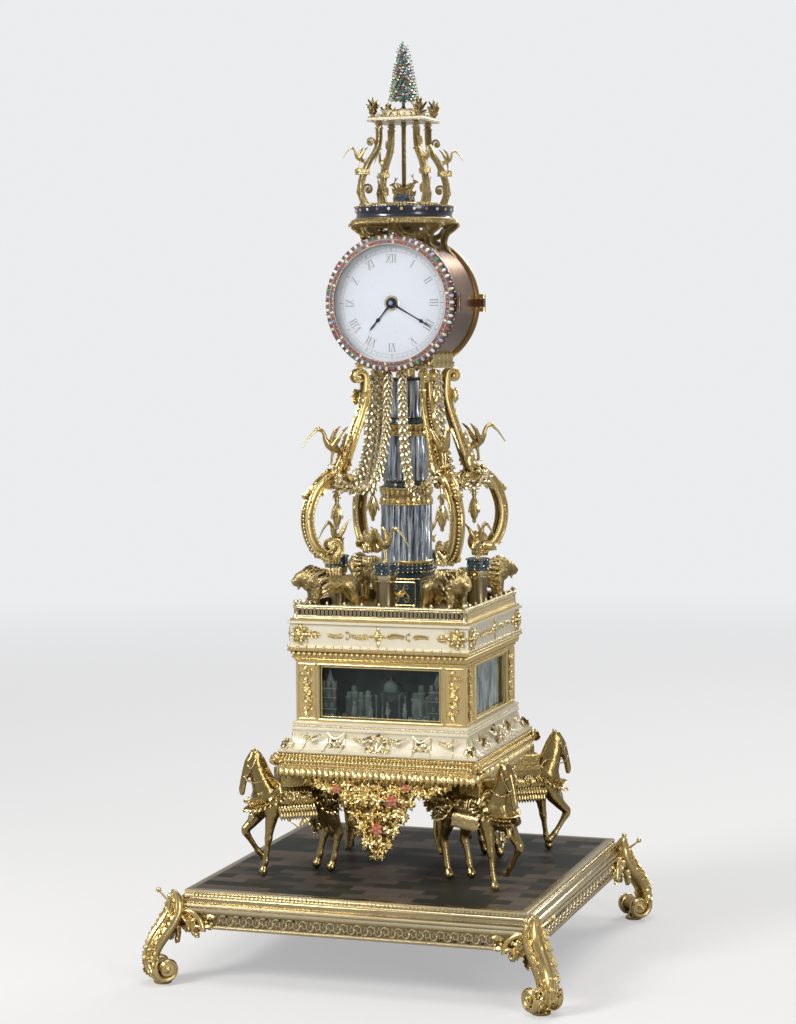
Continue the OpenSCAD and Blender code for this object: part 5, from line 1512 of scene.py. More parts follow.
# %% Pedestals and basin
def pedestals():
    bm, caps = bmesh.new(), bmesh.new()
    low = foot_of("pedestals")
    gems = Jewels("pedestal_stones", "tower", "dark_enamel")
    shaft = [(0, 0), (13.4, 0), (13.5, 2.4), (12.6, 3.2), (12.8, 5), (11.6, 6), (11.2, 8), (11.0, 44),
             (11.6, 46), (12.8, 47), (12.8, 49), (13.4, 50), (13.4, 54), (0, 54)]
    cap = [(0, 54), (13.2, 54), (15, 54.8), (15.5, 55.6), (15.5, 57.4), (14.2, 58), (14.2, 66), (15.5, 66.8),
           (15.5, 68.6), (13, 69.6), (9, 70), (0, 70)]
    shaft_cast, cap_cast = pattern(turned, shaft, steps=48), pattern(turned, cap, steps=48)
    for i in range(4):
        at = quarter(i) @ place(PEDESTAL_AT[i % 2], 0, low)
        stamp(bm, shaft_cast, at)
        stamp(caps, cap_cast, at)
        for k in range(16):
            turn = at @ place(turn=22.5 * k)
            stamp(bm, SMALL_BEAD, turn @ place(13.4, 0, 4.2, size=1.2), turn @ place(15.3, 0, 67.7, size=0.9),
                  turn @ place(15.3, 0, 56.5, size=0.9))
            stamp(bm, LEAF, turn @ place(11.6, 0, 46, tilt=-84, size=(0.4, 0.4, 0.5)))
            gems.put(("white", "amber", "white", "blue")[k % 4],
                     turn @ place(14.2, 0, 60 + 4 * (k % 2), tilt=90, size=0.55))
    piece(caps, "pedestal_caps", "tower", "dark_enamel", dark_enamel, sharp=30)
    gems.done()
    return piece(bm, "brass_pedestals", "tower", "brass", brass, "pedestals", sharp=35)


pedestals()


def basin():
    bm, gold = bmesh.new(), bmesh.new()
    z, top = foot_of("cascade_basin"), top_of("cascade_basin")
    gems = Jewels("basin_stones", "tower", "dark_enamel")
    squared(bm, [(0, z), (27, z), (27, z + 5), (24.6, z + 6), (24.6, z + 43), (27, z + 44), (27, z + 51),
                 (0, z + 51)])
    turned(bm, [(0, z + 51), (31, z + 51), (34, z + 52.6), (34, top - 1), (33, top), (5, top), (5, top - 8),
                (0, top - 8)], 96)
    for level in (5.6, 43.4):
        edge = pattern(swept, [(-26, 0, 0, 1.2), (26, 0, 0, 1.2)], around=8)
        stamp(gold, edge, *sides(place(0, -26, z + level)))
    panel = pattern(border, -19, 19, -14.5, 14.5, 0.9)
    stamp(gold, panel, *sides(on_front(0, 24.8, z + 24.5)))
    stamp(gold, S_SCROLL, *sides(on_front(-7, 24.8, z + 24.5, 0, 0.75)),
          *sides(on_front(7, 24.8, z + 24.5, 180, 0.75)))
    stamp(gold, ROSETTE, *sides(on_front(0, 25.4, z + 24.5, 0, 0.9)))
    for k in range(36):
        turn = place(turn=10 * k)
        stamp(gold, SMALL_BEAD, turn @ place(33.8, 0, z + 52.2, size=1.3),
              turn @ place(33.8, 0, top - 0.8, size=1.0))
        gems.put(("white", "blue", "amber")[k % 3], turn @ place(33.9, 0, z + 56.6, tilt=90, size=0.7))
    gems.done()
    piece(gold, "basin_mounts", "tower", "gilt_bronze", gilt, sharp=45)
    return piece(bm, "enamel_basin", "tower", "dark_enamel", dark_enamel, "cascade_basin", sharp=30)


basin()

# %% [markdown]
# ## Cascade
#
# The rods are twisted glass, silvered behind, which look like falling water as they turn. The
# twist is modelled, since a straight rod with a twisted bump map keeps a straight outline and a
# straight highlight. Rods, collars and shaft ride together on the turning body.


# %% Twisted rods
def rod_glass(name, dark, light, low, high):
    f = Finish(name, Metallic=0.55, Coat_Weight=1.0, Coat_Roughness=0.03, IOR=1.5)
    where = f.node("Mapping", Vector=f.coordinates(), Scale=(300, 300, 30))
    # Painted glints: stretched noise puts light vertical streaks into the colour, the look of light on
    # twisted glass
    glint_streaks = f.noise(1.0, detail=3, where=where)
    cloud = f.noise(60, detail=3)
    tone = f.mix(glint_streaks.between(low, high), dark, light)
    tone = f.mix(cloud.between(0.45, 0.7) * 0.45, tone, (0.30, 0.38, 0.50))
    f.bump(glint_streaks, 0.0002, 0.4)
    return f.set(Base_Color=tone, Roughness=0.1 + 0.16 * cloud)


ROD_GLASS = rod_glass("silvered rods", (0.07, 0.10, 0.14), (0.84, 0.90, 0.98), 0.35, 0.68)
TIERS = ["cascade_rods_lower", "cascade_rods_middle", "cascade_rods_upper"]
# The lowest tier's rods and the radius of their ring, which give the spacing of all tiers
LOWER_RODS, LOWER_RING = 24, 29


def tier(node):
    """Foot, top and ring radius of a tier, and its number of rods."""
    low, high = box(node)
    ring = high.x / (1 + math.pi / LOWER_RODS)
    return low.z, high.z, ring, int(LOWER_RODS * ring / LOWER_RING + 0.02)


for node in TIERS:
    low, high, ring, count = tier(node)
    bm = bmesh.new()
    r = math.pi * ring / count - 0.4
    steps = round((high - low) / 2.6)
    rod = pattern(swept, [(0, 0, low + (high - low) * k / steps, r) for k in range(steps + 1)], around=16,
                  up=(0, 1, 0), ribs=4, rib_depth=0.1, twist=0.42)
    stamp(bm, rod, *[place(turn=360 * k / count) @ place(ring) for k in range(count)])
    piece(bm, node.replace("cascade", "twisted"), "cascade", "rod_glass", ROD_GLASS, node, sharp=60)
# The side rods carry the same painted glints, in stronger contrast
keep("side_rods", rod_glass("rods of the side windows", (0.012, 0.018, 0.026), (0.95, 0.97, 1.0), 0.42, 0.6))


# %% Collars
def collars():
    bm, caps = bmesh.new(), bmesh.new()
    gems = Jewels("cascade_stones", "cascade", "gilt_bronze")
    turned(bm, [(0, foot_of("cascade_column")), (4, foot_of("cascade_column")), (4, top_of("cascade_column")),
                (0, top_of("cascade_column"))], 24)
    spans = [tier(node) for node in TIERS]
    foot = spans[0][0] - 4
    turned(bm, [(0, foot), (33.4, foot), (34, foot + 0.8), (34, foot + 3), (33, foot + 4), (0, foot + 4)], 72)
    for k in range(2):
        z, top = spans[k][1], spans[k + 1][0]
        big, small = spans[k][2] + 5, spans[k + 1][2] + 5
        tall = top - 9 - z
        turned(bm, [(0, z), (big - 1, z), (big, z + 0.8), (big, z + 2.6), (big - 1.4, z + 3.4),
                    (big - 2.2, z + tall * 0.35), (big - 3.6, z + tall * 0.5), (big - 2.4, z + tall * 0.68),
                    (big - 1, z + tall - 3), (big, z + tall - 2.4), (big, z + tall - 0.8),
                    (big - 1, z + tall), (0, z + tall)], 72)
        turned(caps, [(0, top - 9), (small - 0.6, top - 9), (small, top - 8), (small - 1.2, top - 6.4),
                      (small - 1.6, top - 3), (small, top - 1.4), (small, top - 0.6), (small - 1, top),
                      (0, top)], 72)
        count = round(big * 0.8)
        for n in range(count):
            turn = place(turn=360 * n / count)
            stamp(bm, SMALL_BEAD, turn @ place(big - 0.2, 0, z + 1.7, size=1.2),
                  turn @ place(big - 0.2, 0, z + tall - 1.6, size=1.2),
                  turn @ place(small - 0.2, 0, top - 0.8, size=0.9))
            low, half = z + tall / 2, tall / 46
            stamp(bm, LEAF, turn @ place(big - 3.4, 0, low, tilt=84) @ place(size=(half, 0.62, 0.7)),
                  turn @ place(big - 3.4, 0, low, tilt=96) @ place(turn=180, size=(half, 0.62, 0.7)))
            if n % 3 == 0:
                gems.put("blue" if n % 2 else "white", turn @ place(big - 1.6, 0, low, tilt=90, size=0.8))
    z = spans[2][1]
    turned(caps, [(0, z), (22, z), (23, z + 0.8), (23, z + 3), (20, z + 4), (0, z + 4)], 72)
    piece(caps, "cascade_caps", "cascade", "dark_enamel", dark_enamel, sharp=35)
    gems.done()
    return piece(bm, "cascade_collars", "cascade", "gilt_bronze", gilt, "cascade_column", sharp=40)


collars()

# %% [markdown]
# ## Scroll legs
#
# Four legs rise from blocks on the lions' backs, swell out to the shoulders and run up to the
# cradle under the clock, where they roll up like rams' horns. Each leg is a strap with rolled
# edges, drawn in its diagonal plane with X as the distance from the axis and Y as the height.
# A strap is a swept bar whose section is squared, so that it keeps its width when it thins.

# %% Straps
DECK = foot_of("pedestals")
CRADLE = top_of("scroll_legs")
# Where the two curls of a leg have their eyes: distance from the axis and height
HIGH_EYE = (66, 731.2)
LOW_EYE = (105, 521)


def strap(bm, path, half=10.5, around=24):
    """A flat bar: each path point's radius is half its thickness, and half is half its width."""
    points = [Vector(p[:3]) for p in path]
    last = len(path) - 1

    def shape(u, v):
        step = min(max(u * (last + 2) - 1, 0), last)
        i = round(step)
        run = points[min(i + 1, last)] - points[max(i - 1, 0)]
        out = run.cross(Vector((0, 0, 1))).normalized()
        a = v * math.tau
        c, s = math.cos(a), math.sin(a)
        wide = math.copysign(abs(s) ** 0.45, s)
        thick = math.copysign(abs(c) ** 0.45, c) * (1 - 0.34 * math.exp(-(wide / 0.62) ** 4))
        scale = 0 if u < 1e-6 or u > 1 - 1e-6 else 1
        return points[i] + scale * (path[i][3] * thick * out + half * wide * Vector((0, 0, 1)))

    sheet_of(bm, around, last + 2, shape)


def beside(path, out, z=0.0, r=1.0, pull=1.0):
    """The path moved sideways in its plane by its own thickness, at a height z, as a bar of radius r."""
    points = [Vector(p[:3]) for p in path]
    moved = []
    for i, p in enumerate(points):
        run = points[min(i + 1, len(points) - 1)] - points[max(i - 1, 0)]
        side = run.cross(Vector((0, 0, 1))).normalized()
        q = p + out * path[i][3] * pull * side
        moved.append((q.x, q.y, z, r))
    return moved


def along(path, pitch, start=0.0):
    """Places at a pitch along a path, with X along it."""
    out, left = [], start
    for a, b in zip(path, path[1:]):
        a, b = Vector(a[:3]), Vector(b[:3])
        run = (b - a).length
        turn = (b - a).to_track_quat("X", "Z").to_matrix().to_4x4()
        while left < run:
            out.append(Matrix.Translation(a.lerp(b, left / run)) @ turn)
            left += pitch
        left -= run
    return out


def block(bm, x0, x1, y0, y1, half, soft=0.9):
    middle = ((x0 + x1) / 2, (y0 + y1) / 2, 0)
    bmesh.ops.create_cube(bm, size=1, matrix=Matrix.Translation(middle)
            @ Matrix.Diagonal((x1 - x0, y1 - y0, 2 * half, 1)))
    bmesh.ops.bevel(bm, geom=bm.edges[:], affect="EDGES", offset=soft, segments=2, profile=0.5, material=-1)


# %% Legs
def leg_paths():
    curl = volute(*HIGH_EYE, 9, 180, -330, 3, 1.5, 24, 0.68)[::-1]
    upper = curl[:-1] + smooth_path([(57, 730, 0, 3.2), (57, 708, 0, 4.4), (62, 688, 0, 4.4),
            (71, 664, 0, 4.4), (80, 640, 0, 4.8), (90, 618, 0, 5.8), (99, 607, 0, 5.6)], 5)
    lower = smooth_path([(97, 611, 0, 4), (112, 606, 0, 5.4), (127, 590, 0, 5.8), (137, 562, 0, 5.8),
            (134, 535, 0, 5.8), (122, 516, 0, 5.8), (106, 509, 0, 5.2)], 5)
    lower += volute(*LOW_EYE, 12, -90, -290, 5, 2, 24, 0.68)[1:]
    return [[(x, y, z, 0.84 * r) for x, y, z, r in path] for path in (upper, lower)]


def channel(bm):
    """The middle of the straps, laid over them as a thin band and coloured dark as painted shade of a sunk
    channel.
    """
    upper, lower = leg_paths()
    strap(bm, [(x, y, z, r + 0.35) for x, y, z, r in upper[24:-5]], 3.0, 16)
    strap(bm, [(x, y, z, r + 0.35) for x, y, z, r in lower[5:-26]], 3.4, 16)


def leg(bm):
    upper, lower = leg_paths()
    strap(bm, upper, 5.8)
    strap(bm, lower, 6.8)
    for path, half in ((upper, 5.6), (lower, 6.4)):
        for z in (-half, half):
            swept(bm, beside(path[1:-2], 1, z, 1.5), around=6)
            swept(bm, beside(path[1:-2], -1, z, 1.4), around=6)
            for where in along(beside(path[4:-4], 1, z * 1.1, 1), 5.2):
                stamp(bm, SMALL_BEAD, where @ place(size=1.5))
    for z in (-6.2, 6.2):
        stamp(bm, BEAD, place(*HIGH_EYE, z, size=(3.4, 3.4, 1.8)), place(*LOW_EYE, z, size=(4.6, 4.6, 2)))
    for where in along(beside(lower[8:30], -1, 0, 1, 1.0), 4.9):
        stamp(bm, BEAD, where @ place(size=2.3))
    for where in along(beside(upper[30:-3], -1, 0, 1, 0.9), 4.3):
        stamp(bm, SMALL_BEAD, where @ place(size=1.6))
    for k in range(5):
        y = 660 - 11 * k
        x = 74 + 4.2 * k
        for s in (-1, 1):
            stamp(bm, BROAD_LEAF, place(x + 3, y, s * 4.6, turn=-70, roll=90 - 24 * s, size=(0.95, 0.9, 1)))
    for k in range(3):
        stamp(bm, BROAD_LEAF, place(60 + 7 * k, 700 - 26 * k, 0, turn=-66 + 4 * k, roll=90,
                size=(1.2, 1.0, 1)), place(126 + 4 * k, 596 - 14 * k, 0, turn=-36 - 18 * k, roll=90,
                size=(1.0, 1.1, 1)))
    for s in (-1, 1):
        stamp(bm, BROAD_LEAF, place(98, 613, s * 6, turn=-32, roll=s * 38, size=1.15),
              place(96, 611, s * 7, turn=128, roll=s * 38, size=1.1),
              place(92, 609, s * 8, turn=206, roll=s * 30, size=0.85),
              place(104, 515, s * 9, turn=-18, roll=s * 40, size=1.0),
              place(62, 716, s * 9, turn=-80, roll=s * 50, size=0.9))
        stamp(bm, LEAF, place(112, 600, s * 9, turn=-60, roll=s * 30, size=0.8),
              place(118, 512, s * 8, turn=24, roll=s * 30, size=0.7))
    swept(bm, smooth_path([(96, 611, 0, 4.6), (92, 600, 0, 3.4), (84, 597, 0, 2.4), (80, 602, 0, 1.6),
            (83, 606, 0, 1)], 4), around=10, flat=1.6)


LEG = pattern(leg)


def leg_blocks(bm):
    for size in ((45, 61, CRADLE - 13, CRADLE, 10.4), (95, 111, 608, 622, 8), (93, 101, 596, 612, 4),
                 (97, 113, DECK + 65, DECK + 77, 8), (94.4, 111.6, 618.4, 621.4, 8.6),
                 (96.4, 113.6, DECK + 65, DECK + 68, 8.6)):
        stamp(bm, pattern(block, *size))
    stamp(bm, ROSETTE, place(103, 614, 8, size=0.8), place(103, 614, -8, roll=180, size=0.8),
          place(105, DECK + 72, 8, size=0.8), place(105, DECK + 72, -8, roll=180, size=0.8))
    for x in (-6, -2, 2, 6):
        for y, turn in ((DECK + 65.4, 90), (DECK + 78.6, -90)):
            stamp(bm, LEAF, place(105 + x, y, 7.6, turn=turn, size=0.38),
                  place(105 + x, y, -7.6, roll=180, turn=turn, size=0.38),
                  place(112.6, y, x, tilt=90) @ place(turn=turn, size=0.38),
                  place(97.4, y, x, tilt=-90) @ place(turn=turn, size=0.38))


LEG_BLOCKS = pattern(leg_blocks)


def scroll_legs():
    bm = bmesh.new()
    for where in CORNERS:
        stamp(bm, LEG, where)
        stamp(bm, LEG_BLOCKS, where)
    piece(bm, "ram_scroll_legs", "tower", "gilt_bronze", gilt, "scroll_legs", sharp=55)
    bm = bmesh.new()
    sunk = pattern(channel)
    stamp(bm, sunk, *CORNERS)
    # Painted shade: matted gilding made dark to stand for the shade of the straps' sunk middle
    ground = gilding("channel gilding in painted shade", (0.42, 0.31, 0.15), (0.20, 0.135, 0.055), (0.05, 0.03, 0.012), 0.45,
                     0.0008)
    return piece(bm, "leg_channels", "tower", "gilt_bronze", ground, sharp=40)


scroll_legs()


# %% Leaf chains and husk drops
def garland_route():
    """One chain, from under the cradle down and out to its shoulder."""
    at, side, end = 101.0, 10.5, SHOULDER - 14
    drop = CRADLE - end
    e = Vector((-(at - side), -(at + side), 0)) / math.sqrt(2) + Vector((0, 0, end))
    n = Vector((1, -1, 0)) / math.sqrt(2)
    points = [(-9, -40, CRADLE - 0.4), (-9, -40, CRADLE - 8), (-10, -42, CRADLE - 0.35 * drop),
              (-14, -47, CRADLE - 0.75 * drop), (-24, -58, end - 8), (-40, -73, end - 16)]
    points += [tuple(e + 14 * n - Vector((0, 0, 8))), tuple(e + 4 * n), tuple(e)]
    return smooth_path([(*p, 1.3) for p in points], 5)


def leaf_chain(bm):
    route = garland_route()
    swept(bm, route, around=6, up=(0, 1, 0.2))
    for k, where in enumerate(along(route, 5.0, 1.5)):
        for q in range(4):
            stamp(bm, LEAF, where @ place(roll=90 * q + 45 * (k % 2))
                  @ place(z=0.6, tilt=-26, size=(0.5, 0.56, 0.55)))
        stamp(bm, SMALL_BEAD, where @ place(2.4, size=1.5))


def husk(bm):
    turned(bm, [(0, 0), (2, 1), (2.6, 3), (2.2, 5), (4.4, 9), (5.6, 14), (6.4, 20), (5.4, 26), (3.4, 31),
                (2.2, 34), (3.2, 37), (2.8, 41), (1.6, 46), (2, 49), (1.2, 52), (1.6, 53.4), (0, 54)], 24)
    for q in range(6):
        stamp(bm, LEAF, place(turn=60 * q) @ place(2.2, 0, 33, tilt=76, size=(0.92, 0.6, 0.6)),
              place(turn=60 * q + 30) @ place(2.4, 0, 9, tilt=-64, size=(0.5, 0.5, 0.5)),
              place(turn=60 * q) @ place(1.8, 0, 47, tilt=70, size=(0.4, 0.4, 0.4)))


def chains_and_drops():
    bm = bmesh.new()
    chain = pattern(leaf_chain)
    for i in range(4):
        stamp(bm, chain, quarter(i), quarter(i) @ mirror(-1))
    piece(bm, "leaf_chains", "tower", "pale_gilt", pale_gilt, "garlands", sharp=60)
    bm = bmesh.new()
    drop = pattern(husk)
    for i in range(4):
        stamp(bm, drop, quarter(i) @ place(turn=45) @ place(97, 0, foot_of("shoulder_drops")))
    return piece(bm, "husk_drops", "tower", "gilt_bronze", gilt, "shoulder_drops", sharp=50)


chains_and_drops()

# %% [markdown]
# ## Clock
#
# The drum and its door are turned work, so their CAD meshes stay and only take a finish. What
# makes the clock is set on them: two rings of pastes on the bezel, an enamel dial with painted
# numerals, and slim hands. Stones sit in their own pieces because each colour is its own finish.

# %% Saddle under the drum
CLOCK = (box("dial")[0].z + box("dial")[1].z) / 2
DIAL_FACE = -box("dial")[0].y
ON_DRUM = place(0, 0, CLOCK, roll=90)


def saddle():
    bm = bmesh.new()
    low, high = box("drum_cradle")
    z = CRADLE
    drum = 80.0
    half = 50.0

    def rim(u):
        """The outline of the saddle's front, once round: the arc on top and the flat foot."""
        if u < 0.75:
            x = half * (1 - u / 0.375)
            return x, CLOCK - math.sqrt(drum ** 2 - x ** 2) - 0.1
        x = half * ((u - 0.75) / 0.125 - 1)
        return x, z

    arc = [rim(k / 40) for k in range(31)]
    outline = [(half, z)] + arc + [(-half, z)]
    verts = [bm.verts.new((x, low.y, h)) for x, h in outline]
    face = bm.faces.new(verts)
    shell = bmesh.ops.extrude_face_region(bm, geom=[face])["geom"]
    bmesh.ops.translate(bm, vec=(0, high.y - low.y, 0), verts=[g for g in shell
            if isinstance(g, bmesh.types.BMVert)])
    bmesh.ops.triangulate(bm, faces=[f for f in bm.faces if len(f.verts) > 4])
    turned(bm, [(4.2, low.z), (11.4, low.z), (12, low.z + 0.8), (12, z + 4), (4.2, z + 4), (4.2, low.z)], 48)
    for y, turn in ((low.y, 0), (high.y, 180)):
        at = place(turn=turn)
        dist = abs(y)
        for s in (-1, 1):
            flank = at @ mirror(s)
            stamp(bm, pattern(c_scroll, height=15, r=3.4, thick=1.0), flank @ on_front(38, dist, z + 7.4, 90))
            stamp(bm, FAN, flank @ on_front(26, dist, z + 1, 20, 0.72),
                  flank @ on_front(46, dist, z + 3, -20, 0.8))
            stamp(bm, LEAF, flank @ on_front(14, dist, z + 0.6, 8, 0.7))
            stamp(bm, BEAD, flank @ on_front(48, dist + 0.4, z + 15, 0, 2.2),
                  flank @ on_front(18, dist, z + 2.4, 0, 1.5))
        stamp(bm, ROSETTE, at @ on_front(0, dist, z + 0.4, 0, 0.9))
    for end in (-1, 1):
        for y in (-28, -10, 8, 26):
            where = Matrix.Translation((end * half, y, z + 1)) @ place(turn=90 * end) @ FRONT
            stamp(bm, BROAD_LEAF, where @ place(turn=90, size=(0.85, 1.25, 0.8)))
            stamp(bm, BEAD, where @ place(9, 12, 0, size=1.8))
    return piece(bm, "drum_saddle", "tower", "gilt_bronze", gilt, "drum_cradle", sharp=35)


saddle()


# %% Drum, bezel and back door
def bronze():
    """Dark patinated bronze, polished, with a reddish drift and fine turning marks round the drum."""
    f = Finish("patinated bronze", Metallic=1.0, Coat_Weight=0.3, Coat_Roughness=0.1)
    where = f.node("Mapping", Vector=f.coordinates(), Scale=(2, 900, 2))
    turning = f.noise(1.0, detail=2, where=where)
    cloud = f.noise(22, detail=4)
    tone = f.mix(cloud.between(0.3, 0.7), (0.16, 0.095, 0.045), (0.34, 0.17, 0.075))
    f.bump(turning, 0.00004, 0.4)
    return f.set(Base_Color=tone, Roughness=0.17 + 0.16 * cloud)


keep("clock_drum", bronze())
keep("bezel", gilding("shaded gilding", (0.30, 0.22, 0.20), (0.075, 0.048, 0.055), (0.02, 0.012, 0.016),
        0.34, 0.0004))
keep("bezel_glass", clear_glass("dial glass", (0.97, 0.985, 1.0), 0.01, 0.00002))
keep("drum_back_door", gilt)


def door_mounts():
    """Mounts on the two doors at the back: a border with corner scrolls, and turned rings."""
    bm = bmesh.new()
    low, high = box("rear_door")
    half, middle = (high.x - low.x) / 2 - 9, (low.z + high.z) / 2
    rise = (high.z - low.z) / 2 - 8
    back = place(turn=180)
    for k in range(2):
        h, v, r = half - 6 * k, rise - 6 * k, 1.2 - 0.4 * k
        path = [(-h, -v, 0, r), (h, -v, 0, r), (h, v, 0, r), (-h, v, 0, r), (-h, -v, 0, r)]
        for a, b in zip(path, path[1:]):
            stamp(bm, pattern(swept, [a, b], around=6), back @ on_front(0, high.y, middle))
    for s in (-1, 1):
        for t in (-1, 1):
            turn = 45 + 90 * (s * t > 0) + 180 * (s < 0)
            stamp(bm, pattern(c_scroll, height=17, r=3.6, thick=1.0),
                  back @ on_front(s * (half - 14), high.y, middle + t * (rise - 14), turn))
            stamp(bm, BROAD_LEAF, back @ on_front(s * 7, high.y, middle + 3 * t, 90 - 78 * s + 24 * t * s,
                    1.2))
            stamp(bm, LEAF, back @ on_front(s * 26, high.y, middle + 3 * t, 90 - 90 * s, 0.9))
    stamp(bm, ROSETTE, back @ on_front(0, high.y, middle, 0, 1.3))
    piece(bm, "rear_door_mounts", "rear_door", "gilt_bronze", pale_gilt, sharp=50)
    bm = bmesh.new()
    face = box("drum_back_door")[1].y
    up = place(0, 0, CLOCK, turn=180, roll=90)
    for r, t in ((80, 1.4), (74, 0.8), (46, 0.8), (26, 1.0)):
        stamp(bm, pattern(swept, hoop(r, face, t), around=6), up)
    for k in range(24):
        turn = up @ place(turn=15 * k)
        stamp(bm, LEAF, turn @ place(50, 0, face, size=(0.95, 0.8, 0.6)))
        stamp(bm, SMALL_BEAD, turn @ place(77, 0, face, size=1.6),
              turn @ place(turn=7.5) @ place(62, 0, face, size=1.4))
    for k in range(8):
        stamp(bm, BROAD_LEAF, up @ place(turn=45 * k) @ place(6, 0, face, size=(0.9, 0.9, 0.6)))
    stamp(bm, BEAD, up @ place(0, 0, face, size=3.6))
    return piece(bm, "back_door_mounts", "drum_back_door", "gilt_bronze", pale_gilt, sharp=50)


door_mounts()


def bezel_stones():
    gems = Jewels("bezel_stones", "bezel", "gilt_bronze")
    front = -box("bezel")[0].y
    colours = ["white", "lilac", "white", "straw", "white", "green", "white", "lilac", "white", "straw",
               "rose"]
    mounts = bmesh.new()
    outer, inner = 62, 84
    for k in range(outer):
        colour = colours[(k * 7) % len(colours)]
        turn = ON_DRUM @ place(turn=360 * k / outer)
        gems.put(colour, turn @ place(81.2, 0, front - 1.1, tilt=28, size=(2.0, 1.7, 1.9)))
        stamp(mounts, SMALL_BEAD, turn @ place(turn=180 / outer) @ place(81.6, 0, front - 1.3, size=0.9),
              turn @ place(turn=180 / outer) @ place(84.2, 0, front - 4.6, size=1.1))
    for k in range(inner):
        turn = ON_DRUM @ place(turn=360 * k / inner)
        gems.put(("rose", "rose", "white", "rose", "blue", "rose")[k % 6],
                 turn @ place(75.2, 0, front - 0.1, size=1.2))
        stamp(mounts, SMALL_BEAD, turn @ place(turn=180 / inner) @ place(75.2, 0, front, size=0.5))
    for path in (hoop(77.9, front, 0.6), hoop(72.9, front - 0.1, 0.7)):
        stamp(mounts, pattern(swept, path, around=6), ON_DRUM)
    gems.done()
    return piece(mounts, "bezel_settings", "bezel", "gilt_bronze", pale_gilt, sharp=50)


bezel_stones()


# %% Dial
def dial_enamel():
    f = Finish("dial enamel", Metallic=0.0, Coat_Weight=1.0, Coat_Roughness=0.03)
    cloud = f.noise(24, detail=4)
    speck = f.noise(300, detail=2).between(0.72, 0.78)
    f.bump(cloud, 0.0001, 0.3)
    return f.set(Base_Color=f.mix(speck * 0.3, f.mix(cloud, (0.96, 0.97, 1.0), (0.92, 0.93, 0.98)),
            (0.3, 0.28, 0.26)), Roughness=0.14 + 0.08 * cloud)


keep("dial", dial_enamel())


def stroke(bm, x0, y0, x1, y1, width):
    run = Vector((x1 - x0, y1 - y0, 0))
    angle = math.atan2(run.y, run.x)
    where = Matrix.Translation(((x0 + x1) / 2, (y0 + y1) / 2, 0.08)) @ Matrix.Rotation(angle, 4, "Z")
    bmesh.ops.create_cube(bm, size=1, matrix=where @ Matrix.Diagonal((run.length, width, 0.16, 1)))


GLYPHS = {"I": ([(0, 0, 0, 1)], 0.34), "V": ([(-0.26, 1, 0, 0), (0, 0, 0.26, 1)], 0.66),
          "X": ([(-0.28, 0, 0.28, 1), (-0.28, 1, 0.28, 0)], 0.68)}


def numeral(bm, text, tall=10.0):
    """A painted numeral with its foot at the origin: thin and thick strokes and serif lines."""
    width = sum(GLYPHS[c][1] for c in text) * tall
    x = -width / 2
    for c in text:
        strokes, advance = GLYPHS[c]
        x += advance * tall / 2
        for n, (x0, y0, x1, y1) in enumerate(strokes):
            thick = 0.5 if n and c in "VX" else 1.25
            stroke(bm, x + x0 * tall, y0 * tall, x + x1 * tall, y1 * tall, thick)
        x += advance * tall / 2
    for y in (0, tall):
        stroke(bm, -width / 2, y, width / 2, y, 0.35)


def dial_paint():
    bm = bmesh.new()
    hours = ["XII", "I", "II", "III", "IIII", "V", "VI", "VII", "VIII", "IX", "X", "XI"]
    for k, text in enumerate(hours):
        stamp(bm, pattern(numeral, text), ON_DRUM @ place(0, 0, DIAL_FACE) @ place(turn=-30 * k)
              @ place(0, 50, 0))
    tick, long_tick = pattern(stroke, 0, 64.6, 0, 66.8, 0.5), pattern(stroke, 0, 63.8, 0, 67.4, 1.0)
    for k in range(60):
        stamp(bm, tick if k % 5 else long_tick, ON_DRUM @ place(0, 0, DIAL_FACE, turn=6 * k))
    for r in (63.4, 67.8):
        stamp(bm, pattern(swept, hoop(r, 0.05, 0.18), around=4), ON_DRUM @ place(0, 0, DIAL_FACE))
    grey = paint("numeral grey", (0.17, 0.17, 0.20), (0.34, 0.35, 0.39), 0.4, 200)
    piece(bm, "dial_numerals", "tower", "dial_enamel", grey, sharp=20)
    collet = bmesh.new()
    face = DIAL_FACE
    turned(collet, [(5.2, face), (9.4, face), (9.6, face + 0.2), (9.2, face + 0.5), (6.4, face + 0.6),
                    (5.2, face + 0.5), (5.2, face)], 48)
    bmesh.ops.transform(collet, matrix=ON_DRUM, verts=collet.verts)
    return piece(collet, "dial_collet", "tower", "brass", brass, sharp=30)


dial_paint()


# %% Hands
def hand(bm, length, hub, bore, thick, bulb):
    turned(bm, [(bore, 0), (hub, 0), (hub, thick * 0.6), (hub * 0.7, thick), (bore, thick), (bore, 0)], 32)
    blade = pattern(swept, smooth_path([(hub * 0.6, 0, 0, 1.5), (length * 0.3, 0, 0, 1.0),
            (length * bulb - 4, 0, 0, 0.8), (length * bulb, 0, 0, 2.5), (length * bulb + 4, 0, 0, 0.9),
            (length * 0.86, 0, 0, 1.1), (length, 0, 0, 0.3)], 4), around=8)
    stamp(bm, blade, place(z=thick / 2, size=(1, 1, thick / 5.2)))


def hands():
    blued = Finish("blued steel", Metallic=1.0)
    temper = blued.noise(90, detail=3)
    blued.bump(blued.noise(1200, detail=1), 0.00003, 0.4)
    blued.set(Base_Color=blued.mix(temper, (0.012, 0.016, 0.035), (0.035, 0.04, 0.075)),
              Roughness=0.28 + 0.12 * temper)
    for node, body, length, hub, bore, bulb, turn in (("hour_hand", "hour", 44, 7, 4.2, 0.62, 220),
            ("minute_hand", "minute", 60, 5, 2.6, 0.74, 120)):
        bm = bmesh.new()
        low, high = box(node)
        made = pattern(hand, length, hub, bore, high.y - low.y, bulb)
        stamp(bm, made, ON_DRUM @ place(0, 0, -high.y, turn=90 - turn))
        piece(bm, node.replace("hand", "pointer"), body, "blued_steel", blued.material, node, sharp=30)


hands()

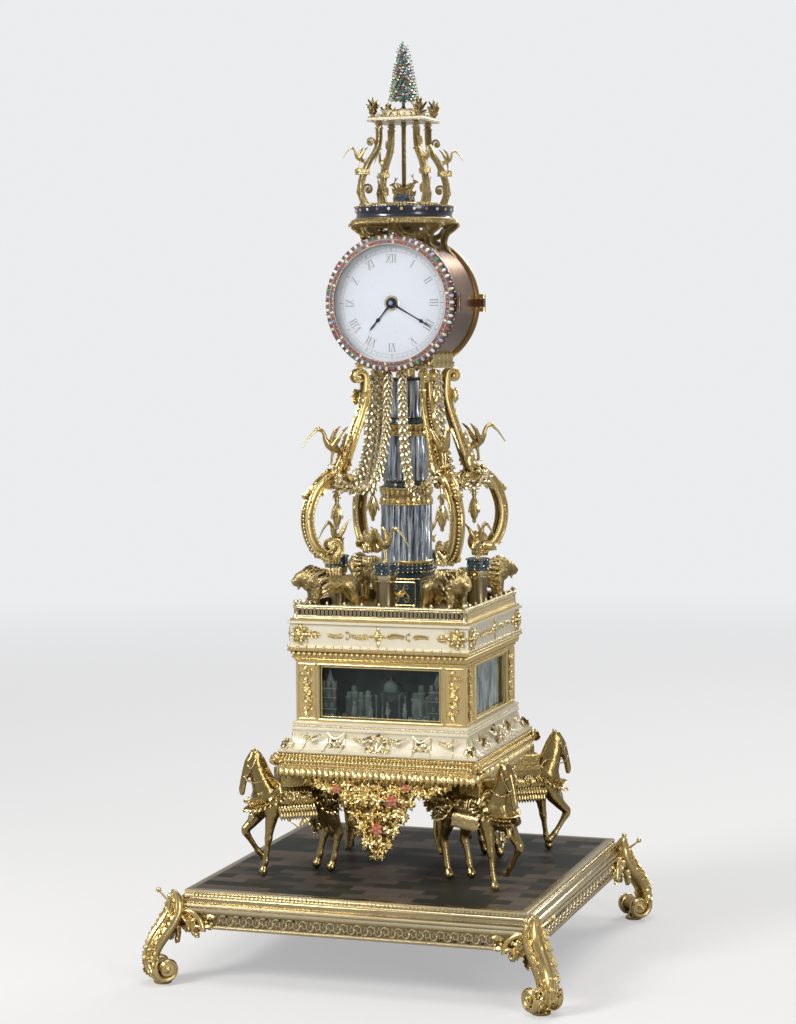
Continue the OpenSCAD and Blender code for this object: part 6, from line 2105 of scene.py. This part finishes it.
# %% [markdown]
# ## Crown and pavilion
#
# Two pairs of curved brackets lift the crown off the drum. On the blue platform stand four pairs of
# lyre scrolls round a turning rock with four deer, and above them a tray with sprays at its corners
# carries the jewelled tree. Rock, deer, shaft and tree are one body and turn together.

# %% Crown brackets
CROWN = foot_of("crown_platform")
PAVILION = top_of("crown_platform")
SOFT_GILT = gilding("soft gilt", (0.86, 0.72, 0.40), (0.66, 0.50, 0.22), (0.16, 0.09, 0.03), 0.20, 0.8)


def bracket(bm):
    path = smooth_path([(56, -46, 0, 3), (47, -36, 0, 3.4), (41, -24, 0, 3.6), (44, -12, 0, 3.8),
                        (53, -5, 0, 3.6), (60, 0, 0, 2.4)], 6)
    strap(bm, path, 4, 16)
    for z in (-3.6, 3.6):
        swept(bm, beside(path[1:-1], 1, z, 0.7), around=6)
    for where in along(beside(path[3:-3], 1, 0, 1), 3.4):
        stamp(bm, SMALL_BEAD, where @ place(size=1.3))
    stamp(bm, BROAD_LEAF, place(45, -31, 0, turn=-66, roll=90, size=0.6),
          place(50, -6, 0, turn=150, roll=90, size=0.5))


def crown_work():
    bm = bmesh.new()
    made = pattern(bracket)
    low, high = box("crown_brackets")
    for s in (-1, 1):
        for y in (-32, 32):
            stamp(bm, made, mirror(s) @ place(0, y, CROWN, roll=90))
    z = CROWN - 30
    turned(bm, [(8, z), (12, z), (12, z + 3), (9.6, z + 5), (7.6, z + 10), (8.8, z + 16), (11, z + 21),
                (9, z + 24), (12, z + 27), (12, z + 30), (4, z + 30)], 40)
    for y in (-1, 1):
        stamp(bm, pattern(block, low.x, high.x, CROWN - 4, CROWN, 3.9), place(0, 32 * y, 0, roll=90))
    return piece(bm, "crown_scrolls", "tower", "gilt_bronze", SOFT_GILT, "crown_brackets", sharp=45)


def crown_swags():
    bm = bmesh.new()
    for side in range(2):
        turn = place(turn=180 * side)
        for s in (-1, 1):
            path = smooth_path([(s * 43, -36.4, CROWN - 5, 1.2), (s * 36, -36.8, CROWN - 14, 1.7),
                                (s * 24, -37, CROWN - 18, 2.2), (s * 11, -36.8, CROWN - 14, 1.7),
                                (s * 3, -36.4, CROWN - 5, 1.2)], 6)
            stamp(bm, pattern(swept, path, around=8), turn)
            for where in along(path, 2.6):
                for q in range(3):
                    stamp(bm, LEAF, turn @ where @ place(roll=120 * q)
                          @ place(z=0.8, tilt=-30, size=(0.3, 0.36, 0.36)))
        for x in (-43, 0, 43):
            stamp(bm, ROSETTE, turn @ on_front(x, 36, CROWN - 4, 0, 0.55))
            stamp(bm, LEAF, turn @ on_front(x, 36, CROWN - 7, -90, 0.55))
    return piece(bm, "crown_festoons", "tower", "gilt_bronze", SOFT_GILT, sharp=50)


crown_work()
crown_swags()


# %% Platform
def platform():
    bm = bmesh.new()
    z, top = CROWN, PAVILION
    outer = reach_of("crown_platform")
    turned(bm, [(3.8, z), (outer - 2, z), (outer, z + 1), (outer - 0.4, z + 2.4), (outer - 2, z + 3.4),
                (outer - 1.2, z + 4.8), (outer - 2.2, z + 6), (outer - 4.6, z + 6.4), (3.8, z + 6.4),
                (3.8, z)], 96)
    for k in range(72):
        stamp(bm, LEAF, place(turn=5 * k) @ place(outer - 4, 0, z + 5.8, tilt=58, size=(0.42, 0.5, 0.5)))
    piece(bm, "platform_mount", "tower", "gilt_bronze", SOFT_GILT, sharp=40)
    bm = bmesh.new()
    r = outer - 4.6
    turned(bm, [(3.8, z + 6.2), (r - 0.6, z + 6.2), (r - 1.6, z + 8), (r - 2.4, z + 11), (r - 1.2, z + 14),
                (r, top - 1.6), (r - 0.4, top - 0.4), (r - 2, top), (3.8, top), (3.8, z + 6.2)], 96)
    piece(bm, "platform_enamel", "tower", "blue_enamel", blue_enamel, "crown_platform", sharp=40)
    gems = Jewels("platform_stones", "tower", "blue_enamel")
    trim = bmesh.new()
    for k in range(96):
        stamp(trim, SMALL_BEAD, place(turn=3.75 * k) @ place(r - 0.2, 0, top - 1.4, size=1.3))
    for k in range(24):
        gems.put(("white", "rose", "white", "amber")[k % 4],
                 place(turn=15 * k) @ place(r - 2.2, 0, top - 5.4, tilt=80, size=1.9))
        stamp(trim, pattern(c_scroll, height=7, r=1.6, thick=0.5),
              place(turn=15 * k + 7.5) @ place(r - 2.6, 0, top - 5.6, turn=90, roll=90))
    gems.done()
    return piece(trim, "platform_trim", "tower", "blue_enamel", SOFT_GILT, sharp=40)


platform()


# %% Lyre legs
def lyre(bm):
    path = smooth_path([(53, 0, 0, 4.4), (59, 14, 0, 4.2), (58, 31, 0, 4), (49, 52, 0, 3.6), (39, 66, 0, 3.6),
                        (34, 80, 0, 3.8), (34, 104, 0, 3.8)], 6)
    swept(bm, path, around=16)
    for z in (-3.4, 3.4):
        swept(bm, beside(path[2:-2], 1, z, 1.0, 0.7), around=6)
    swept(bm, volute(50, 20, 6.6, 10, 400, 1.8, 0.9, 20, 0.6), around=8)
    swept(bm, volute(46, 78, 6.2, 200, -380, 1.7, 0.8, 20, 0.6), around=8)
    stamp(bm, BEAD, place(50, 20, 0, size=3.4), place(46, 78, 0, size=3))
    for k, (x, y, turn) in enumerate(((60, 26, -70), (57, 38, 128), (41, 64, 124), (35, 86, 96),
            (56, 8, 66))):
        stamp(bm, BROAD_LEAF, place(x, y, 0, turn=turn, roll=90, size=0.6 - 0.04 * k))
    for x, y in ((54, 3), (36.5, 70), (34, 96), (34, 101)):
        swept(bm, [(x + px, y, pz, 0.9) for px, pz, _, _ in hoop(4.8, steps=16)], around=6)


def lyre_work():
    bm = bmesh.new()
    made = pattern(lyre)
    for where in CORNERS:
        turn = place(z=PAVILION) @ where
        stamp(bm, made, turn)
        stamp(bm, pattern(block, 49, 66, 38, 45, 4.4, 0.6), turn)
        stamp(bm, pattern(block, 48, 60, 0, 3, 5.8, 0.5), turn)
    return piece(bm, "lyre_scrolls", "tower", "gilt_bronze", SOFT_GILT, "lyre_legs", sharp=50)


lyre_work()


# %% Deer on the turning rock
# Degrees by which the deer are turned from the four sides
TURNING = 15
DEER = [
    [(-11, 0, 12.8, 2.2), (-8, 0, 14, 4.3), (-2, 0, 14.2, 3.8), (4, 0, 14.4, 3.9), (8, 0, 15.6, 3.7),
     (11, 0, 18.6, 2.6),
     (14, 0, 23, 1.9), (16, 0, 25.6, 1.9), (19.4, 0, 24.4, 1.1)],
    [(-12, 0, 14.6, 1.4), (-13.2, 0, 17.4, 0.8)],
]
DEER += both([
    [(14.6, 1, 26.6, 0.8), (12.4, 2.4, 31, 0.7), (13.2, 3.6, 34.6, 0.5)],
    [(12.4, 2.4, 31, 0.7), (9.6, 3, 33.6, 0.5)],
    [(14.2, 1.2, 26, 0.8), (12.4, 3, 26.6, 0.5)],
    [(7.4, 2.3, 13, 2.1), (8.4, 2.4, 8, 1.3), (9.2, 2.4, 4, 0.8), (9.8, 2.4, 0.7, 1)],
    [(-8.4, 2.3, 13.4, 2.7), (-9.8, 2.4, 8.8, 1.5), (-11.4, 2.4, 5, 0.9), (-10.8, 2.4, 0.7, 1)],
])
deer_cast = animal(DEER, 0.5, 2)
print("deer", len(deer_cast.polygons), "faces")


def deer_ring():
    bm = bmesh.new()
    floor = foot_of("carousel_animals")
    for i in range(4):
        stamp(bm, deer_cast, place(turn=90 * i + TURNING) @ place(0, -30, floor))
    return piece(bm, "rock_deer", "pavilion_turntable", "gilt_bronze", SOFT_GILT, "carousel_animals",
                 sharp=80)


deer_ring()


# %% Rock, table and shaft
def crag(u, v):
    """A small steep rock: radius falls with height and is broken into faces by ridges."""
    a = u * math.tau
    z = 16.6 * v
    r = 15.4 - 8.6 * v ** 0.8
    r += (1.3 * math.sin(5 * a + 9 * v) + 0.9 * math.sin(11 * a - 14 * v)
          + 0.5 * math.sin(23 * a + 30 * v)) * (1 - 0.6 * v)
    if v > 0.999:
        r = 3.1
    return Vector((r * math.cos(a), r * math.sin(a), z))


def turntable():
    low, high = box("carousel")
    base = foot_of("carousel_animals")
    bm = bmesh.new()
    sheet_of(bm, 96, 26, crag)
    bmesh.ops.translate(bm, vec=(0, 0, base), verts=bm.verts)
    rock = paint("dark rock", (0.012, 0.02, 0.035), (0.07, 0.10, 0.13), 0.22, 60)
    piece(bm, "deer_rock", "pavilion_turntable", "blue_enamel", rock, sharp=30)
    bm = bmesh.new()
    r = reach_of("carousel")
    turned(bm, [(3, base - 3), (r - 1.4, base - 3), (r, base - 2.2), (r, base - 1.4), (r - 1.2, base - 0.5),
                (r - 3, base), (3, base), (3, base - 3)], 96)
    for k in range(60):
        stamp(bm, SMALL_BEAD, place(turn=6 * k) @ place(r - 2.2, 0, base - 0.2, size=0.9))
    turned(bm, [(0, low.z), (3, low.z), (3, base + 16), (4.6, base + 18), (3.4, base + 20),
                (2.8, base + 24), (2.8, high.z - 22), (3.9, high.z - 20), (2.9, high.z - 17),
                (3, high.z - 10), (3, high.z), (0, high.z)], 32)
    for s in range(2):
        turns = [(3.2 * math.cos(a), 3.2 * math.sin(a), base + 24 + (high.z - base - 48) * k / 90, 0.62)
                 for k, a in enumerate(math.tau * k / 26 + math.pi * s for k in range(91))]
        stamp(bm, pattern(swept, turns, around=6))
    for k in range(5):
        stamp(bm, BROAD_LEAF, place(turn=72 * k) @ place(4.6, 0, base + 16, tilt=-62, size=0.5))
    return piece(bm, "turning_shaft", "pavilion_turntable", "gilt_bronze", SOFT_GILT, "carousel", sharp=40)


turntable()


# %% Crown plate
TRAY = reach_of("crown_plate")


def spray(bm):
    """A corner ornament: two upright scrolls back to back with a bud between them."""
    for s in (-1, 1):
        swept(bm, smooth_path([(s * 0.8, 0, 0.4, 1.4), (s * 1.6, 0, 5, 1.2), (s * 4.2, 0, 9, 1.1),
                (s * 4.6, 0, 14, 1), (s * 2.4, 0, 17.4, 0.9), (s * 0.8, 0, 15.8, 0.7),
                (s * 1.6, 0, 14, 0.5)], 4), around=8)
        stamp(bm, LEAF, place(s * 3.6, 0, 8, turn=0 if s > 0 else 180, tilt=-48, size=0.55),
              place(s * 1.2, 0, 3, turn=0 if s > 0 else 180, tilt=-20, size=0.5))
    swept(bm, [(0, 0, 0, 2.4), (0, 0, 1.6, 3.2), (0, 0, 3, 1.6), (0, 0, 14, 1.1), (0, 0, 17, 1.4),
               (0, 0, 20.4, 2.1), (0, 0, 23, 1.1), (0, 0, 24.9, 0.3)], around=10, up=(1, 0, 0))
    for s in (-1, 1):
        stamp(bm, LEAF, place(0, s * 1.4, 5, turn=90 * s, tilt=-52, size=0.6),
              place(0, s, 14, turn=90 * s, tilt=-50, size=0.45))


def crown_plate_work():
    z = foot_of("crown_plate")
    top = z + 5
    block_top = top + 9
    bm = bmesh.new()
    squared(bm, [(3.6, z), (TRAY - 1.6, z), (TRAY - 0.4, z + 1), (TRAY, z + 2.4), (TRAY - 0.8, z + 3.6),
                 (TRAY - 1.4, top), (3.6, top), (3.6, z)])
    squared(bm, [(3.6, top), (22.5, top), (22.5, top + 1), (21.6, top + 2), (21.4, block_top - 2),
                 (22.5, block_top - 1), (22.5, block_top), (3.6, block_top)])
    piece(bm, "crown_tray", "tower", "white_panel", white_enamel, "crown_plate", sharp=30)
    bm = bmesh.new()
    squared(bm, [(TRAY - 2.2, z - 0.02), (TRAY + 0.1, z - 0.02), (TRAY + 0.2, z + 0.7),
                 (TRAY - 0.4, z + 1.2), (TRAY - 2.2, z + 1.2), (TRAY - 2.2, z - 0.02)])
    squared(bm, [(TRAY - 2.6, top - 0.4), (TRAY - 0.9, top - 0.6), (TRAY - 0.7, top + 0.2),
                 (TRAY - 1.4, top + 0.8), (TRAY - 2.6, top + 0.4), (TRAY - 2.6, top - 0.4)])
    squared(bm, [(20, block_top - 0.4), (22.6, block_top - 0.8), (22.7, block_top + 0.2),
                 (22, block_top + 0.9), (20, block_top + 0.5), (20, block_top - 0.4)])
    for i in range(4):
        for k in range(-4, 5):
            stamp(bm, EGG, quarter(i) @ on_front(7.6 * k, TRAY - 0.6, z + 2.7, 90, 0.36))
        for k in range(-2, 3):
            mesh, size = (SMALL_BEAD, 1.4) if k % 2 else (ROSETTE, 0.42)
            stamp(bm, mesh, quarter(i) @ on_front(8.4 * k, 21.6, top + 4.4, 0, size))
        stamp(bm, pattern(c_scroll, height=15, r=3, thick=0.8),
              quarter(i) @ on_front(0, TRAY - 3, top + 1.6, 90))
    made = pattern(spray)
    for i in range(4):
        stamp(bm, made, quarter(i) @ place(turn=45) @ place(30 * math.sqrt(2), 0, top, turn=90))
    return piece(bm, "tray_sprays", "tower", "white_panel", SOFT_GILT, sharp=45)


crown_plate_work()


# %% Jewelled tree
def needle(bm):
    bmesh.ops.create_cone(bm, cap_ends=True, segments=5, radius1=0.55, radius2=0.12, depth=5.2,
            matrix=Matrix.Translation((0, 0, 2.4)))


def tree():
    low, high = box("jewel_tree")
    base = low.z
    tall = high.z - base
    start = base + 12
    bm = bmesh.new()
    turned(bm, [(0, base), (4.5, base), (4.5, base + 0.8), (3.6, base + 1.6), (2.2, base + 3),
                (1.9, base + 6), (2.4, base + 8), (1.8, base + 10), (1.8, high.z - 8), (0.5, high.z),
                (0, high.z)], 24)
    prick = pattern(needle)
    gems = Jewels("tree_stones", "pavilion_turntable", "pale_gilt")
    rows = 19
    colours = ("white", "green", "blue", "green", "white", "amber", "green", "blue", "rose", "green", "white")
    n = 0
    for k in range(rows):
        t = k / (rows - 1)
        r = 13.4 * (1 - t) ** 0.86 + 1.2
        z = start + 1.4 + (tall - 17) * t
        count = max(3, round(r * 1.15) + 1)
        turned(bm, [(1.5, z - 0.5), (r - 1.6, z - 0.2), (r - 1.3, z + 0.3), (1.5, z + 1.0), (1.5, z - 0.5)],
               20)
        for q in range(count):
            turn = 360 * (q + 0.5 * (k % 2)) / count
            where = place(0, 0, z, turn=turn) @ place(r, 0, 0)
            n += 1
            gems.put(colours[n * 7 % len(colours)], where @ place(tilt=66, size=1.55 - 0.3 * t))
            stamp(bm, prick, where @ place(-1.4, 0, -0.2, tilt=74, size=0.95),
                  where @ place(-1, 0, 0.8, tilt=40, size=0.8))
            stamp(bm, LEAF, where @ place(-3, 0, -0.8, tilt=14, size=0.42))
    gems.done()
    dark_silver = gilding("darkened silver", (0.62, 0.62, 0.52), (0.20, 0.22, 0.17), (0.03, 0.04, 0.03),
            0.3, 0.0004)
    return piece(bm, "tree_branches", "pavilion_turntable", "pale_gilt", dark_silver, "jewel_tree", sharp=50)


tree()

# %% [markdown]
# ## Works
#
# The wheels, the pinned barrels and the bells are cut to fit in the CAD, so their meshes stay as they
# are and take a finish. Engraving and turning marks come from the finish's bump.

# %% Works and mirrors
def turned_metal(name, bright, dull, rough, marks=700.0):
    """Bare metal with fine turning marks and a slow change of tone, as if it had been handled."""
    f = Finish(name, Metallic=1.0)
    where = f.node("Mapping", Vector=f.coordinates(), Scale=(3, marks, 3))
    lines = f.noise(1.0, detail=2, where=where)
    cloud = f.noise(30, detail=4)
    f.bump(lines, 0.00003, 0.4)
    return f.set(Base_Color=f.mix(cloud, dull, bright), Roughness=rough + 0.18 * cloud)


def silvering():
    """Old mirror glass: bright, with a faint grey cloud where the silvering has thinned."""
    f = Finish("silvered glass", Metallic=1.0)
    cloud = f.noise(26, detail=5)
    f.bump(f.noise(8, detail=2), 0.00008, 0.2)
    return f.set(Base_Color=f.mix(cloud.between(0.55, 0.75) * 0.5, (0.86, 0.88, 0.90), (0.42, 0.44, 0.46)),
                 Roughness=0.05 + 0.10 * cloud.between(0.5, 0.8))


steel = turned_metal("polished steel", (0.62, 0.64, 0.68), (0.40, 0.41, 0.44), 0.2)
bell_metal = turned_metal("bell metal", (0.80, 0.66, 0.42), (0.58, 0.44, 0.25), 0.2, 1100.0)

for node in ("music_frame", "music_barrel", "spring_barrel", "movement_frame", "hour_wheel", "minute_wheel",
             "going_barrel"):
    keep(node, brass)
for node in ("bell_hammers", "governor_fly", "center_arbor"):
    keep(node, steel)
keep("bell_nest", bell_metal)
keep("balance", gilt)
keep("side_mirrors", silvering())

# %% [markdown]
# ## Floor, lights and camera
#
# The camera stands a little to the right of the front and slightly above the middle, far
# away, so upright lines stay nearly parallel. Its place follows the clock's height. The floor
# is pale to the camera through Light Path, and grey to the light, so it doesn't flood the
# gilding from below.


# %% Camera
def camera(azimuth, elevation, distance, aim, lens, shift, roll):
    data = bpy.data.cameras.new("camera")
    data.lens = lens
    data.shift_x, data.shift_y = shift
    obj = bpy.data.objects.new("camera", data)
    a, e, r = (math.radians(v) for v in (azimuth, elevation, roll))
    back = Vector((math.sin(a) * math.cos(e), -math.cos(a) * math.cos(e), math.sin(e)))
    level = Vector((math.cos(a), math.sin(a), 0))
    up = back.cross(level)
    right = math.cos(r) * level + math.sin(r) * up
    turned_up = math.cos(r) * up - math.sin(r) * level
    pose = Matrix((right, turned_up, back)).transposed().to_4x4()
    pose.translation = Vector((0, 0, aim)) + back * distance
    obj.matrix_world = pose
    bpy.context.scene.collection.objects.link(obj)
    bpy.context.scene.camera = obj


SIZE = HEIGHT * MM
AWAY = 2.675 * SIZE
camera(azimuth=18.26, elevation=4.24, distance=AWAY, aim=0.49 * SIZE, lens=85.5,
       shift=(-0.0083, -0.0016), roll=-0.43)
print("camera", round(AWAY, 2), "m away")


# %% Floor and world
SKY = (0.93, 0.935, 0.95)
FLOOR_RADIUS = 9


def backdrop_finish():
    """Pale floor by the object, which passes over into the colour of the world further off."""
    f = Finish("pale floor")
    seen = f.node("LightPath", output="Is Camera Ray")
    f.set(Base_Color=(0.40, 0.395, 0.385), Roughness=0.8)
    f.tree.nodes["Principled BSDF"].inputs["Specular IOR Level"].default_value = 0.1
    glow = f.node("Emission", output=0, Color=(0.40, 0.40, 0.405), Strength=seen)
    add = f.tree.nodes.new("ShaderNodeAddShader")
    f.tree.links.new(f.shader.outputs[0], add.inputs[0])
    f.tree.links.new(glow.socket, add.inputs[1])
    far = f.node("Emission", output=0, Color=SKY, Strength=0.30 + 0.60 * seen)
    away = f.node("VectorMath", {"operation": "LENGTH"}, output="Value", Vector=f.coordinates())
    fade = f.tree.nodes.new("ShaderNodeMixShader")
    f.tree.links.new(away.between(0.9, 4.2).socket, fade.inputs[0])
    f.tree.links.new(add.outputs[0], fade.inputs[1])
    f.tree.links.new(far.socket, fade.inputs[2])
    f.tree.links.new(fade.outputs[0], f.tree.nodes["Material Output"].inputs[0])
    return f.material


def floor_and_world():
    bm = bmesh.new()
    bmesh.ops.create_circle(bm, cap_ends=True, segments=96, radius=FLOOR_RADIUS)
    mesh = bpy.data.meshes.new("floor")
    bm.to_mesh(mesh)
    bm.free()
    mesh.materials.append(backdrop_finish())
    floor = bpy.data.objects.new("floor", mesh)
    bpy.context.scene.collection.objects.link(floor)
    world = bpy.data.worlds.new("studio")
    world.use_nodes = True
    bpy.context.scene.world = world
    tree = world.node_tree
    ground = tree.nodes["Background"]
    path = tree.nodes.new("ShaderNodeLightPath")
    seen = Wire(tree, path.outputs["Is Camera Ray"])
    mirrored = Wire(tree, path.outputs["Is Glossy Ray"])
    through = Wire(tree, path.outputs["Is Transmission Ray"])
    ground.inputs["Color"].default_value = (*SKY, 1)
    level = 0.36 + 0.54 * seen + 0.08 * mirrored + 0.42 * through
    tree.links.new(level.socket, ground.inputs["Strength"])


floor_and_world()


# %% Lamps
def lamp(name, where, aim, size, watts, colour=(1, 1, 1)):
    data = bpy.data.lights.new(name, "AREA")
    data.shape = "RECTANGLE"
    data.size, data.size_y = size
    data.energy = watts
    data.color = colour
    obj = bpy.data.objects.new(name, data)
    look = Vector(aim) - Vector(where)
    obj.matrix_world = Matrix.Translation(where) @ look.to_track_quat("-Z", "Y").to_matrix().to_4x4()
    bpy.context.scene.collection.objects.link(obj)


MIDDLE = (0, 0, 0.5 * SIZE)
lamp("key", (-1.7, -2.3, 2.3), MIDDLE, (0.9, 1.2), 84)
lamp("fill", (2.4, -1.9, 1.0), MIDDLE, (0.7, 1.6), 26, (1, 0.98, 0.95))
lamp("rim", (0.8, 2.4, 2.2), MIDDLE, (1.2, 0.8), 34)
lamp("top", (0, -0.2, 2.9), MIDDLE, (1.0, 1.0), 20)
bpy.context.scene.view_settings.view_transform = "Standard"
